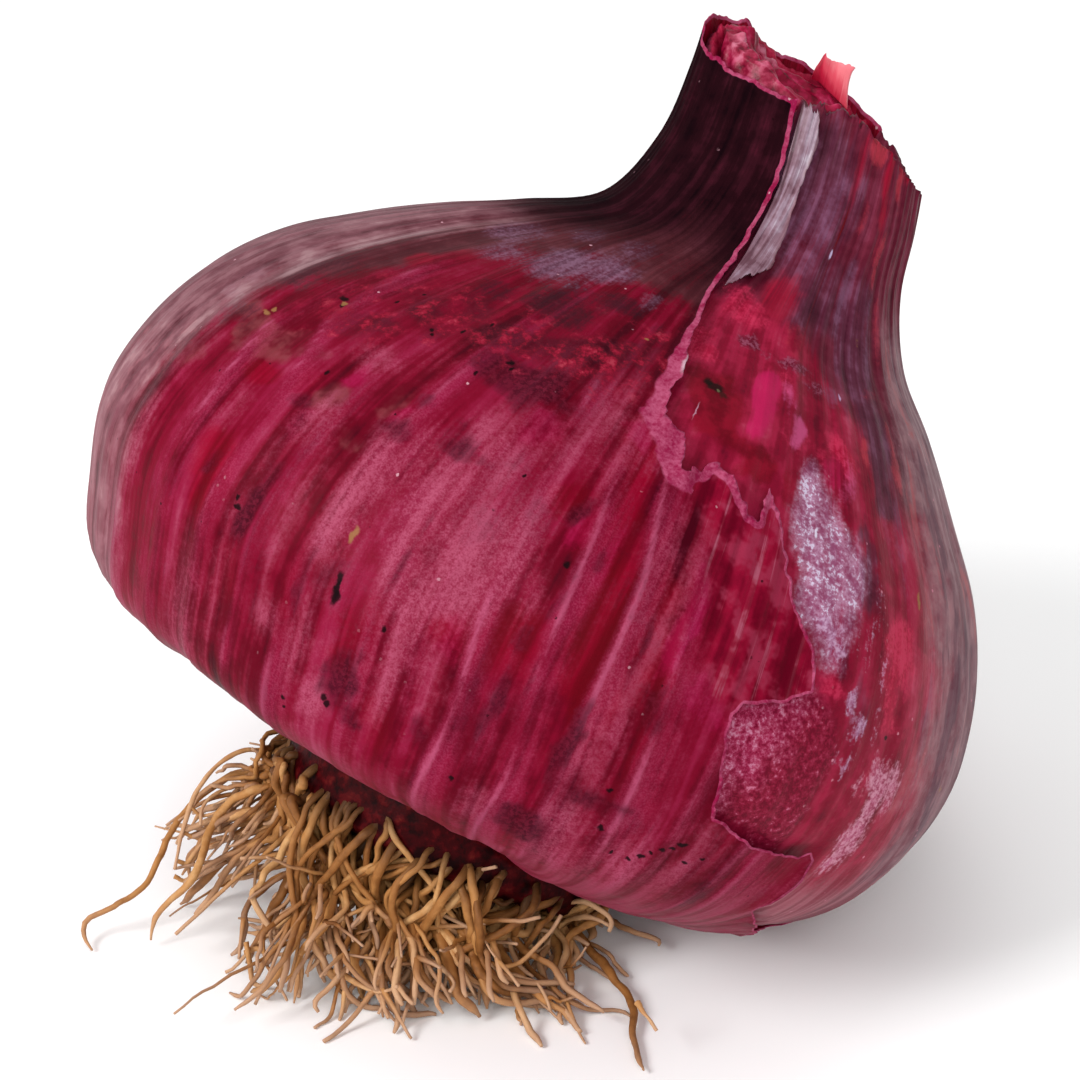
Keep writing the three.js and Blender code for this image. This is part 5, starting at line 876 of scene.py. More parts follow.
def build_outer_skin():
    n = len(COLS)
    PH, SS = np.meshgrid(COLS, ROWS)
    m = len(ROWS)
    start_edge = SKIN_START + 0.7 * noise(np.radians(PH) * 9, 0, 0, 51) + 0.5 * noise(np.radians(PH) * 25, 0, 0, 52)
    SS = np.where(SS < 24, start_edge + (SS - SKIN_START) * (24 - start_edge) / (24 - SKIN_START), SS)
    phi, s = PH.ravel(), SS.ravel()
    inside = has_skin(phi, s)
    quads = grid_faces(m, n, True)
    tris = np.concatenate([quads[:, [0, 1, 2]], quads[:, [0, 2, 3]]])
    cnt = inside[tris].sum(1)
    keep = tris[cnt == 3]
    mixed = tris[(cnt == 1) | (cnt == 2)]
    ins = inside[mixed]
    one = ins.sum(1) == 1
    k = np.where(one, ins.argmax(1), ins.argmin(1))
    r = np.arange(len(mixed))
    A, B, C = mixed[r, k], mixed[r, (k + 1) % 3], mixed[r, (k + 2) % 3]
    # each cut edge runs from a vertex that stays to one that goes
    e1 = np.where(one[:, None], np.stack([A, B], 1), np.stack([B, A], 1))
    e2 = np.where(one[:, None], np.stack([A, C], 1), np.stack([C, A], 1))
    both = np.concatenate([e1, e2])
    uniq, inv = np.unique(both, axis=0, return_inverse=True)
    inv = inv.ravel()
    pa, sa = phi[uniq[:, 0]], s[uniq[:, 0]]
    pb, sb = phi[uniq[:, 1]], s[uniq[:, 1]]
    pb = pa + (pb - pa + 180) % 360 - 180
    lo, hi = np.zeros(len(uniq)), np.ones(len(uniq))
    for _ in range(8):
        mid = (lo + hi) / 2
        ok = has_skin(pa + (pb - pa) * mid, sa + (sb - sa) * mid)
        lo, hi = np.where(ok, mid, lo), np.where(ok, hi, mid)
    t = np.clip(lo, 0.04, 0.96)
    base = len(phi)
    phi = np.concatenate([phi, pa + (pb - pa) * t])
    s = np.concatenate([s, sa + (sb - sa) * t])
    x1, x2 = base + inv[: len(mixed)], base + inv[len(mixed) :]
    t_one = np.stack([A, x1, x2], 1)[one]
    t_two = np.concatenate([np.stack([x1, B, C], 1)[~one], np.stack([x1, C, x2], 1)[~one]])
    tris = np.concatenate([keep, t_one, t_two])
    tris = largest_part(tris, len(phi))
    used = np.unique(tris)
    remap = -np.ones(len(phi), np.int64)
    remap[used] = np.arange(len(used))
    tris, phi, s = remap[tris], phi[used], s[used]
    e = np.concatenate([tris[:, [0, 1]], tris[:, [1, 2]], tris[:, [2, 0]]])
    code = e[:, 0] * len(phi) + e[:, 1]
    back = e[:, 1] * len(phi) + e[:, 0]
    border = e[~np.isin(code, back)]
    rim = np.unique(border[s[border].min(1) > 26])
    local, nrm = surface(phi, s), surface_normal(phi, s)
    d = wrap(phi)
    torn = rim[(d[rim] > 262) & (d[rim] < 413.5) & (s[rim] < rim_at(phi[rim]) - 0.6)]
    tree = kdtree.KDTree(len(rim))
    for i, v in enumerate(rim):
        tree.insert(Vector(local[v]), i)
    tree.balance()
    edge = np.full(len(phi), 20.0)
    margin = np.full(len(phi), 9.0)
    wide = margin_width(d[rim], s[rim])
    is_torn = np.isin(rim, torn)
    for i in np.where(s > 30)[0]:
        _, j, q = tree.find(Vector(local[i]))
        edge[i] = min(20.0, q)
        margin[i] = min(9.0, q / (wide[j] if is_torn[j] else 0.35))
    on_tear = smooth(261, 265, d) * (1 - smooth(404, 412, d))
    height, near, wide = rib_field(phi, s)
    left = table([[60, 294.5], [64, 291.5], [70, 288.5], [76, 285], [82, 279]], s)
    film = smooth(left - 0.9, left + 0.9, d) * smooth(60.8, 62.5, s) * (1 - smooth(82.5, 85, s)) * (d < 308)
    h = relief(phi, s) + height
    h = h + film * (0.10 * noise(d * 1.5, s * 0.05, 0, 62) + 0.06 * noise(d * 3.1, s * 0.08, 0, 63) - 0.12)
    # the torn margin lifts a little and curls, unevenly
    curl = np.exp(-edge / 1.2) * (0.30 + 0.30 * noise(d * 0.35, s * 0.15, 0, 61)) * on_tear
    h = h + curl
    thick = 0.10 + 0.22 * smooth(0.0, 3.0, edge)
    at = local + nrm * h[:, None]
    outer = press(to_world(at), 0.0)
    inner = press(to_world(at - nrm * thick[:, None]), 0.3)
    nv = len(phi)
    walls = np.stack([border[:, 0] + nv, border[:, 1] + nv, border[:, 1], border[:, 0]], -1)
    verts = np.concatenate([outer, inner])
    faces3 = np.concatenate([tris, tris[:, ::-1] + nv])
    ar = around(phi, s)
    mk = skin_marks(phi, s)
    mk.update(crest=near, wide=wide)
    att = {"around": ar, "margin": margin, "film": film, "marks_a": pack3(mk, "frost_and_highlight", "crimson", "dark"), "marks_b": pack3(mk, "magenta", "brown", "coral"), "marks_c": pack3(mk, "red", "lilac", "shade"), "marks_d": pack3(mk, "crest", "wide", "haze"), "marks_e": pack3(mk, "neck", "low", "grey"), "pallor": mk["pallor"]}
    both = {}
    for k, v in att.items():
        inside = v * 0 if k.startswith("marks") or k in ("pallor", "film") else v.copy()
        if k == "marks_a":
            inside[:, 1] = 1.0
        both[k] = np.concatenate([v, inside])
    ob = new_mesh("outer_skin", verts, [faces3, walls], both)
    return ob, local[rim]


def largest_part(tris, count):
    """Drops islets that the cutting left apart from the main sheet."""
    label = np.arange(count)
    for _ in range(400):
        low = label[tris].min(1)
        new = label.copy()
        for c in range(3):
            np.minimum.at(new, tris[:, c], low)
        new = new[new]
        if (new == label).all():
            break
        label = new
    best = np.bincount(label[tris[:, 0]]).argmax()
    return tris[label[tris[:, 0]] == best]


outer_ob, skin_edge = build_outer_skin()

# ------------------------------------------------------------------------------ bulb with the second skin
COLS2 = steps([(SEAM, 255, 2.0), (255, 312, 0.46), (312, 345, 0.7), (345, 415, 1.0), (415, 460, 2.0)])


def build_bulb():
    n = len(COLS2)
    phi1 = COLS2
    rim = table(RIM, phi1 % 360)
    under = ((phi1 % 360) >= 53) & ((phi1 % 360) < 263)
    rim = rim - np.where(under, 0.9, 0.0) + 0.35 * noise(phi1 * 0.3, 7, 0, 71) + 0.3 * noise(phi1 * 0.9, 7, 0, 72)
    low = steps([(2, 58, 1.6), (58, 112, 0.6)])
    rows_phi, rows_s, rows_in = [], [], []
    for s in low:
        rows_phi.append(phi1)
        rows_s.append(np.full(n, s))
    for t in np.linspace(0, 1, 14):
        rows_phi.append(phi1)
        rows_s.append(112 + (rim - 0.25 - 112) * t)
    PH, SS = np.stack(rows_phi), np.stack(rows_s)
    local, nrm = surface(PH, SS), surface_normal(PH, SS)
    # how far this point stands clear of the outer skin's torn edge, in mm
    tree = kdtree.KDTree(len(skin_edge))
    for i, v in enumerate(skin_edge):
        tree.insert(Vector(v), i)
    tree.balance()
    dist = np.zeros(PH.shape)
    flat = local.reshape(-1, 3)
    exposed = in_opening(PH, SS).ravel()
    dd = np.zeros(len(flat))
    dd[exposed] = [min(20.0, tree.find(Vector(p))[2]) for p in flat[exposed]]
    dd[~exposed] = 0
    dist = dd.reshape(PH.shape)
    ribs = rib_field(PH + 2.3, SS)[0] * 0.5
    open_ = smooth(0.1, 3.2, dist * np.where((wrap(PH) > 308) & (SS < 56), 3.0, 1.0))
    h = relief(PH, SS) - 0.8 + open_ * (0.45 + 0.15 * fbm(np.cos(np.radians(PH)) * 14, np.sin(np.radians(PH)) * 14, SS / 16, 2, 81) + ribs)
    outer = press(to_world(local + nrm * h[..., None]), 0.75)
    rows = list(outer)
    ar = list(around(PH, SS))
    mk = scale_marks(PH, SS, (dist > 0).astype(float))
    groups = {"marks_a": ("dkred", "bright", "magenta"), "marks_b": ("pink", "silver_highlight", "flake"), "marks_c": ("pale", "purple", "lilac"), "marks_d": ("salmon", "crimstreak", "scar"), "marks_e": ("green", "far", "window"), "marks_f": ("neck", "low", None)}
    packed = {k: pack3(mk, *v) for k, v in groups.items()}
    # the rim, the inside of the neck wall and the floor of the dish
    apex = np.array([1.5, 0.0, 73.0])
    sr = rim
    for inset, ds in ((1.15, 0.05), (1.5, -0.3), (1.9, -1.2), (2.1, -2.6)):
        p = surface(phi1, sr + ds) - surface_normal(phi1, sr + ds) * inset
        rows.append(to_world(p))
        ar.append(around(phi1, sr + ds))
    foot = surface(phi1, sr - 2.6) - surface_normal(phi1, sr - 2.6) * 2.1
    for t in (0.25, 0.5, 0.75):
        p = foot + (apex - foot) * t
        p[:, 2] += 0.35 * noise(p[:, 0] * 0.6, p[:, 1] * 0.6, 0, 91)
        rows.append(to_world(p))
        ar.append(around(phi1, sr - 3))
    m = len(rows)
    verts = np.concatenate([np.concatenate(rows), to_world(np.array([[0, 0, 1.65], apex]))])
    quads = grid_faces(m, n, True)
    j = np.arange(n)
    k = (j + 1) % n
    bottom = np.stack([np.full(n, m * n), k, j], -1)
    topf = np.stack([(m - 1) * n + j, (m - 1) * n + k, np.full(n, m * n + 1)], -1)
    att = {"around": np.concatenate([np.concatenate(ar), around([0, 0], [0, 118])])}
    for key, data in packed.items():
        rest = np.repeat(data[-1:], len(rows) - len(data), axis=0) * (1 - 0.75 * under[None, :, None])
        if key == "marks_a":
            rest = rest + 0.8 * under[None, :, None] * np.array((0.6, 0.8, 0))
        full = np.concatenate([data, rest]).reshape(-1, 3)
        att[key] = np.concatenate([full, full[:1], full[-1:]])
    ob = new_mesh("bulb", verts, [quads, np.concatenate([bottom, topf])], att)
    return ob


bulb_ob = build_bulb()


# ------------------------------------------------------------------------------ thin bent plates
def build_plate(name, outer, inner, attrs):
    """Closed plate from two m by n grids of world points."""
    m, n = outer.shape[:2]
    q = grid_faces(m, n, False)
    i = np.arange(m - 1)
    j = np.arange(n - 1)
    N = m * n
    side = [
        np.stack([i * n, (i + 1) * n, N + (i + 1) * n, N + i * n], -1),
        np.stack([(i + 1) * n + n - 1, i * n + n - 1, N + i * n + n - 1, N + (i + 1) * n + n - 1], -1),
        np.stack([j + 1, j, N + j, N + j + 1], -1),
        np.stack([(m - 1) * n + j, (m - 1) * n + j + 1, N + (m - 1) * n + j + 1, N + (m - 1) * n + j], -1),
    ]
    verts = np.concatenate([outer.reshape(-1, 3), inner.reshape(-1, 3)])
    return new_mesh(name, verts, [np.concatenate([q, q[:, ::-1] + N] + side)], attrs)


def build_strip():
    tt = np.linspace(0, 1, 66)
    uu = np.linspace(0, 1, 24)
    T, U = np.meshgrid(tt, uu, indexing="ij")
    ends = 0.30 * noise(U * 9, 9, 0, 103) + 0.2 * noise(U * 23, 9, 0, 106)
    # the lower end is torn off at a slant, the upper one stands at the neck's rim
    s = (102.3 + T * (120.9 - 102.3)) * (1 - U) + (106.0 + T * (120.7 - 106.0)) * U + ends * ((1 - T) ** 6 + T**6)
    left = table([[102.2, 270.8], [104.5, 269.5], [108, 267.6], [112, 266.3], [116, 265.2], [121.0, 264.6]], s)
    right = table([[102, 277.5], [106, 278.6], [109.8, 276.8], [113.2, 274.2], [115.0, 274.4], [118.2, 275.6], [119.6, 274.0], [121.2, 272.4]], s)
    rag = 0.30 * noise(s * 0.9, 3, 0, 101) + 0.3 * noise(s * 2.6, 3, 0, 102)
    phi = left + (right + rag - left) * U
    groove = np.exp(-(((U - 0.34 + 0.30 * T) / 0.10) ** 2)) * smooth(0.1, 0.25, T) * (1 - smooth(0.45, 0.65, T))
    fold = 0.32 * np.sin(U * math.pi) + 0.45 * smooth(0.82, 1.0, U) * (0.55 + 0.45 * noise(s * 0.5, 0, 0, 104)) + 0.3 * (1 - smooth(0, 0.12, T)) - 0.35 * groove
    h = relief(phi, s) + 0.10 + fold * 0.6 + 0.10 * noise(phi * 0.9, s * 0.25, 0, 105)
    p, nn = surface(phi, s), surface_normal(phi, s)
    outer = to_world(p + nn * h[..., None])
    inner = to_world(p + nn * (h - 0.14)[..., None])
    att = around(phi, s).reshape(-1, 3)
    uv = np.stack([T, U, U * 0], -1).reshape(-1, 3)
    return build_plate("skin_strip", outer, inner, {"around": np.concatenate([att, att]), "uvw": np.concatenate([uv, uv])})


strip_ob = build_strip()


# ------------------------------------------------------------------------------ torn tissue in the neck
def build_core():
    n = 220
    phi = np.arange(n) * 360.0 / n
    top = [[0, 117], [45, 118.5], [90, 121.2], [120, 122.6], [150, 124.0], [180, 123.6], [210, 122.8], [240, 121.9], [270, 120.4], [300, 118.8], [330, 117.4], [360, 117]]
    floor = table(RIM, phi) - 2.1 - np.where((phi >= 53) & (phi < 263), 0.8, 0)
    high = np.maximum(table(top, phi) + 0.35 * noise(phi * 0.05, 0, 0, 110), floor + 1.3)
    near_left = 0.8 * np.exp(-((((phi - 218 + 180) % 360 - 180) / 24) ** 2))
    far_side = 1.2 * np.exp(-((((phi - 128 + 180) % 360 - 180) / 14) ** 2))
    rows, lvl, pal = [], [], []
    for t in np.linspace(0, 1, 9):
        s = floor + 0.9 + (high - floor - 0.9) * t
        p = surface(phi, s) - surface_normal(phi, s) * (2.15 + 0.25 * noise(phi * 0.12, t * 2, 0, 109))[:, None]
        rows.append(p)
        lvl.append(np.full(n, t * 0.3))
        pal.append(near_left * t + far_side * t)
    edge = rows[-1].copy()
    centre = np.array([-0.5, 0.0, 76.6])
    for t in np.linspace(0.04, 0.97, 34):
        p = edge + (centre - edge) * t
        x, y = p[:, 0], p[:, 1]
        # rounded lips of leaf rolled over each other, then the sunken middle
        lip = np.exp(-(((t - 0.15) / 0.08) ** 2)) * (0.75 + 0.55 * noise(phi * 0.06, 0, 0, 111) + 0.3 * noise(phi * 0.2, 0, 0, 112))
        inner = np.exp(-(((t - 0.42) / 0.09) ** 2)) * (0.8 + 0.7 * noise(phi * 0.045, 4, 0, 116))
        small = np.exp(-(((t - 0.68) / 0.08) ** 2)) * (0.5 + 0.6 * noise(phi * 0.04, 9, 0, 118))
        lump = 0.55 * noise(x * 0.45, y * 0.45, 2, 113) + 0.22 * noise(x * 1.1, y * 1.1, 0, 114)
        p[:, 2] += lump * smooth(0.0, 0.25, t) + lip + inner + small - 2.6 * smooth(0.1, 0.85, t)
        rows.append(p)
        lvl.append(np.full(n, 0.3 + 0.7 * t))
        pal.append(near_left * (1 - smooth(0.22, 0.5, t)) + far_side * (1 - smooth(0.12, 0.3, t)))
    verts = [to_world(np.array([[1.5, 0.0, 73.5]])), to_world(np.concatenate(rows)), to_world((centre + (0, 0, -2.3))[None])]
    m = len(rows)
    j = np.arange(n)
    k = (j + 1) % n
    bottom = np.stack([np.zeros(n, int), 1 + k, 1 + j], -1)
    topf = np.stack([1 + (m - 1) * n + j, 1 + (m - 1) * n + k, np.full(n, 1 + m * n)], -1)
    quads = grid_faces(m, n, True) + 1
    lv = np.concatenate([[0], np.concatenate(lvl), [1]])
    pl = np.concatenate([[0], np.concatenate(pal), [0]])
    ph = np.concatenate([[0], np.tile(phi, m), [0]])
    return new_mesh("neck_core", np.concatenate(verts), [quads, np.concatenate([bottom, topf])], {"around": around(ph, ph * 0 + 120), "level": lv, "pale": pl})


core_ob = build_core()


def build_sheath():
    """Salmon-coloured tab of leaf standing at the far right of the neck."""
    tt, uu = np.linspace(0, 1, 30), np.linspace(0, 1, 30)
    T, U = np.meshgrid(tt, uu, indexing="ij")
    low, high = 71.0, 94.0
    # U runs from the right-hand edge to the left; the right edge is hollowed
    phi = low + 2.2 * np.sin(T * math.pi * 0.85) * (1 - U) + U * (high - low)
    rim = table(RIM, phi)
    topS = table([[70, 126.0], [73, 126.1], [80, 125.8], [86, 125.6], [89, 125.6], [90.5, 126.1], [91.5, 125.3], [94, 123.8]], phi) + 0.12 * noise(phi * 0.9, 0, 0, 121)
    s = rim - 1.1 + T * (topS - rim + 1.1)
    base = np.minimum(s, 125.5)
    inset = 2.15 + 0.5 * T + 0.20 * np.sin(U * 8 + 1) * T
    p = surface(phi, base)
    nn = surface_normal(phi, base)
    over = np.maximum(0, s - 125.5)[..., None] * np.array([0, 0, 1.0])
    outer = to_world(p - nn * inset[..., None] + over)
    inner = to_world(p - nn * (inset + 0.45)[..., None] + over)
    att = around(phi, s).reshape(-1, 3)
    uv = np.stack([T, 1 - U, U * 0], -1).reshape(-1, 3)
    return build_plate("neck_sheath", outer, inner, {"around": np.concatenate([att, att]), "uvw": np.concatenate([uv, uv])})


sheath_ob = build_sheath()

# ------------------------------------------------------------------------------ basal plate and collar
PLATE_RADIUS, PLATE_DEPTH, COLLAR_OUTER = 14.3, 3.5, 17.2


def build_basal():
    n = 120
    phi = np.arange(n) * 360.0 / n
    c, sn = np.cos(np.radians(phi)), np.sin(np.radians(phi))
    rows = []
    for r in list(np.linspace(0.8, 13.6, 22)):
        z = -(PLATE_DEPTH - 0.5 * (r / PLATE_RADIUS) ** 2)
        x, y = r * c, r * sn
        z = z + 0.28 * fbm(x * 0.5, y * 0.5, 0, 3, 131) + 0.10 * np.sin(r * 3.2 + 0.6 * noise(x * 0.3, y * 0.3, 0, 132)) + 0.05
        rows.append(np.stack([x, y, z], -1))
    r = PLATE_RADIUS - 0.1 + 0.3 * noise(c * 6, sn * 6, 0, 133)
    rows.append(np.stack([r * c, r * sn, np.full(n, -(PLATE_DEPTH - 0.5) + 0.7)], -1))
    for s in (14.0, 10, 5):
        rows.append(surface(phi, s) - surface_normal(phi, s) * 0.42)
    m = len(rows)
    verts = np.concatenate([to_world(np.array([[0, 0, -PLATE_DEPTH + 0.1]])), to_world(np.concatenate(rows)), to_world((surface(0, 0) - np.array([0, 0, 0.42]) * -1)[None])])
    j = np.arange(n)
    k = (j + 1) % n
    bottom = np.stack([np.zeros(n, int), 1 + k, 1 + j], -1)
    topf = np.stack([1 + (m - 1) * n + j, 1 + (m - 1) * n + k, np.full(n, 1 + m * n)], -1)
    return new_mesh("basal_plate", verts, [grid_faces(m, n, True) + 1, np.concatenate([bottom, topf])])


basal_ob = build_basal()


def build_collar():
    n = 260
    phi = np.arange(n) * 360.0 / n
    c, sn = np.cos(np.radians(phi)), np.sin(np.radians(phi))
    rag = 0.45 * noise(c * 7, sn * 7, 0, 141) + 0.4 * noise(c * 18, sn * 18, 0, 142) + 0.2 * noise(c * 40, sn * 40, 0, 143)
    at = lambda r, h: np.stack([r * c, r * sn, h], -1)
    upper = surface(phi, 17.1)[:, 2] - 0.75
    rows = [surface(phi, 14.9) - surface_normal(phi, 14.9) * 0.42, at(14.75, -1.2 + rag * 0.3), at(14.9, -2.2 + rag), at(15.4, -2.55 + rag), at(15.7, -2.3 + rag * 0.9), at(16.0, -1.7 + rag * 0.5)]
    rows += [at(16.4, -2.0 + rag[::-1] * 0.8), at(16.75, -2.15 + rag[::-1] * 0.9), at(17.0, -1.5 + rag[::-1] * 0.6)]
    for t in (0.3, 0.6, 0.9):
        rows.append(at(COLLAR_OUTER + 0.15 * noise(c * 12, sn * 12, t * 3, 144), -1.3 * (1 - t) + upper * t))
    rows.append(at(COLLAR_OUTER - 0.1, upper))
    rows.append(surface(phi, 16.3) - surface_normal(phi, 16.3) * 0.42)
    m = len(rows)
    quads = grid_faces(m, n, True)
    j = np.arange(n)
    k = (j + 1) % n
    last = np.stack([(m - 1) * n + j, (m - 1) * n + k, k, j], -1)
    return new_mesh("base_collar", to_world(np.concatenate(rows)), [np.concatenate([quads, last])])


collar_ob = build_collar()

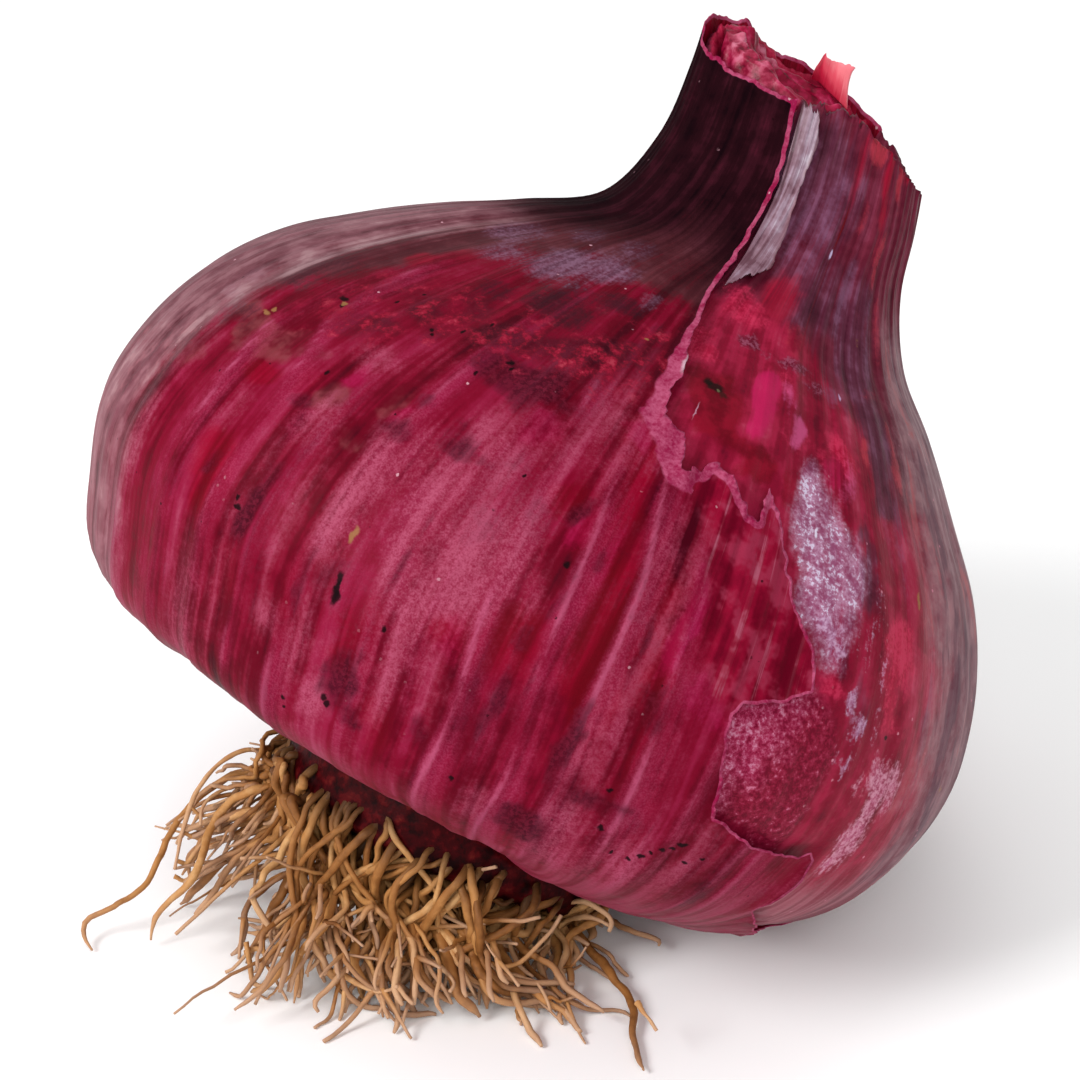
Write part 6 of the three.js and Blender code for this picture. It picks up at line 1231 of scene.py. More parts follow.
# ------------------------------------------------------------------------------ roots
ROOTS = [
    (0.42, 0.30, ((-40.76,-10.23,12.32),(-43.38,-13.10,12.58),(-44.80,-14.89,14.96),(-46.66,-12.09,14.30),(-49.18,-10.19,12.67),(-52.11,-11.24,11.07),(-54.45,-13.14,9.05),(-55.91,-15.29,6.86),(-57.01,-17.76,4.71),(-59.87,-19.72,3.52),(-63.08,-20.47,2.12),(-62.48,-23.05,0.28))),
    (0.50, 0.30, ((-39.06,-13.03,12.04),(-41.33,-14.24,11.15),(-43.75,-14.82,12.51),(-46.07,-15.37,14.09),(-48.27,-15.05,12.98),(-49.99,-15.24,11.20),(-51.07,-17.22,9.89),(-51.73,-19.45,8.69),(-52.71,-21.28,7.25),(-54.55,-21.50,5.44),(-55.99,-21.27,3.28),(-56.62,-22.07,0.96))),
    (0.50, 0.30, ((-38.49,-6.99,10.32),(-40.47,-8.29,9.89),(-41.88,-9.55,10.70),(-42.87,-10.53,12.10),(-43.64,-11.65,13.49),(-45.13,-12.41,13.77),(-46.86,-12.11,12.16),(-48.58,-11.60,10.59),(-50.11,-10.33,9.27),(-51.55,-8.85,8.06),(-53.01,-7.52,6.74),(-54.52,-7.00,4.98))),
    (0.55, 0.35, ((-37.39,-10.05,10.39),(-39.70,-11.41,10.22),(-41.28,-12.62,11.84),(-42.16,-14.27,13.58),(-43.63,-15.96,14.42),(-45.40,-16.90,12.92),(-47.33,-16.11,11.56),(-49.01,-14.59,10.38),(-50.62,-12.99,9.20),(-52.28,-12.43,7.40),(-52.95,-13.43,5.23),(-54.14,-13.42,3.02))),
    (0.50, 0.30, ((-34.80,-8.64,8.68),(-36.76,-10.65,8.34),(-38.19,-12.75,9.49),(-39.26,-14.66,11.28),(-41.04,-16.08,12.86),(-43.58,-16.41,11.89),(-45.86,-15.80,10.34),(-47.90,-14.54,8.77),(-50.00,-13.40,7.20),(-52.03,-11.94,5.79),(-53.79,-11.18,3.75),(-53.99,-11.38,0.98))),
    (0.60, 0.40, ((-36.51,-14.90,11.10),(-38.19,-16.99,11.08),(-38.61,-18.60,12.66),(-40.43,-18.76,12.80),(-42.33,-17.94,11.46),(-44.27,-17.13,10.16),(-46.32,-16.62,8.86),(-48.36,-16.30,7.51),(-50.20,-16.04,5.88),(-51.95,-15.95,4.14),(-53.48,-15.89,2.21),(-54.67,-14.74,0.37))),
    (0.55, 0.35, ((-31.93,-9.25,7.33),(-33.47,-11.36,6.84),(-34.20,-13.67,7.92),(-34.86,-15.72,9.56),(-36.44,-16.97,10.06),(-38.64,-16.02,8.89),(-40.96,-16.37,7.64),(-43.33,-16.50,6.42),(-45.64,-15.86,5.29),(-47.72,-14.54,4.24),(-49.77,-13.57,2.82),(-51.85,-13.86,1.17))),
    (0.60, 0.40, ((-36.59,-18.31,12.07),(-37.68,-19.07,10.90),(-38.66,-19.88,11.64),(-39.32,-20.94,12.26),(-39.25,-22.19,11.25),(-39.55,-22.35,9.72),(-40.24,-22.00,8.19),(-41.04,-22.19,6.68),(-41.36,-22.78,5.09),(-40.94,-23.11,3.46),(-39.94,-22.61,2.19),(-38.75,-21.64,1.39))),
    (0.50, 0.30, ((-30.25,-18.63,8.84),(-30.83,-18.71,7.53),(-31.53,-19.18,6.74),(-32.12,-19.78,6.87),(-32.69,-20.46,6.89),(-33.31,-21.16,6.29),(-34.28,-21.16,5.77),(-35.29,-20.72,5.44),(-36.37,-20.39,5.18),(-37.45,-20.25,4.89),(-38.47,-20.61,4.66),(-39.40,-21.20,4.49))),
    (0.60, 0.40, ((-34.87,-12.52,9.63),(-36.23,-14.35,8.46),(-36.92,-16.81,8.07),(-37.65,-19.29,8.91),(-37.72,-21.77,8.78),(-37.36,-24.22,7.69),(-37.94,-26.08,6.05),(-39.88,-26.26,4.43),(-42.13,-25.34,3.49),(-44.04,-23.77,2.66),(-45.88,-22.11,1.83),(-47.67,-20.42,0.98))),
    (0.55, 0.35, ((-39.34,-17.03,13.25),(-40.04,-17.33,11.67),(-40.76,-18.28,10.51),(-41.59,-19.58,9.83),(-42.34,-20.84,8.99),(-43.03,-22.06,8.06),(-43.75,-23.11,6.95),(-44.43,-24.07,5.73),(-45.00,-25.12,4.54),(-45.78,-25.85,3.24),(-46.62,-25.98,1.81),(-47.23,-25.30,0.39))),
    (0.60, 0.40, ((-35.07,-21.93,12.31),(-36.27,-22.62,10.93),(-37.75,-23.32,9.84),(-39.43,-23.90,8.99),(-40.87,-24.90,8.13),(-41.26,-26.68,7.40),(-41.50,-28.52,6.71),(-42.16,-30.27,6.06),(-43.00,-31.52,4.89),(-43.94,-31.79,3.18),(-45.33,-31.78,1.82),(-46.48,-30.67,0.66))),
    (0.55, 0.25, ((-32.08,-25.01,11.68),(-33.45,-25.31,10.56),(-35.14,-25.08,9.95),(-36.88,-24.56,9.64),(-38.17,-25.46,9.04),(-38.41,-27.27,8.51),(-38.80,-28.98,7.79),(-39.77,-30.30,6.82),(-40.77,-30.52,5.39),(-41.40,-30.49,3.79),(-41.59,-31.82,2.46),(-41.81,-32.95,0.96))),
    (0.60, 0.40, ((-33.59,-18.09,10.41),(-34.88,-18.88,9.07),(-36.23,-19.86,8.02),(-37.27,-21.19,7.10),(-38.47,-22.71,6.87),(-39.34,-24.41,6.65),(-39.93,-26.20,6.39),(-40.11,-27.99,5.82),(-39.99,-29.59,4.83),(-39.18,-30.53,3.47),(-37.86,-30.87,2.18),(-37.19,-30.79,0.47))),
    (0.60, 0.30, ((-32.36,-21.18,10.65),(-33.12,-22.50,9.94),(-33.77,-23.86,9.20),(-34.19,-25.36,8.52),(-34.06,-26.93,7.88),(-33.27,-28.41,7.42),(-32.35,-29.23,6.38),(-31.40,-29.42,4.97),(-30.60,-30.22,3.74),(-29.68,-31.07,2.63),(-28.39,-31.16,1.54),(-27.00,-30.72,0.67))),
    (0.60, 0.30, ((-29.66,-23.61,10.00),(-30.30,-24.18,9.01),(-31.33,-24.67,8.36),(-32.27,-25.38,7.75),(-31.90,-27.01,7.48),(-31.16,-28.62,7.35),(-30.81,-30.20,6.87),(-30.65,-31.73,6.16),(-30.21,-33.04,5.22),(-29.43,-33.85,4.07),(-28.35,-34.22,2.91),(-27.14,-34.79,1.96))),
    (0.58, 0.30, ((-32.79,-15.12,9.19),(-34.22,-16.49,7.46),(-34.93,-18.53,6.76),(-35.27,-20.77,6.94),(-35.78,-22.99,6.83),(-36.02,-25.25,6.37),(-36.13,-27.50,5.75),(-36.28,-29.78,5.12),(-36.09,-31.83,4.02),(-34.92,-32.79,2.44),(-32.81,-32.19,1.37),(-30.70,-31.68,0.28))),
    (0.60, 0.30, ((-31.51,-12.38,7.85),(-32.25,-14.47,6.64),(-32.76,-16.80,6.78),(-33.29,-18.94,7.72),(-33.97,-21.15,8.19),(-33.98,-23.40,7.64),(-33.76,-25.55,6.79),(-33.66,-27.75,5.96),(-33.47,-29.97,5.16),(-33.40,-32.00,3.99),(-33.57,-33.64,2.36),(-33.63,-34.58,0.28))),
    (0.75, 0.50, ((-28.14,-21.05,8.48),(-28.60,-22.64,8.10),(-28.99,-24.24,7.69),(-29.24,-25.86,7.25),(-29.24,-27.48,6.75),(-28.89,-29.04,6.20),(-28.22,-30.50,5.64),(-27.54,-31.91,5.00),(-27.04,-33.39,4.34),(-26.37,-34.57,3.36),(-25.45,-34.88,1.99),(-24.63,-34.79,0.50))),
    (0.65, 0.35, ((-25.04,-21.94,7.26),(-25.49,-23.19,7.10),(-25.90,-24.45,6.92),(-26.21,-25.72,6.65),(-26.34,-26.99,6.25),(-26.21,-28.21,5.69),(-25.86,-29.32,5.02),(-25.43,-30.37,4.28),(-25.02,-31.42,3.54),(-24.58,-32.41,2.74),(-24.20,-33.05,1.62),(-23.91,-33.32,0.33))),
    (0.60, 0.40, ((-21.72,-21.13,5.50),(-23.72,-21.30,4.79),(-24.75,-20.73,5.92),(-25.98,-20.57,6.70),(-26.88,-21.89,6.57),(-27.40,-23.41,5.84),(-27.88,-25.07,5.34),(-28.52,-26.40,4.46),(-29.34,-27.51,3.44),(-30.30,-28.72,2.63),(-31.37,-29.45,1.52),(-32.49,-30.04,0.37))),
    (0.60, 0.30, ((-26.00,-24.76,8.57),(-25.95,-26.30,8.22),(-25.86,-27.81,7.78),(-25.70,-29.26,7.16),(-25.43,-30.54,6.25),(-25.07,-31.70,5.20),(-24.61,-33.04,4.49),(-23.68,-33.97,3.66),(-22.39,-34.15,2.77),(-21.15,-33.46,2.09),(-19.98,-32.94,1.29),(-19.24,-33.83,0.28))),
    (0.60, 0.28, ((-25.54,-18.52,6.52),(-26.16,-19.88,4.96),(-25.88,-22.04,4.66),(-25.05,-24.05,4.58),(-24.02,-25.91,4.20),(-22.96,-27.73,3.78),(-21.87,-29.53,3.34),(-20.71,-31.29,2.92),(-19.54,-33.03,2.49),(-18.02,-34.01,1.62),(-16.42,-34.76,0.70),(-15.53,-36.63,0.26))),
    (0.60, 0.45, ((-25.45,-15.17,5.59),(-25.20,-15.56,4.99),(-24.73,-15.86,4.85),(-24.27,-16.18,4.70),(-23.89,-16.57,4.46),(-23.59,-17.00,4.16),(-23.34,-17.45,3.83),(-23.06,-17.91,3.54),(-22.75,-18.38,3.28),(-22.44,-18.84,3.01),(-22.13,-19.31,2.72),(-21.83,-19.77,2.44))),
    (0.55, 0.35, ((-22.66,-18.01,5.06),(-21.58,-18.79,4.26),(-20.51,-19.84,4.07),(-19.78,-21.16,3.83),(-18.91,-22.35,3.49),(-17.89,-23.39,3.03),(-17.41,-24.71,2.49),(-17.27,-26.16,2.07),(-17.37,-27.66,1.82),(-17.16,-29.10,1.40),(-16.60,-30.40,0.88),(-15.63,-31.44,0.32))),
    (0.72, 0.40, ((-20.40,-15.72,3.46),(-18.43,-17.16,2.27),(-16.67,-19.23,1.81),(-15.68,-21.92,1.84),(-14.32,-24.38,1.68),(-12.98,-26.85,1.47),(-11.97,-29.49,1.31),(-10.74,-32.02,1.03),(-10.20,-34.78,0.76),(-10.23,-37.61,0.57),(-10.07,-40.44,0.45),(-9.73,-43.27,0.37))),
    (0.80, 0.70, ((-18.90,-18.62,3.58),(-20.18,-18.90,2.13),(-20.09,-17.41,1.03),(-19.73,-16.11,0.86),(-18.89,-15.19,1.31),(-17.71,-15.64,1.25),(-16.86,-16.62,1.07),(-15.96,-17.53,0.94),(-14.96,-18.29,0.70),(-14.06,-19.21,0.68),(-13.85,-20.39,0.66),(-14.33,-21.55,0.64))),
    (0.55, 0.35, ((-28.20,-13.30,6.43),(-29.59,-14.70,5.77),(-30.81,-16.07,6.57),(-31.68,-17.26,7.94),(-32.08,-18.90,8.79),(-31.23,-20.36,7.90),(-30.21,-21.59,6.73),(-29.01,-22.83,5.74),(-28.81,-24.32,4.52),(-29.65,-25.59,3.31),(-31.10,-26.25,2.15),(-31.93,-26.94,0.48))),
    (0.55, 0.35, ((-28.37,-16.53,7.34),(-29.37,-18.24,6.41),(-29.49,-19.51,7.61),(-29.83,-20.85,8.72),(-30.41,-22.46,8.25),(-31.10,-23.80,7.12),(-31.75,-25.21,6.06),(-32.35,-26.81,5.26),(-33.04,-28.35,4.42),(-34.06,-29.29,3.18),(-35.09,-30.29,1.97),(-35.84,-30.61,0.32))),
    (0.45, 0.35, ((-28.37,-10.35,5.82),(-28.62,-9.58,4.20),(-28.36,-8.03,3.33),(-27.81,-6.37,2.92),(-27.11,-4.74,2.53),(-26.60,-3.02,2.16),(-25.90,-1.46,1.76),(-25.01,0.02,1.29),(-24.35,1.62,0.80),(-24.03,3.36,0.56),(-24.02,5.14,0.42),(-24.13,6.93,0.32))),
    (0.53, 0.35, ((-25.41,-10.63,4.48),(-25.27,-10.24,2.84),(-24.49,-9.42,1.90),(-23.53,-8.58,1.47),(-22.72,-7.66,0.93),(-22.36,-6.59,1.01),(-22.39,-5.83,1.60),(-22.82,-5.19,1.74),(-22.82,-4.30,1.58),(-22.25,-3.22,1.10),(-21.94,-2.41,0.64),(-21.52,-1.79,0.32))),
    (0.49, 0.35, ((-29.51,-7.14,5.67),(-30.20,-6.41,4.12),(-30.60,-4.80,3.36),(-30.76,-3.01,3.01),(-30.80,-1.20,2.66),(-30.72,0.56,2.13),(-30.43,2.29,1.58),(-30.26,4.06,1.09),(-30.50,5.85,0.76),(-30.98,7.62,0.55),(-31.62,9.35,0.41),(-32.33,11.05,0.32))),
    (0.56, 0.35, ((-23.00,-13.63,4.09),(-23.01,-13.39,2.92),(-22.47,-12.98,2.20),(-21.80,-12.54,1.89),(-21.30,-11.94,1.56),(-21.30,-11.13,0.89),(-21.98,-10.07,0.49),(-21.93,-8.87,0.47),(-21.17,-7.65,0.43),(-21.07,-6.40,0.40),(-20.91,-5.22,0.36),(-20.35,-4.14,0.32))),
    (0.48, 0.35, ((-25.66,-7.47,3.91),(-25.76,-6.80,2.59),(-25.26,-5.76,1.89),(-24.57,-4.76,1.70),(-24.01,-3.77,1.41),(-23.42,-2.67,1.20),(-22.90,-1.62,0.82),(-22.50,-0.60,0.42),(-21.26,0.97,0.39),(-20.35,2.62,0.37),(-19.60,4.28,0.35),(-18.95,5.93,0.32))),
    (0.54, 0.35, ((-32.16,-5.43,6.64),(-32.94,-4.94,5.41),(-33.60,-3.83,4.57),(-34.05,-2.46,4.02),(-34.30,-1.03,3.50),(-34.18,0.36,2.84),(-33.70,1.69,2.21),(-33.29,3.07,1.64),(-33.47,4.52,1.17),(-34.13,5.88,0.86),(-35.00,7.15,0.66),(-35.95,8.36,0.50))),
    (0.60, 0.35, ((-22.06,-10.60,2.96),(-22.18,-10.34,2.35),(-22.13,-9.98,2.06),(-21.95,-9.69,2.00),(-21.68,-9.57,1.99),(-21.32,-9.62,1.84),(-20.65,-9.50,1.56),(-19.94,-9.43,1.27),(-19.35,-9.20,0.98),(-18.89,-8.78,0.71),(-18.59,-8.14,0.50),(-18.51,-7.51,0.32))),
    (0.59, 0.35, ((-27.62,-4.59,4.25),(-28.15,-3.40,2.88),(-27.69,-1.84,2.12),(-26.89,-0.34,1.83),(-26.00,1.11,1.54),(-25.43,2.91,1.41),(-25.36,4.81,1.16),(-25.34,6.72,0.93),(-24.88,8.55,0.71),(-24.05,10.26,0.54),(-23.03,11.89,0.42),(-21.95,13.46,0.32))),
    (0.48, 0.35, ((-35.40,-5.35,8.30),(-36.78,-4.64,6.64),(-37.90,-2.93,5.64),(-38.81,-0.92,5.03),(-39.72,1.11,4.46),(-40.79,2.97,3.65),(-41.88,4.79,2.77),(-43.03,6.61,1.97),(-44.27,8.44,1.36),(-45.59,10.27,0.97),(-46.97,12.09,0.70),(-48.37,13.90,0.50))),
    (0.56, 0.35, ((-22.72,-6.95,2.47),(-23.37,-6.92,2.21),(-23.74,-6.57,1.76),(-23.83,-6.28,1.52),(-23.87,-6.08,1.27),(-23.78,-5.86,0.82),(-23.43,-5.60,0.51),(-23.10,-5.32,0.47),(-22.35,-4.95,0.44),(-21.74,-4.21,0.40),(-21.27,-3.49,0.36),(-20.96,-2.92,0.32))),
    (0.60, 0.35, ((-30.81,-2.71,5.44),(-31.63,-1.43,3.94),(-31.82,0.78,3.37),(-31.64,3.08,3.26),(-31.36,5.38,3.12),(-30.92,7.59,2.63),(-30.24,9.74,2.11),(-29.70,11.95,1.64),(-29.69,14.23,1.29),(-30.06,16.51,1.06),(-30.66,18.74,0.89),(-31.37,20.95,0.77))),
    (0.56, 0.35, ((-19.31,-12.13,2.12),(-19.50,-11.90,1.50),(-19.52,-11.50,1.19),(-19.45,-11.10,1.17),(-19.28,-10.80,1.22),(-19.00,-10.62,1.11),(-18.54,-10.65,0.95),(-18.06,-10.70,0.80),(-17.72,-10.48,0.65),(-17.57,-10.01,0.52),(-17.60,-9.40,0.40),(-17.78,-9.04,0.32))),
    (0.53, 0.35, ((-24.94,-3.47,2.79),(-25.01,-2.54,1.40),(-24.32,-1.19,0.69),(-23.58,0.24,0.59),(-22.57,1.67,0.86),(-21.74,3.20,0.90),(-20.88,4.71,0.81),(-20.06,6.25,0.71),(-19.43,7.87,0.60),(-19.11,9.57,0.50),(-19.00,11.31,0.41),(-18.99,13.05,0.32))),
    (0.47, 0.35, ((-34.64,-2.33,7.32),(-35.77,-1.77,5.90),(-36.81,-0.46,4.99),(-37.64,1.16,4.42),(-38.29,2.87,3.88),(-38.71,4.59,3.17),(-38.84,6.36,2.44),(-38.90,8.16,1.79),(-39.11,9.99,1.29),(-39.43,11.84,0.94),(-39.78,13.71,0.69),(-40.16,15.57,0.50))),
    (0.55, 0.35, ((-19.76,-7.84,1.36),(-19.87,-7.79,0.94),(-19.82,-7.66,0.83),(-19.81,-7.54,0.80),(-19.78,-7.39,0.76),(-19.72,-7.09,0.67),(-19.70,-6.69,0.61),(-19.68,-6.30,0.55),(-19.67,-5.96,0.52),(-19.70,-5.71,0.41),(-19.78,-5.57,0.36),(-19.73,-5.37,0.32))),
]


def spline(points, count):
    """Centripetal-like smooth curve through the points, resampled evenly."""
    p = np.array(points, float)
    ext = np.vstack([2 * p[0] - p[1], p, 2 * p[-1] - p[-2]])
    out = []
    for i in range(1, len(ext) - 2):
        p0, p1, p2, p3 = ext[i - 1 : i + 3]
        for t in np.linspace(0, 1, 12, endpoint=False):
            out.append(0.5 * (2 * p1 + (p2 - p0) * t + (2 * p0 - 5 * p1 + 4 * p2 - p3) * t * t + (3 * p1 - p0 - 3 * p2 + p3) * t**3))
    out.append(p[-1])
    out = np.array(out)
    L = np.concatenate([[0], np.cumsum(np.linalg.norm(np.diff(out, axis=0), axis=1))])
    g = np.linspace(0, L[-1], count)
    return np.stack([np.interp(g, L, out[:, k]) for k in range(3)], -1), L[-1]


def tube(path, radius, sides, seed, lump=0.12, start_closed=True):
    """Closed tube of uneven radius along a path. Returns vertices, quads, triangles and how far along each vertex is."""
    n = len(path)
    tang = np.gradient(path, axis=0)
    tang /= np.maximum(np.linalg.norm(tang, axis=1, keepdims=True), 1e-9)
    up = np.array([0.0, 0.0, 1.0])
    nor = np.cross(up, tang[0])
    if np.linalg.norm(nor) < 1e-3:
        nor = np.array([1.0, 0, 0])
    nor /= np.linalg.norm(nor)
    rings = []
    ang = np.arange(sides) * 2 * math.pi / sides
    for i in range(n):
        nor = nor - tang[i] * (nor @ tang[i])
        nor /= np.linalg.norm(nor)
        bi = np.cross(tang[i], nor)
        r = radius[i] * (1 + lump * noise(np.cos(ang) * 1.3 + seed, np.sin(ang) * 1.3, i * 0.5, seed) + lump * 0.9 * float(noise(i * 0.22, seed * 1.7, 0, 5)))
        rings.append(path[i] + r[:, None] * (np.cos(ang)[:, None] * nor + np.sin(ang)[:, None] * bi))
    verts = np.concatenate([path[:1], np.concatenate(rings), path[-1:]])
    quads = grid_faces(n, sides, True) + 1
    j = np.arange(sides)
    k = (j + 1) % sides
    t1 = np.stack([np.zeros(sides, int), 1 + k, 1 + j], -1)
    t2 = np.stack([1 + (n - 1) * sides + j, 1 + (n - 1) * sides + k, np.full(sides, 1 + n * sides)], -1)
    along = np.concatenate([[0], np.repeat(np.linspace(0, 1, n), sides), [1]])
    return verts, quads, np.concatenate([t1, t2]), along


# thin strands standing away from the tuft: (number of the root they belong to, thickness, points)
FINE = [
    (1, 0.30, ((-43.52, -10.00, 14.95), (-45.78, -11.00, 15.82), (-48.24, -12.00, 16.14), (-50.48, -13.00, 15.16), (-51.99, -14.00, 13.72), (-52.99, -15.00, 11.83), (-53.65, -16.00, 9.86), (-54.17, -17.00, 8.12), (-54.55, -18.00, 6.39))),
    (1, 0.28, ((-48.40, -12.00, 12.43), (-49.93, -13.00, 12.38), (-51.20, -14.00, 12.02), (-52.01, -15.00, 11.21), (-52.10, -16.00, 10.09))),
    (1, 0.24, ((-53.00, -15.00, 11.60), (-52.03, -15.00, 10.74), (-50.61, -15.00, 11.05), (-49.74, -14.00, 11.40))),
    (1, 0.24, ((-53.68, -16.00, 9.31), (-52.63, -16.00, 8.85), (-51.53, -16.00, 9.31), (-50.53, -15.00, 9.81))),
    (2, 0.26, ((-54.50, -17.00, 6.80), (-53.58, -17.00, 6.48), (-52.58, -17.00, 7.73), (-51.72, -17.00, 8.82), (-50.62, -16.00, 8.54))),
    (2, 0.24, ((-54.59, -18.00, 5.61), (-53.54, -18.00, 5.06), (-52.54, -18.00, 6.31), (-51.54, -18.00, 7.71))),
    (3, 0.26, ((-44.02, -9.00, 12.60), (-45.98, -10.00, 12.70), (-47.54, -11.00, 12.33), (-48.99, -12.00, 11.34), (-49.90, -13.00, 10.05), (-50.42, -14.00, 8.29))),
    (3, 0.22, ((-47.55, -11.00, 12.17), (-46.49, -11.00, 11.39), (-45.21, -10.00, 11.45), (-44.31, -9.00, 11.98))),
    (3, 0.22, ((-45.98, -10.00, 12.70), (-45.20, -10.00, 11.60), (-44.11, -9.00, 10.09))),
    (3, 0.24, ((-43.99, -9.00, 9.46), (-45.67, -10.00, 10.19), (-47.23, -11.00, 9.98), (-48.54, -12.00, 9.00))),
    (26, 0.26, ((-10.09, -39.00, 5.04), (-9.61, -40.00, 4.67), (-9.00, -40.80, 4.31), (-8.39, -41.50, 3.59))),
    (27, 0.34, ((-22.73, -21.00, 6.90), (-20.86, -22.00, 6.58), (-18.74, -23.00, 6.28), (-16.64, -24.00, 6.43), (-14.68, -25.00, 7.06), (-12.86, -26.00, 6.45), (-12.21, -26.50, 5.70), (-12.48, -27.00, 4.94))),
    (27, 0.30, ((-21.94, -21.00, 4.57), (-20.34, -22.00, 4.57), (-18.74, -23.00, 3.95), (-17.69, -24.00, 2.88), (-18.48, -25.00, 1.96), (-20.06, -26.00, 2.14), (-21.24, -26.00, 2.60))),
    (27, 0.30, ((-17.69, -24.00, 3.03), (-16.50, -24.00, 4.27), (-15.07, -25.00, 5.37), (-13.64, -26.00, 5.84), (-12.34, -26.50, 5.39))),
    (25, 0.34, ((-18.74, -23.00, 4.03), (-17.30, -25.00, 3.51), (-16.39, -27.00, 2.94), (-16.92, -29.00, 2.23), (-16.55, -31.00, 1.85), (-15.65, -32.50, 1.62))),
    (25, 0.28, ((-22.73, -21.00, 6.90), (-22.06, -22.00, 5.50), (-21.12, -23.00, 5.35))),
    (24, 0.34, ((-24.71, -21.00, 7.82), (-23.11, -22.00, 6.43), (-21.79, -23.00, 4.26), (-20.59, -25.00, 3.20), (-19.40, -27.00, 2.16), (-18.49, -30.00, 1.50), (-17.33, -33.00, 1.18), (-15.69, -36.00, 0.60), (-15.19, -37.00, 0.52))),
    (24, 0.30, ((-21.12, -25.00, 3.20), (-19.40, -25.00, 3.98), (-17.69, -25.00, 3.67))),
    (22, 0.30, ((-27.93, -24.00, 8.12), (-27.51, -26.00, 6.30), (-26.30, -28.00, 4.81), (-24.97, -30.00, 4.26), (-23.14, -31.00, 3.38), (-21.07, -32.00, 3.27), (-19.39, -33.00, 3.17), (-18.49, -34.00, 2.16), (-17.98, -35.00, 1.30))),
    (19, 0.30, ((-31.76, -27.00, 7.69), (-30.94, -29.00, 5.75), (-29.71, -31.00, 4.91), (-27.98, -33.00, 4.69), (-26.91, -35.00, 4.49), (-27.26, -36.00, 4.24))),
    (18, 0.30, ((-33.58, -31.00, 4.91), (-32.99, -33.00, 4.38), (-32.01, -35.00, 4.03), (-30.67, -37.00, 3.55))),
    (18, 0.28, ((-35.26, -31.00, 4.91), (-34.17, -33.00, 3.17), (-33.45, -35.00, 2.21), (-33.01, -36.50, 1.70))),
    (14, 0.28, ((-38.14, -31.00, 3.38), (-36.10, -33.00, 3.17), (-34.00, -34.00, 2.92), (-32.14, -35.00, 4.18))),
    (12, 0.30, ((-46.88, -27.00, 3.86), (-46.60, -28.00, 2.19), (-46.19, -29.00, 0.53), (-44.84, -29.50, 0.55), (-43.41, -29.00, 1.46))),
    (12, 0.26, ((-47.06, -27.00, 2.63), (-45.86, -27.00, 3.09), (-44.48, -28.00, 2.97), (-42.90, -28.00, 3.27))),
    (13, 0.30, ((-41.39, -29.00, 3.31), (-41.50, -30.00, 1.81), (-41.72, -31.22, 0.30))),
]


def wander(path, length, amount, seed, step=3.1):
    t = np.linspace(0, 1, len(path))
    wig = np.stack([noise(t * length / step, seed * 3.1, k * 7.7, 150) + 0.4 * noise(t * length / step * 2.7, seed * 1.3, k * 5.1, 151) for k in range(3)], -1)
    return path + wig * (amount * smooth(0, 0.12, t))[:, None]


def above_floor(path, radius):
    path = path.copy()
    low = radius * 0.9 + 0.02
    path[:, 2] = np.where(path[:, 2] < low + 0.5, low + 0.5 * np.exp((np.minimum(path[:, 2], low + 0.5) - low - 0.5) / 0.5), path[:, 2])
    return path


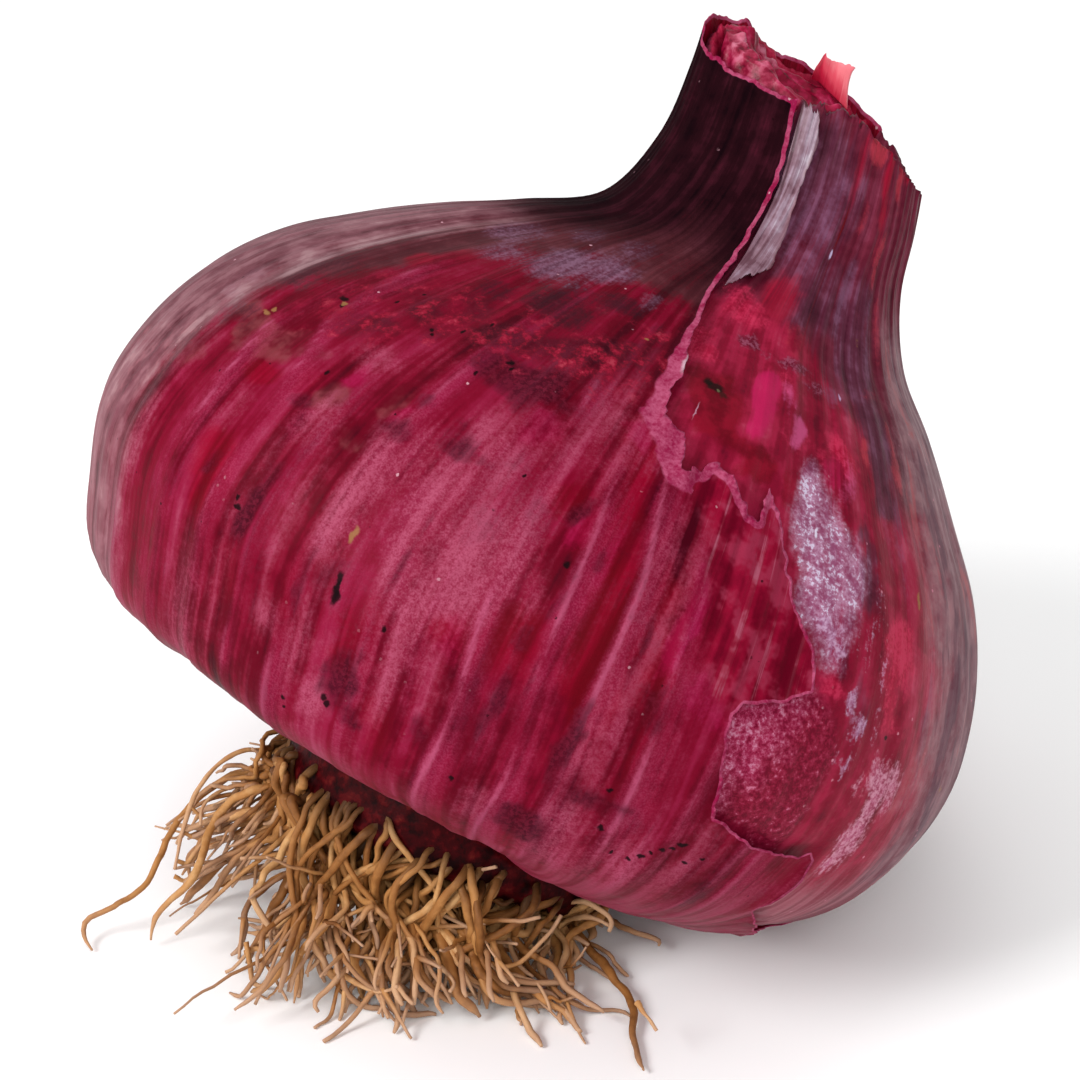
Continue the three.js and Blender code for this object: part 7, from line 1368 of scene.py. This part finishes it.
def build_roots(mat):
    r = np.random.default_rng(7)
    axes = np.stack([E1, E2, AXIS])
    for idx, (r0, rt, pts) in enumerate(ROOTS):
        path, length = spline(pts, 64)
        front = idx < 29
        t = np.linspace(0, 1, len(path))
        f = np.maximum(0, (t - 0.45) / 0.55)
        rad = (r0 + (rt - r0) * f**1.3) * (0.62 if idx in (25, 26) else 0.86)
        rad = rad * (1 - 0.6 * smooth(0.92, 1.0, t))
        rad[0] *= 0.55
        main = wander(path, length, 0.30, idx)
        main = above_floor(main, rad)
        parts = []

        def add(p, radius, sides, seed, start, end, tone):
            V, Q, T, A = tube(p, radius, sides, seed)
            parts.append((V, Q, T, start + (end - start) * A, np.full(len(A), tone)))

        add(main, rad, 9, idx + 1, 0, 0.8, r.uniform(0, 1))
        # the neighbours that grow with it, from the rim of the plate outwards
        place = axes @ (path[0] - O)
        angle = math.atan2(place[1], place[0])
        lone = idx in (0, 1, 25)
        for c in range(3 if lone else 7 if front else 4):
            a = angle + r.normal() * 0.26
            if front and c < 5:
                # out from between the old skins and the edge of the onion
                at = np.array([math.cos(a), math.sin(a), 0]) * (COLLAR_OUTER - r.uniform(0.9, 1.6)) + np.array([0, 0, r.uniform(-1.5, 1.1)])
            else:
                at = np.array([math.cos(a), math.sin(a), 0]) * r.uniform(7.5, 14.0) + np.array([0, 0, -r.uniform(2.8, 3.4)])
            begin = O + at @ axes
            reach = r.uniform(0.3, 0.5) if lone else r.uniform(0.5, 0.85) if idx < 7 else r.uniform(0.6, 1.0)
            u = np.linspace(0, 1, 46)
            own = np.stack([np.interp(u * reach, t, path[:, k]) for k in range(3)], -1)
            aside = r.normal(size=3) * np.array([2.3, 1.5, 1.0]) * min(1.0, length / 18) * (0.45 if idx < 7 else 1)
            # it bends outwards over the old skins first
            bulge = (np.array([math.cos(a), math.sin(a), 0]) @ axes) * 1.6 + np.array([0, 0, 0.6])
            own = own + (begin - path[0]) * (1 - smooth(0, 0.6, u))[:, None] + bulge * (np.sin(np.minimum(u / 0.5, 1) * math.pi) * (1.0 if front and c < 5 else 0.2))[:, None] + aside * (smooth(0.05, 0.95, u) ** 1.2)[:, None]
            hook = r.normal(size=3) * np.array([1.7, 1.7, 0.4]) - np.array([0, 0, 0.8])
            own = own + hook * (smooth(0.6, 1.0, u) ** 2)[:, None]
            own = wander(own, length, 0.55, idx * 9 + c + 70, 4.2)
            thick = r.uniform(0.28, 0.50) * (1 - 0.36 * u**1.5) * (1 - 0.45 * smooth(0.95, 1, u))
            own = above_floor(own, thick)
            add(own, thick, 6, idx * 11 + c + 60, 0, 0.95, r.uniform(0, 1))
            if r.uniform() < 0.5 and not lone:
                k = int(r.uniform(0.55, 0.85) * 45)
                tan = own[k + 1] - own[k - 1]
                tan /= np.linalg.norm(tan)
                away = np.cross(tan, r.normal(size=3))
                away /= np.linalg.norm(away)
                v = np.linspace(0, 1, 14)[:, None]
                fork = own[k] + (tan * 0.9 + away * 0.6) * v * r.uniform(2.5, 5.5) + np.array([0, 0, -0.5]) * v * v
                ft = thick[k] * 0.85 * (1 - 0.45 * v[:, 0])
                add(above_floor(fork, ft), ft, 5, idx * 5 + c + 90, 0.6, 1.0, r.uniform(0, 1))
        # short side fibres and the ones that cross the tuft
        for b in range(0 if lone else 4 if front else 2):
            i = int(r.uniform(0.12, 0.85) * (len(path) - 1))
            tan = main[min(i + 1, len(path) - 1)] - main[i - 1]
            tan /= np.linalg.norm(tan)
            sidev = np.cross(tan, r.normal(size=3))
            sidev /= np.linalg.norm(sidev)
            L = r.uniform(4.0, 9.5) if b < 3 else r.uniform(3.0, 6.5)
            d0 = tan * r.uniform(0.3, 0.9) + sidev * r.uniform(0.5, 1.0)
            d0 /= np.linalg.norm(d0)
            bend = r.normal(size=3) * 0.9 + np.array([0, 0, -0.55])
            u = np.linspace(0, 1, 20)[:, None]
            bp = main[i] + d0 * u * L + bend * u * u * L * 0.45
            bp = wander(bp, L, 0.4, idx * 3 + b + 200, 2.5)
            br = rad[i] * r.uniform(0.42, 0.7) * (1 - 0.45 * u[:, 0])
            add(above_floor(bp, br), br, 6, idx * 7 + b + 50, 0.3, 0.95, r.uniform(0, 1))
        for number, thick, points in FINE:
            if number == idx + 1:
                fine, run = spline(points, 48)
                u = np.linspace(0, 1, 48)
                fr = thick * (1 - 0.35 * u) * (1 + 0.25 * noise(u * run / 2.0, number, len(points), 152))
                add(above_floor(wander(fine, run, 0.12, number + len(points)), fr), fr, 7, number + 300, 0.55, 0.95, 0.9)
        vs, qs, ts, al, tn, off = [], [], [], [], [], 0
        for V, Q, T, A, tone in parts:
            vs.append(V)
            qs.append(Q + off)
            ts.append(T + off)
            al.append(A)
            tn.append(tone)
            off += len(V)
        verts = np.concatenate(vs)
        verts[:, 2] = np.maximum(verts[:, 2], 0.0)
        name = "root_%02d" % (idx + 1)
        ob = new_mesh(name, verts, [np.concatenate(qs), np.concatenate(ts)], {"along": np.concatenate(al), "tone": np.concatenate(tn)})
        finish_piece(ob, mat, "root", name)


finish_piece(outer_ob, skin_material(), "outer_skin", "outer_skin")
finish_piece(bulb_ob, bulb_material(), "second_skin", "bulb")
finish_piece(strip_ob, strip_material(), "pale_skin", "skin_strip")
finish_piece(core_ob, core_material(), "neck_tissue", "neck_core")
finish_piece(sheath_ob, sheath_material(), "neck_sheath", "neck_sheath")
finish_piece(basal_ob, basal_material(), "basal_plate", "basal_plate")
finish_piece(collar_ob, collar_material(), "old_skin", "base_collar")
build_roots(root_material())

# ------------------------------------------------------------------------------ floor, light, camera
bpy.ops.mesh.primitive_plane_add(size=6.0, location=(0, 0, -0.00005))
floor = bpy.context.object
floor.name = "floor"
fm = Nodes("floor_material")
fm.set(Base_Color=(0.95, 0.95, 0.95), Roughness=0.85)
floor.data.materials.append(fm.mat)

world = bpy.data.worlds.new("studio")
bpy.context.scene.world = world
world.use_nodes = True
bg = world.node_tree.nodes["Background"]
bg.inputs[0].default_value = (1.0, 1.0, 1.0, 1.0)
bg.inputs[1].default_value = 0.66


def area(name, at, target, size, power, colour=(1, 1, 1)):
    data = bpy.data.lights.new(name, "AREA")
    data.shape = "RECTANGLE"
    data.size, data.size_y = size
    data.energy = power
    data.color = colour
    ob = bpy.data.objects.new(name, data)
    bpy.context.scene.collection.objects.link(ob)
    ob.location = at
    ob.rotation_euler = (Vector(target) - Vector(at)).to_track_quat("-Z", "Y").to_euler()
    return ob


area("key", (-0.70, -0.50, 0.60), (0.02, -0.03, 0.0), (0.35, 0.35), 8.0)
area("fill", (0.15, -0.95, 0.62), (0.06, -0.06, 0.0), (0.7, 0.5), 4.2)
area("top", (-0.15, 0.10, 1.05), (0, 0, 0.0), (0.7, 0.7), 2.0)

cam_data = bpy.data.cameras.new("camera")
cam = bpy.data.objects.new("camera", cam_data)
bpy.context.scene.collection.objects.link(cam)
cam.location = (-0.018957, -0.269105, 0.158862)
cam.rotation_euler = (math.radians(65), 0, 0)
cam_data.lens = 100
cam_data.sensor_width = 36
cam_data.clip_start = 0.01
bpy.context.scene.camera = cam
bpy.context.scene.view_settings.view_transform = "Standard"
bpy.context.scene.view_settings.look = "None"
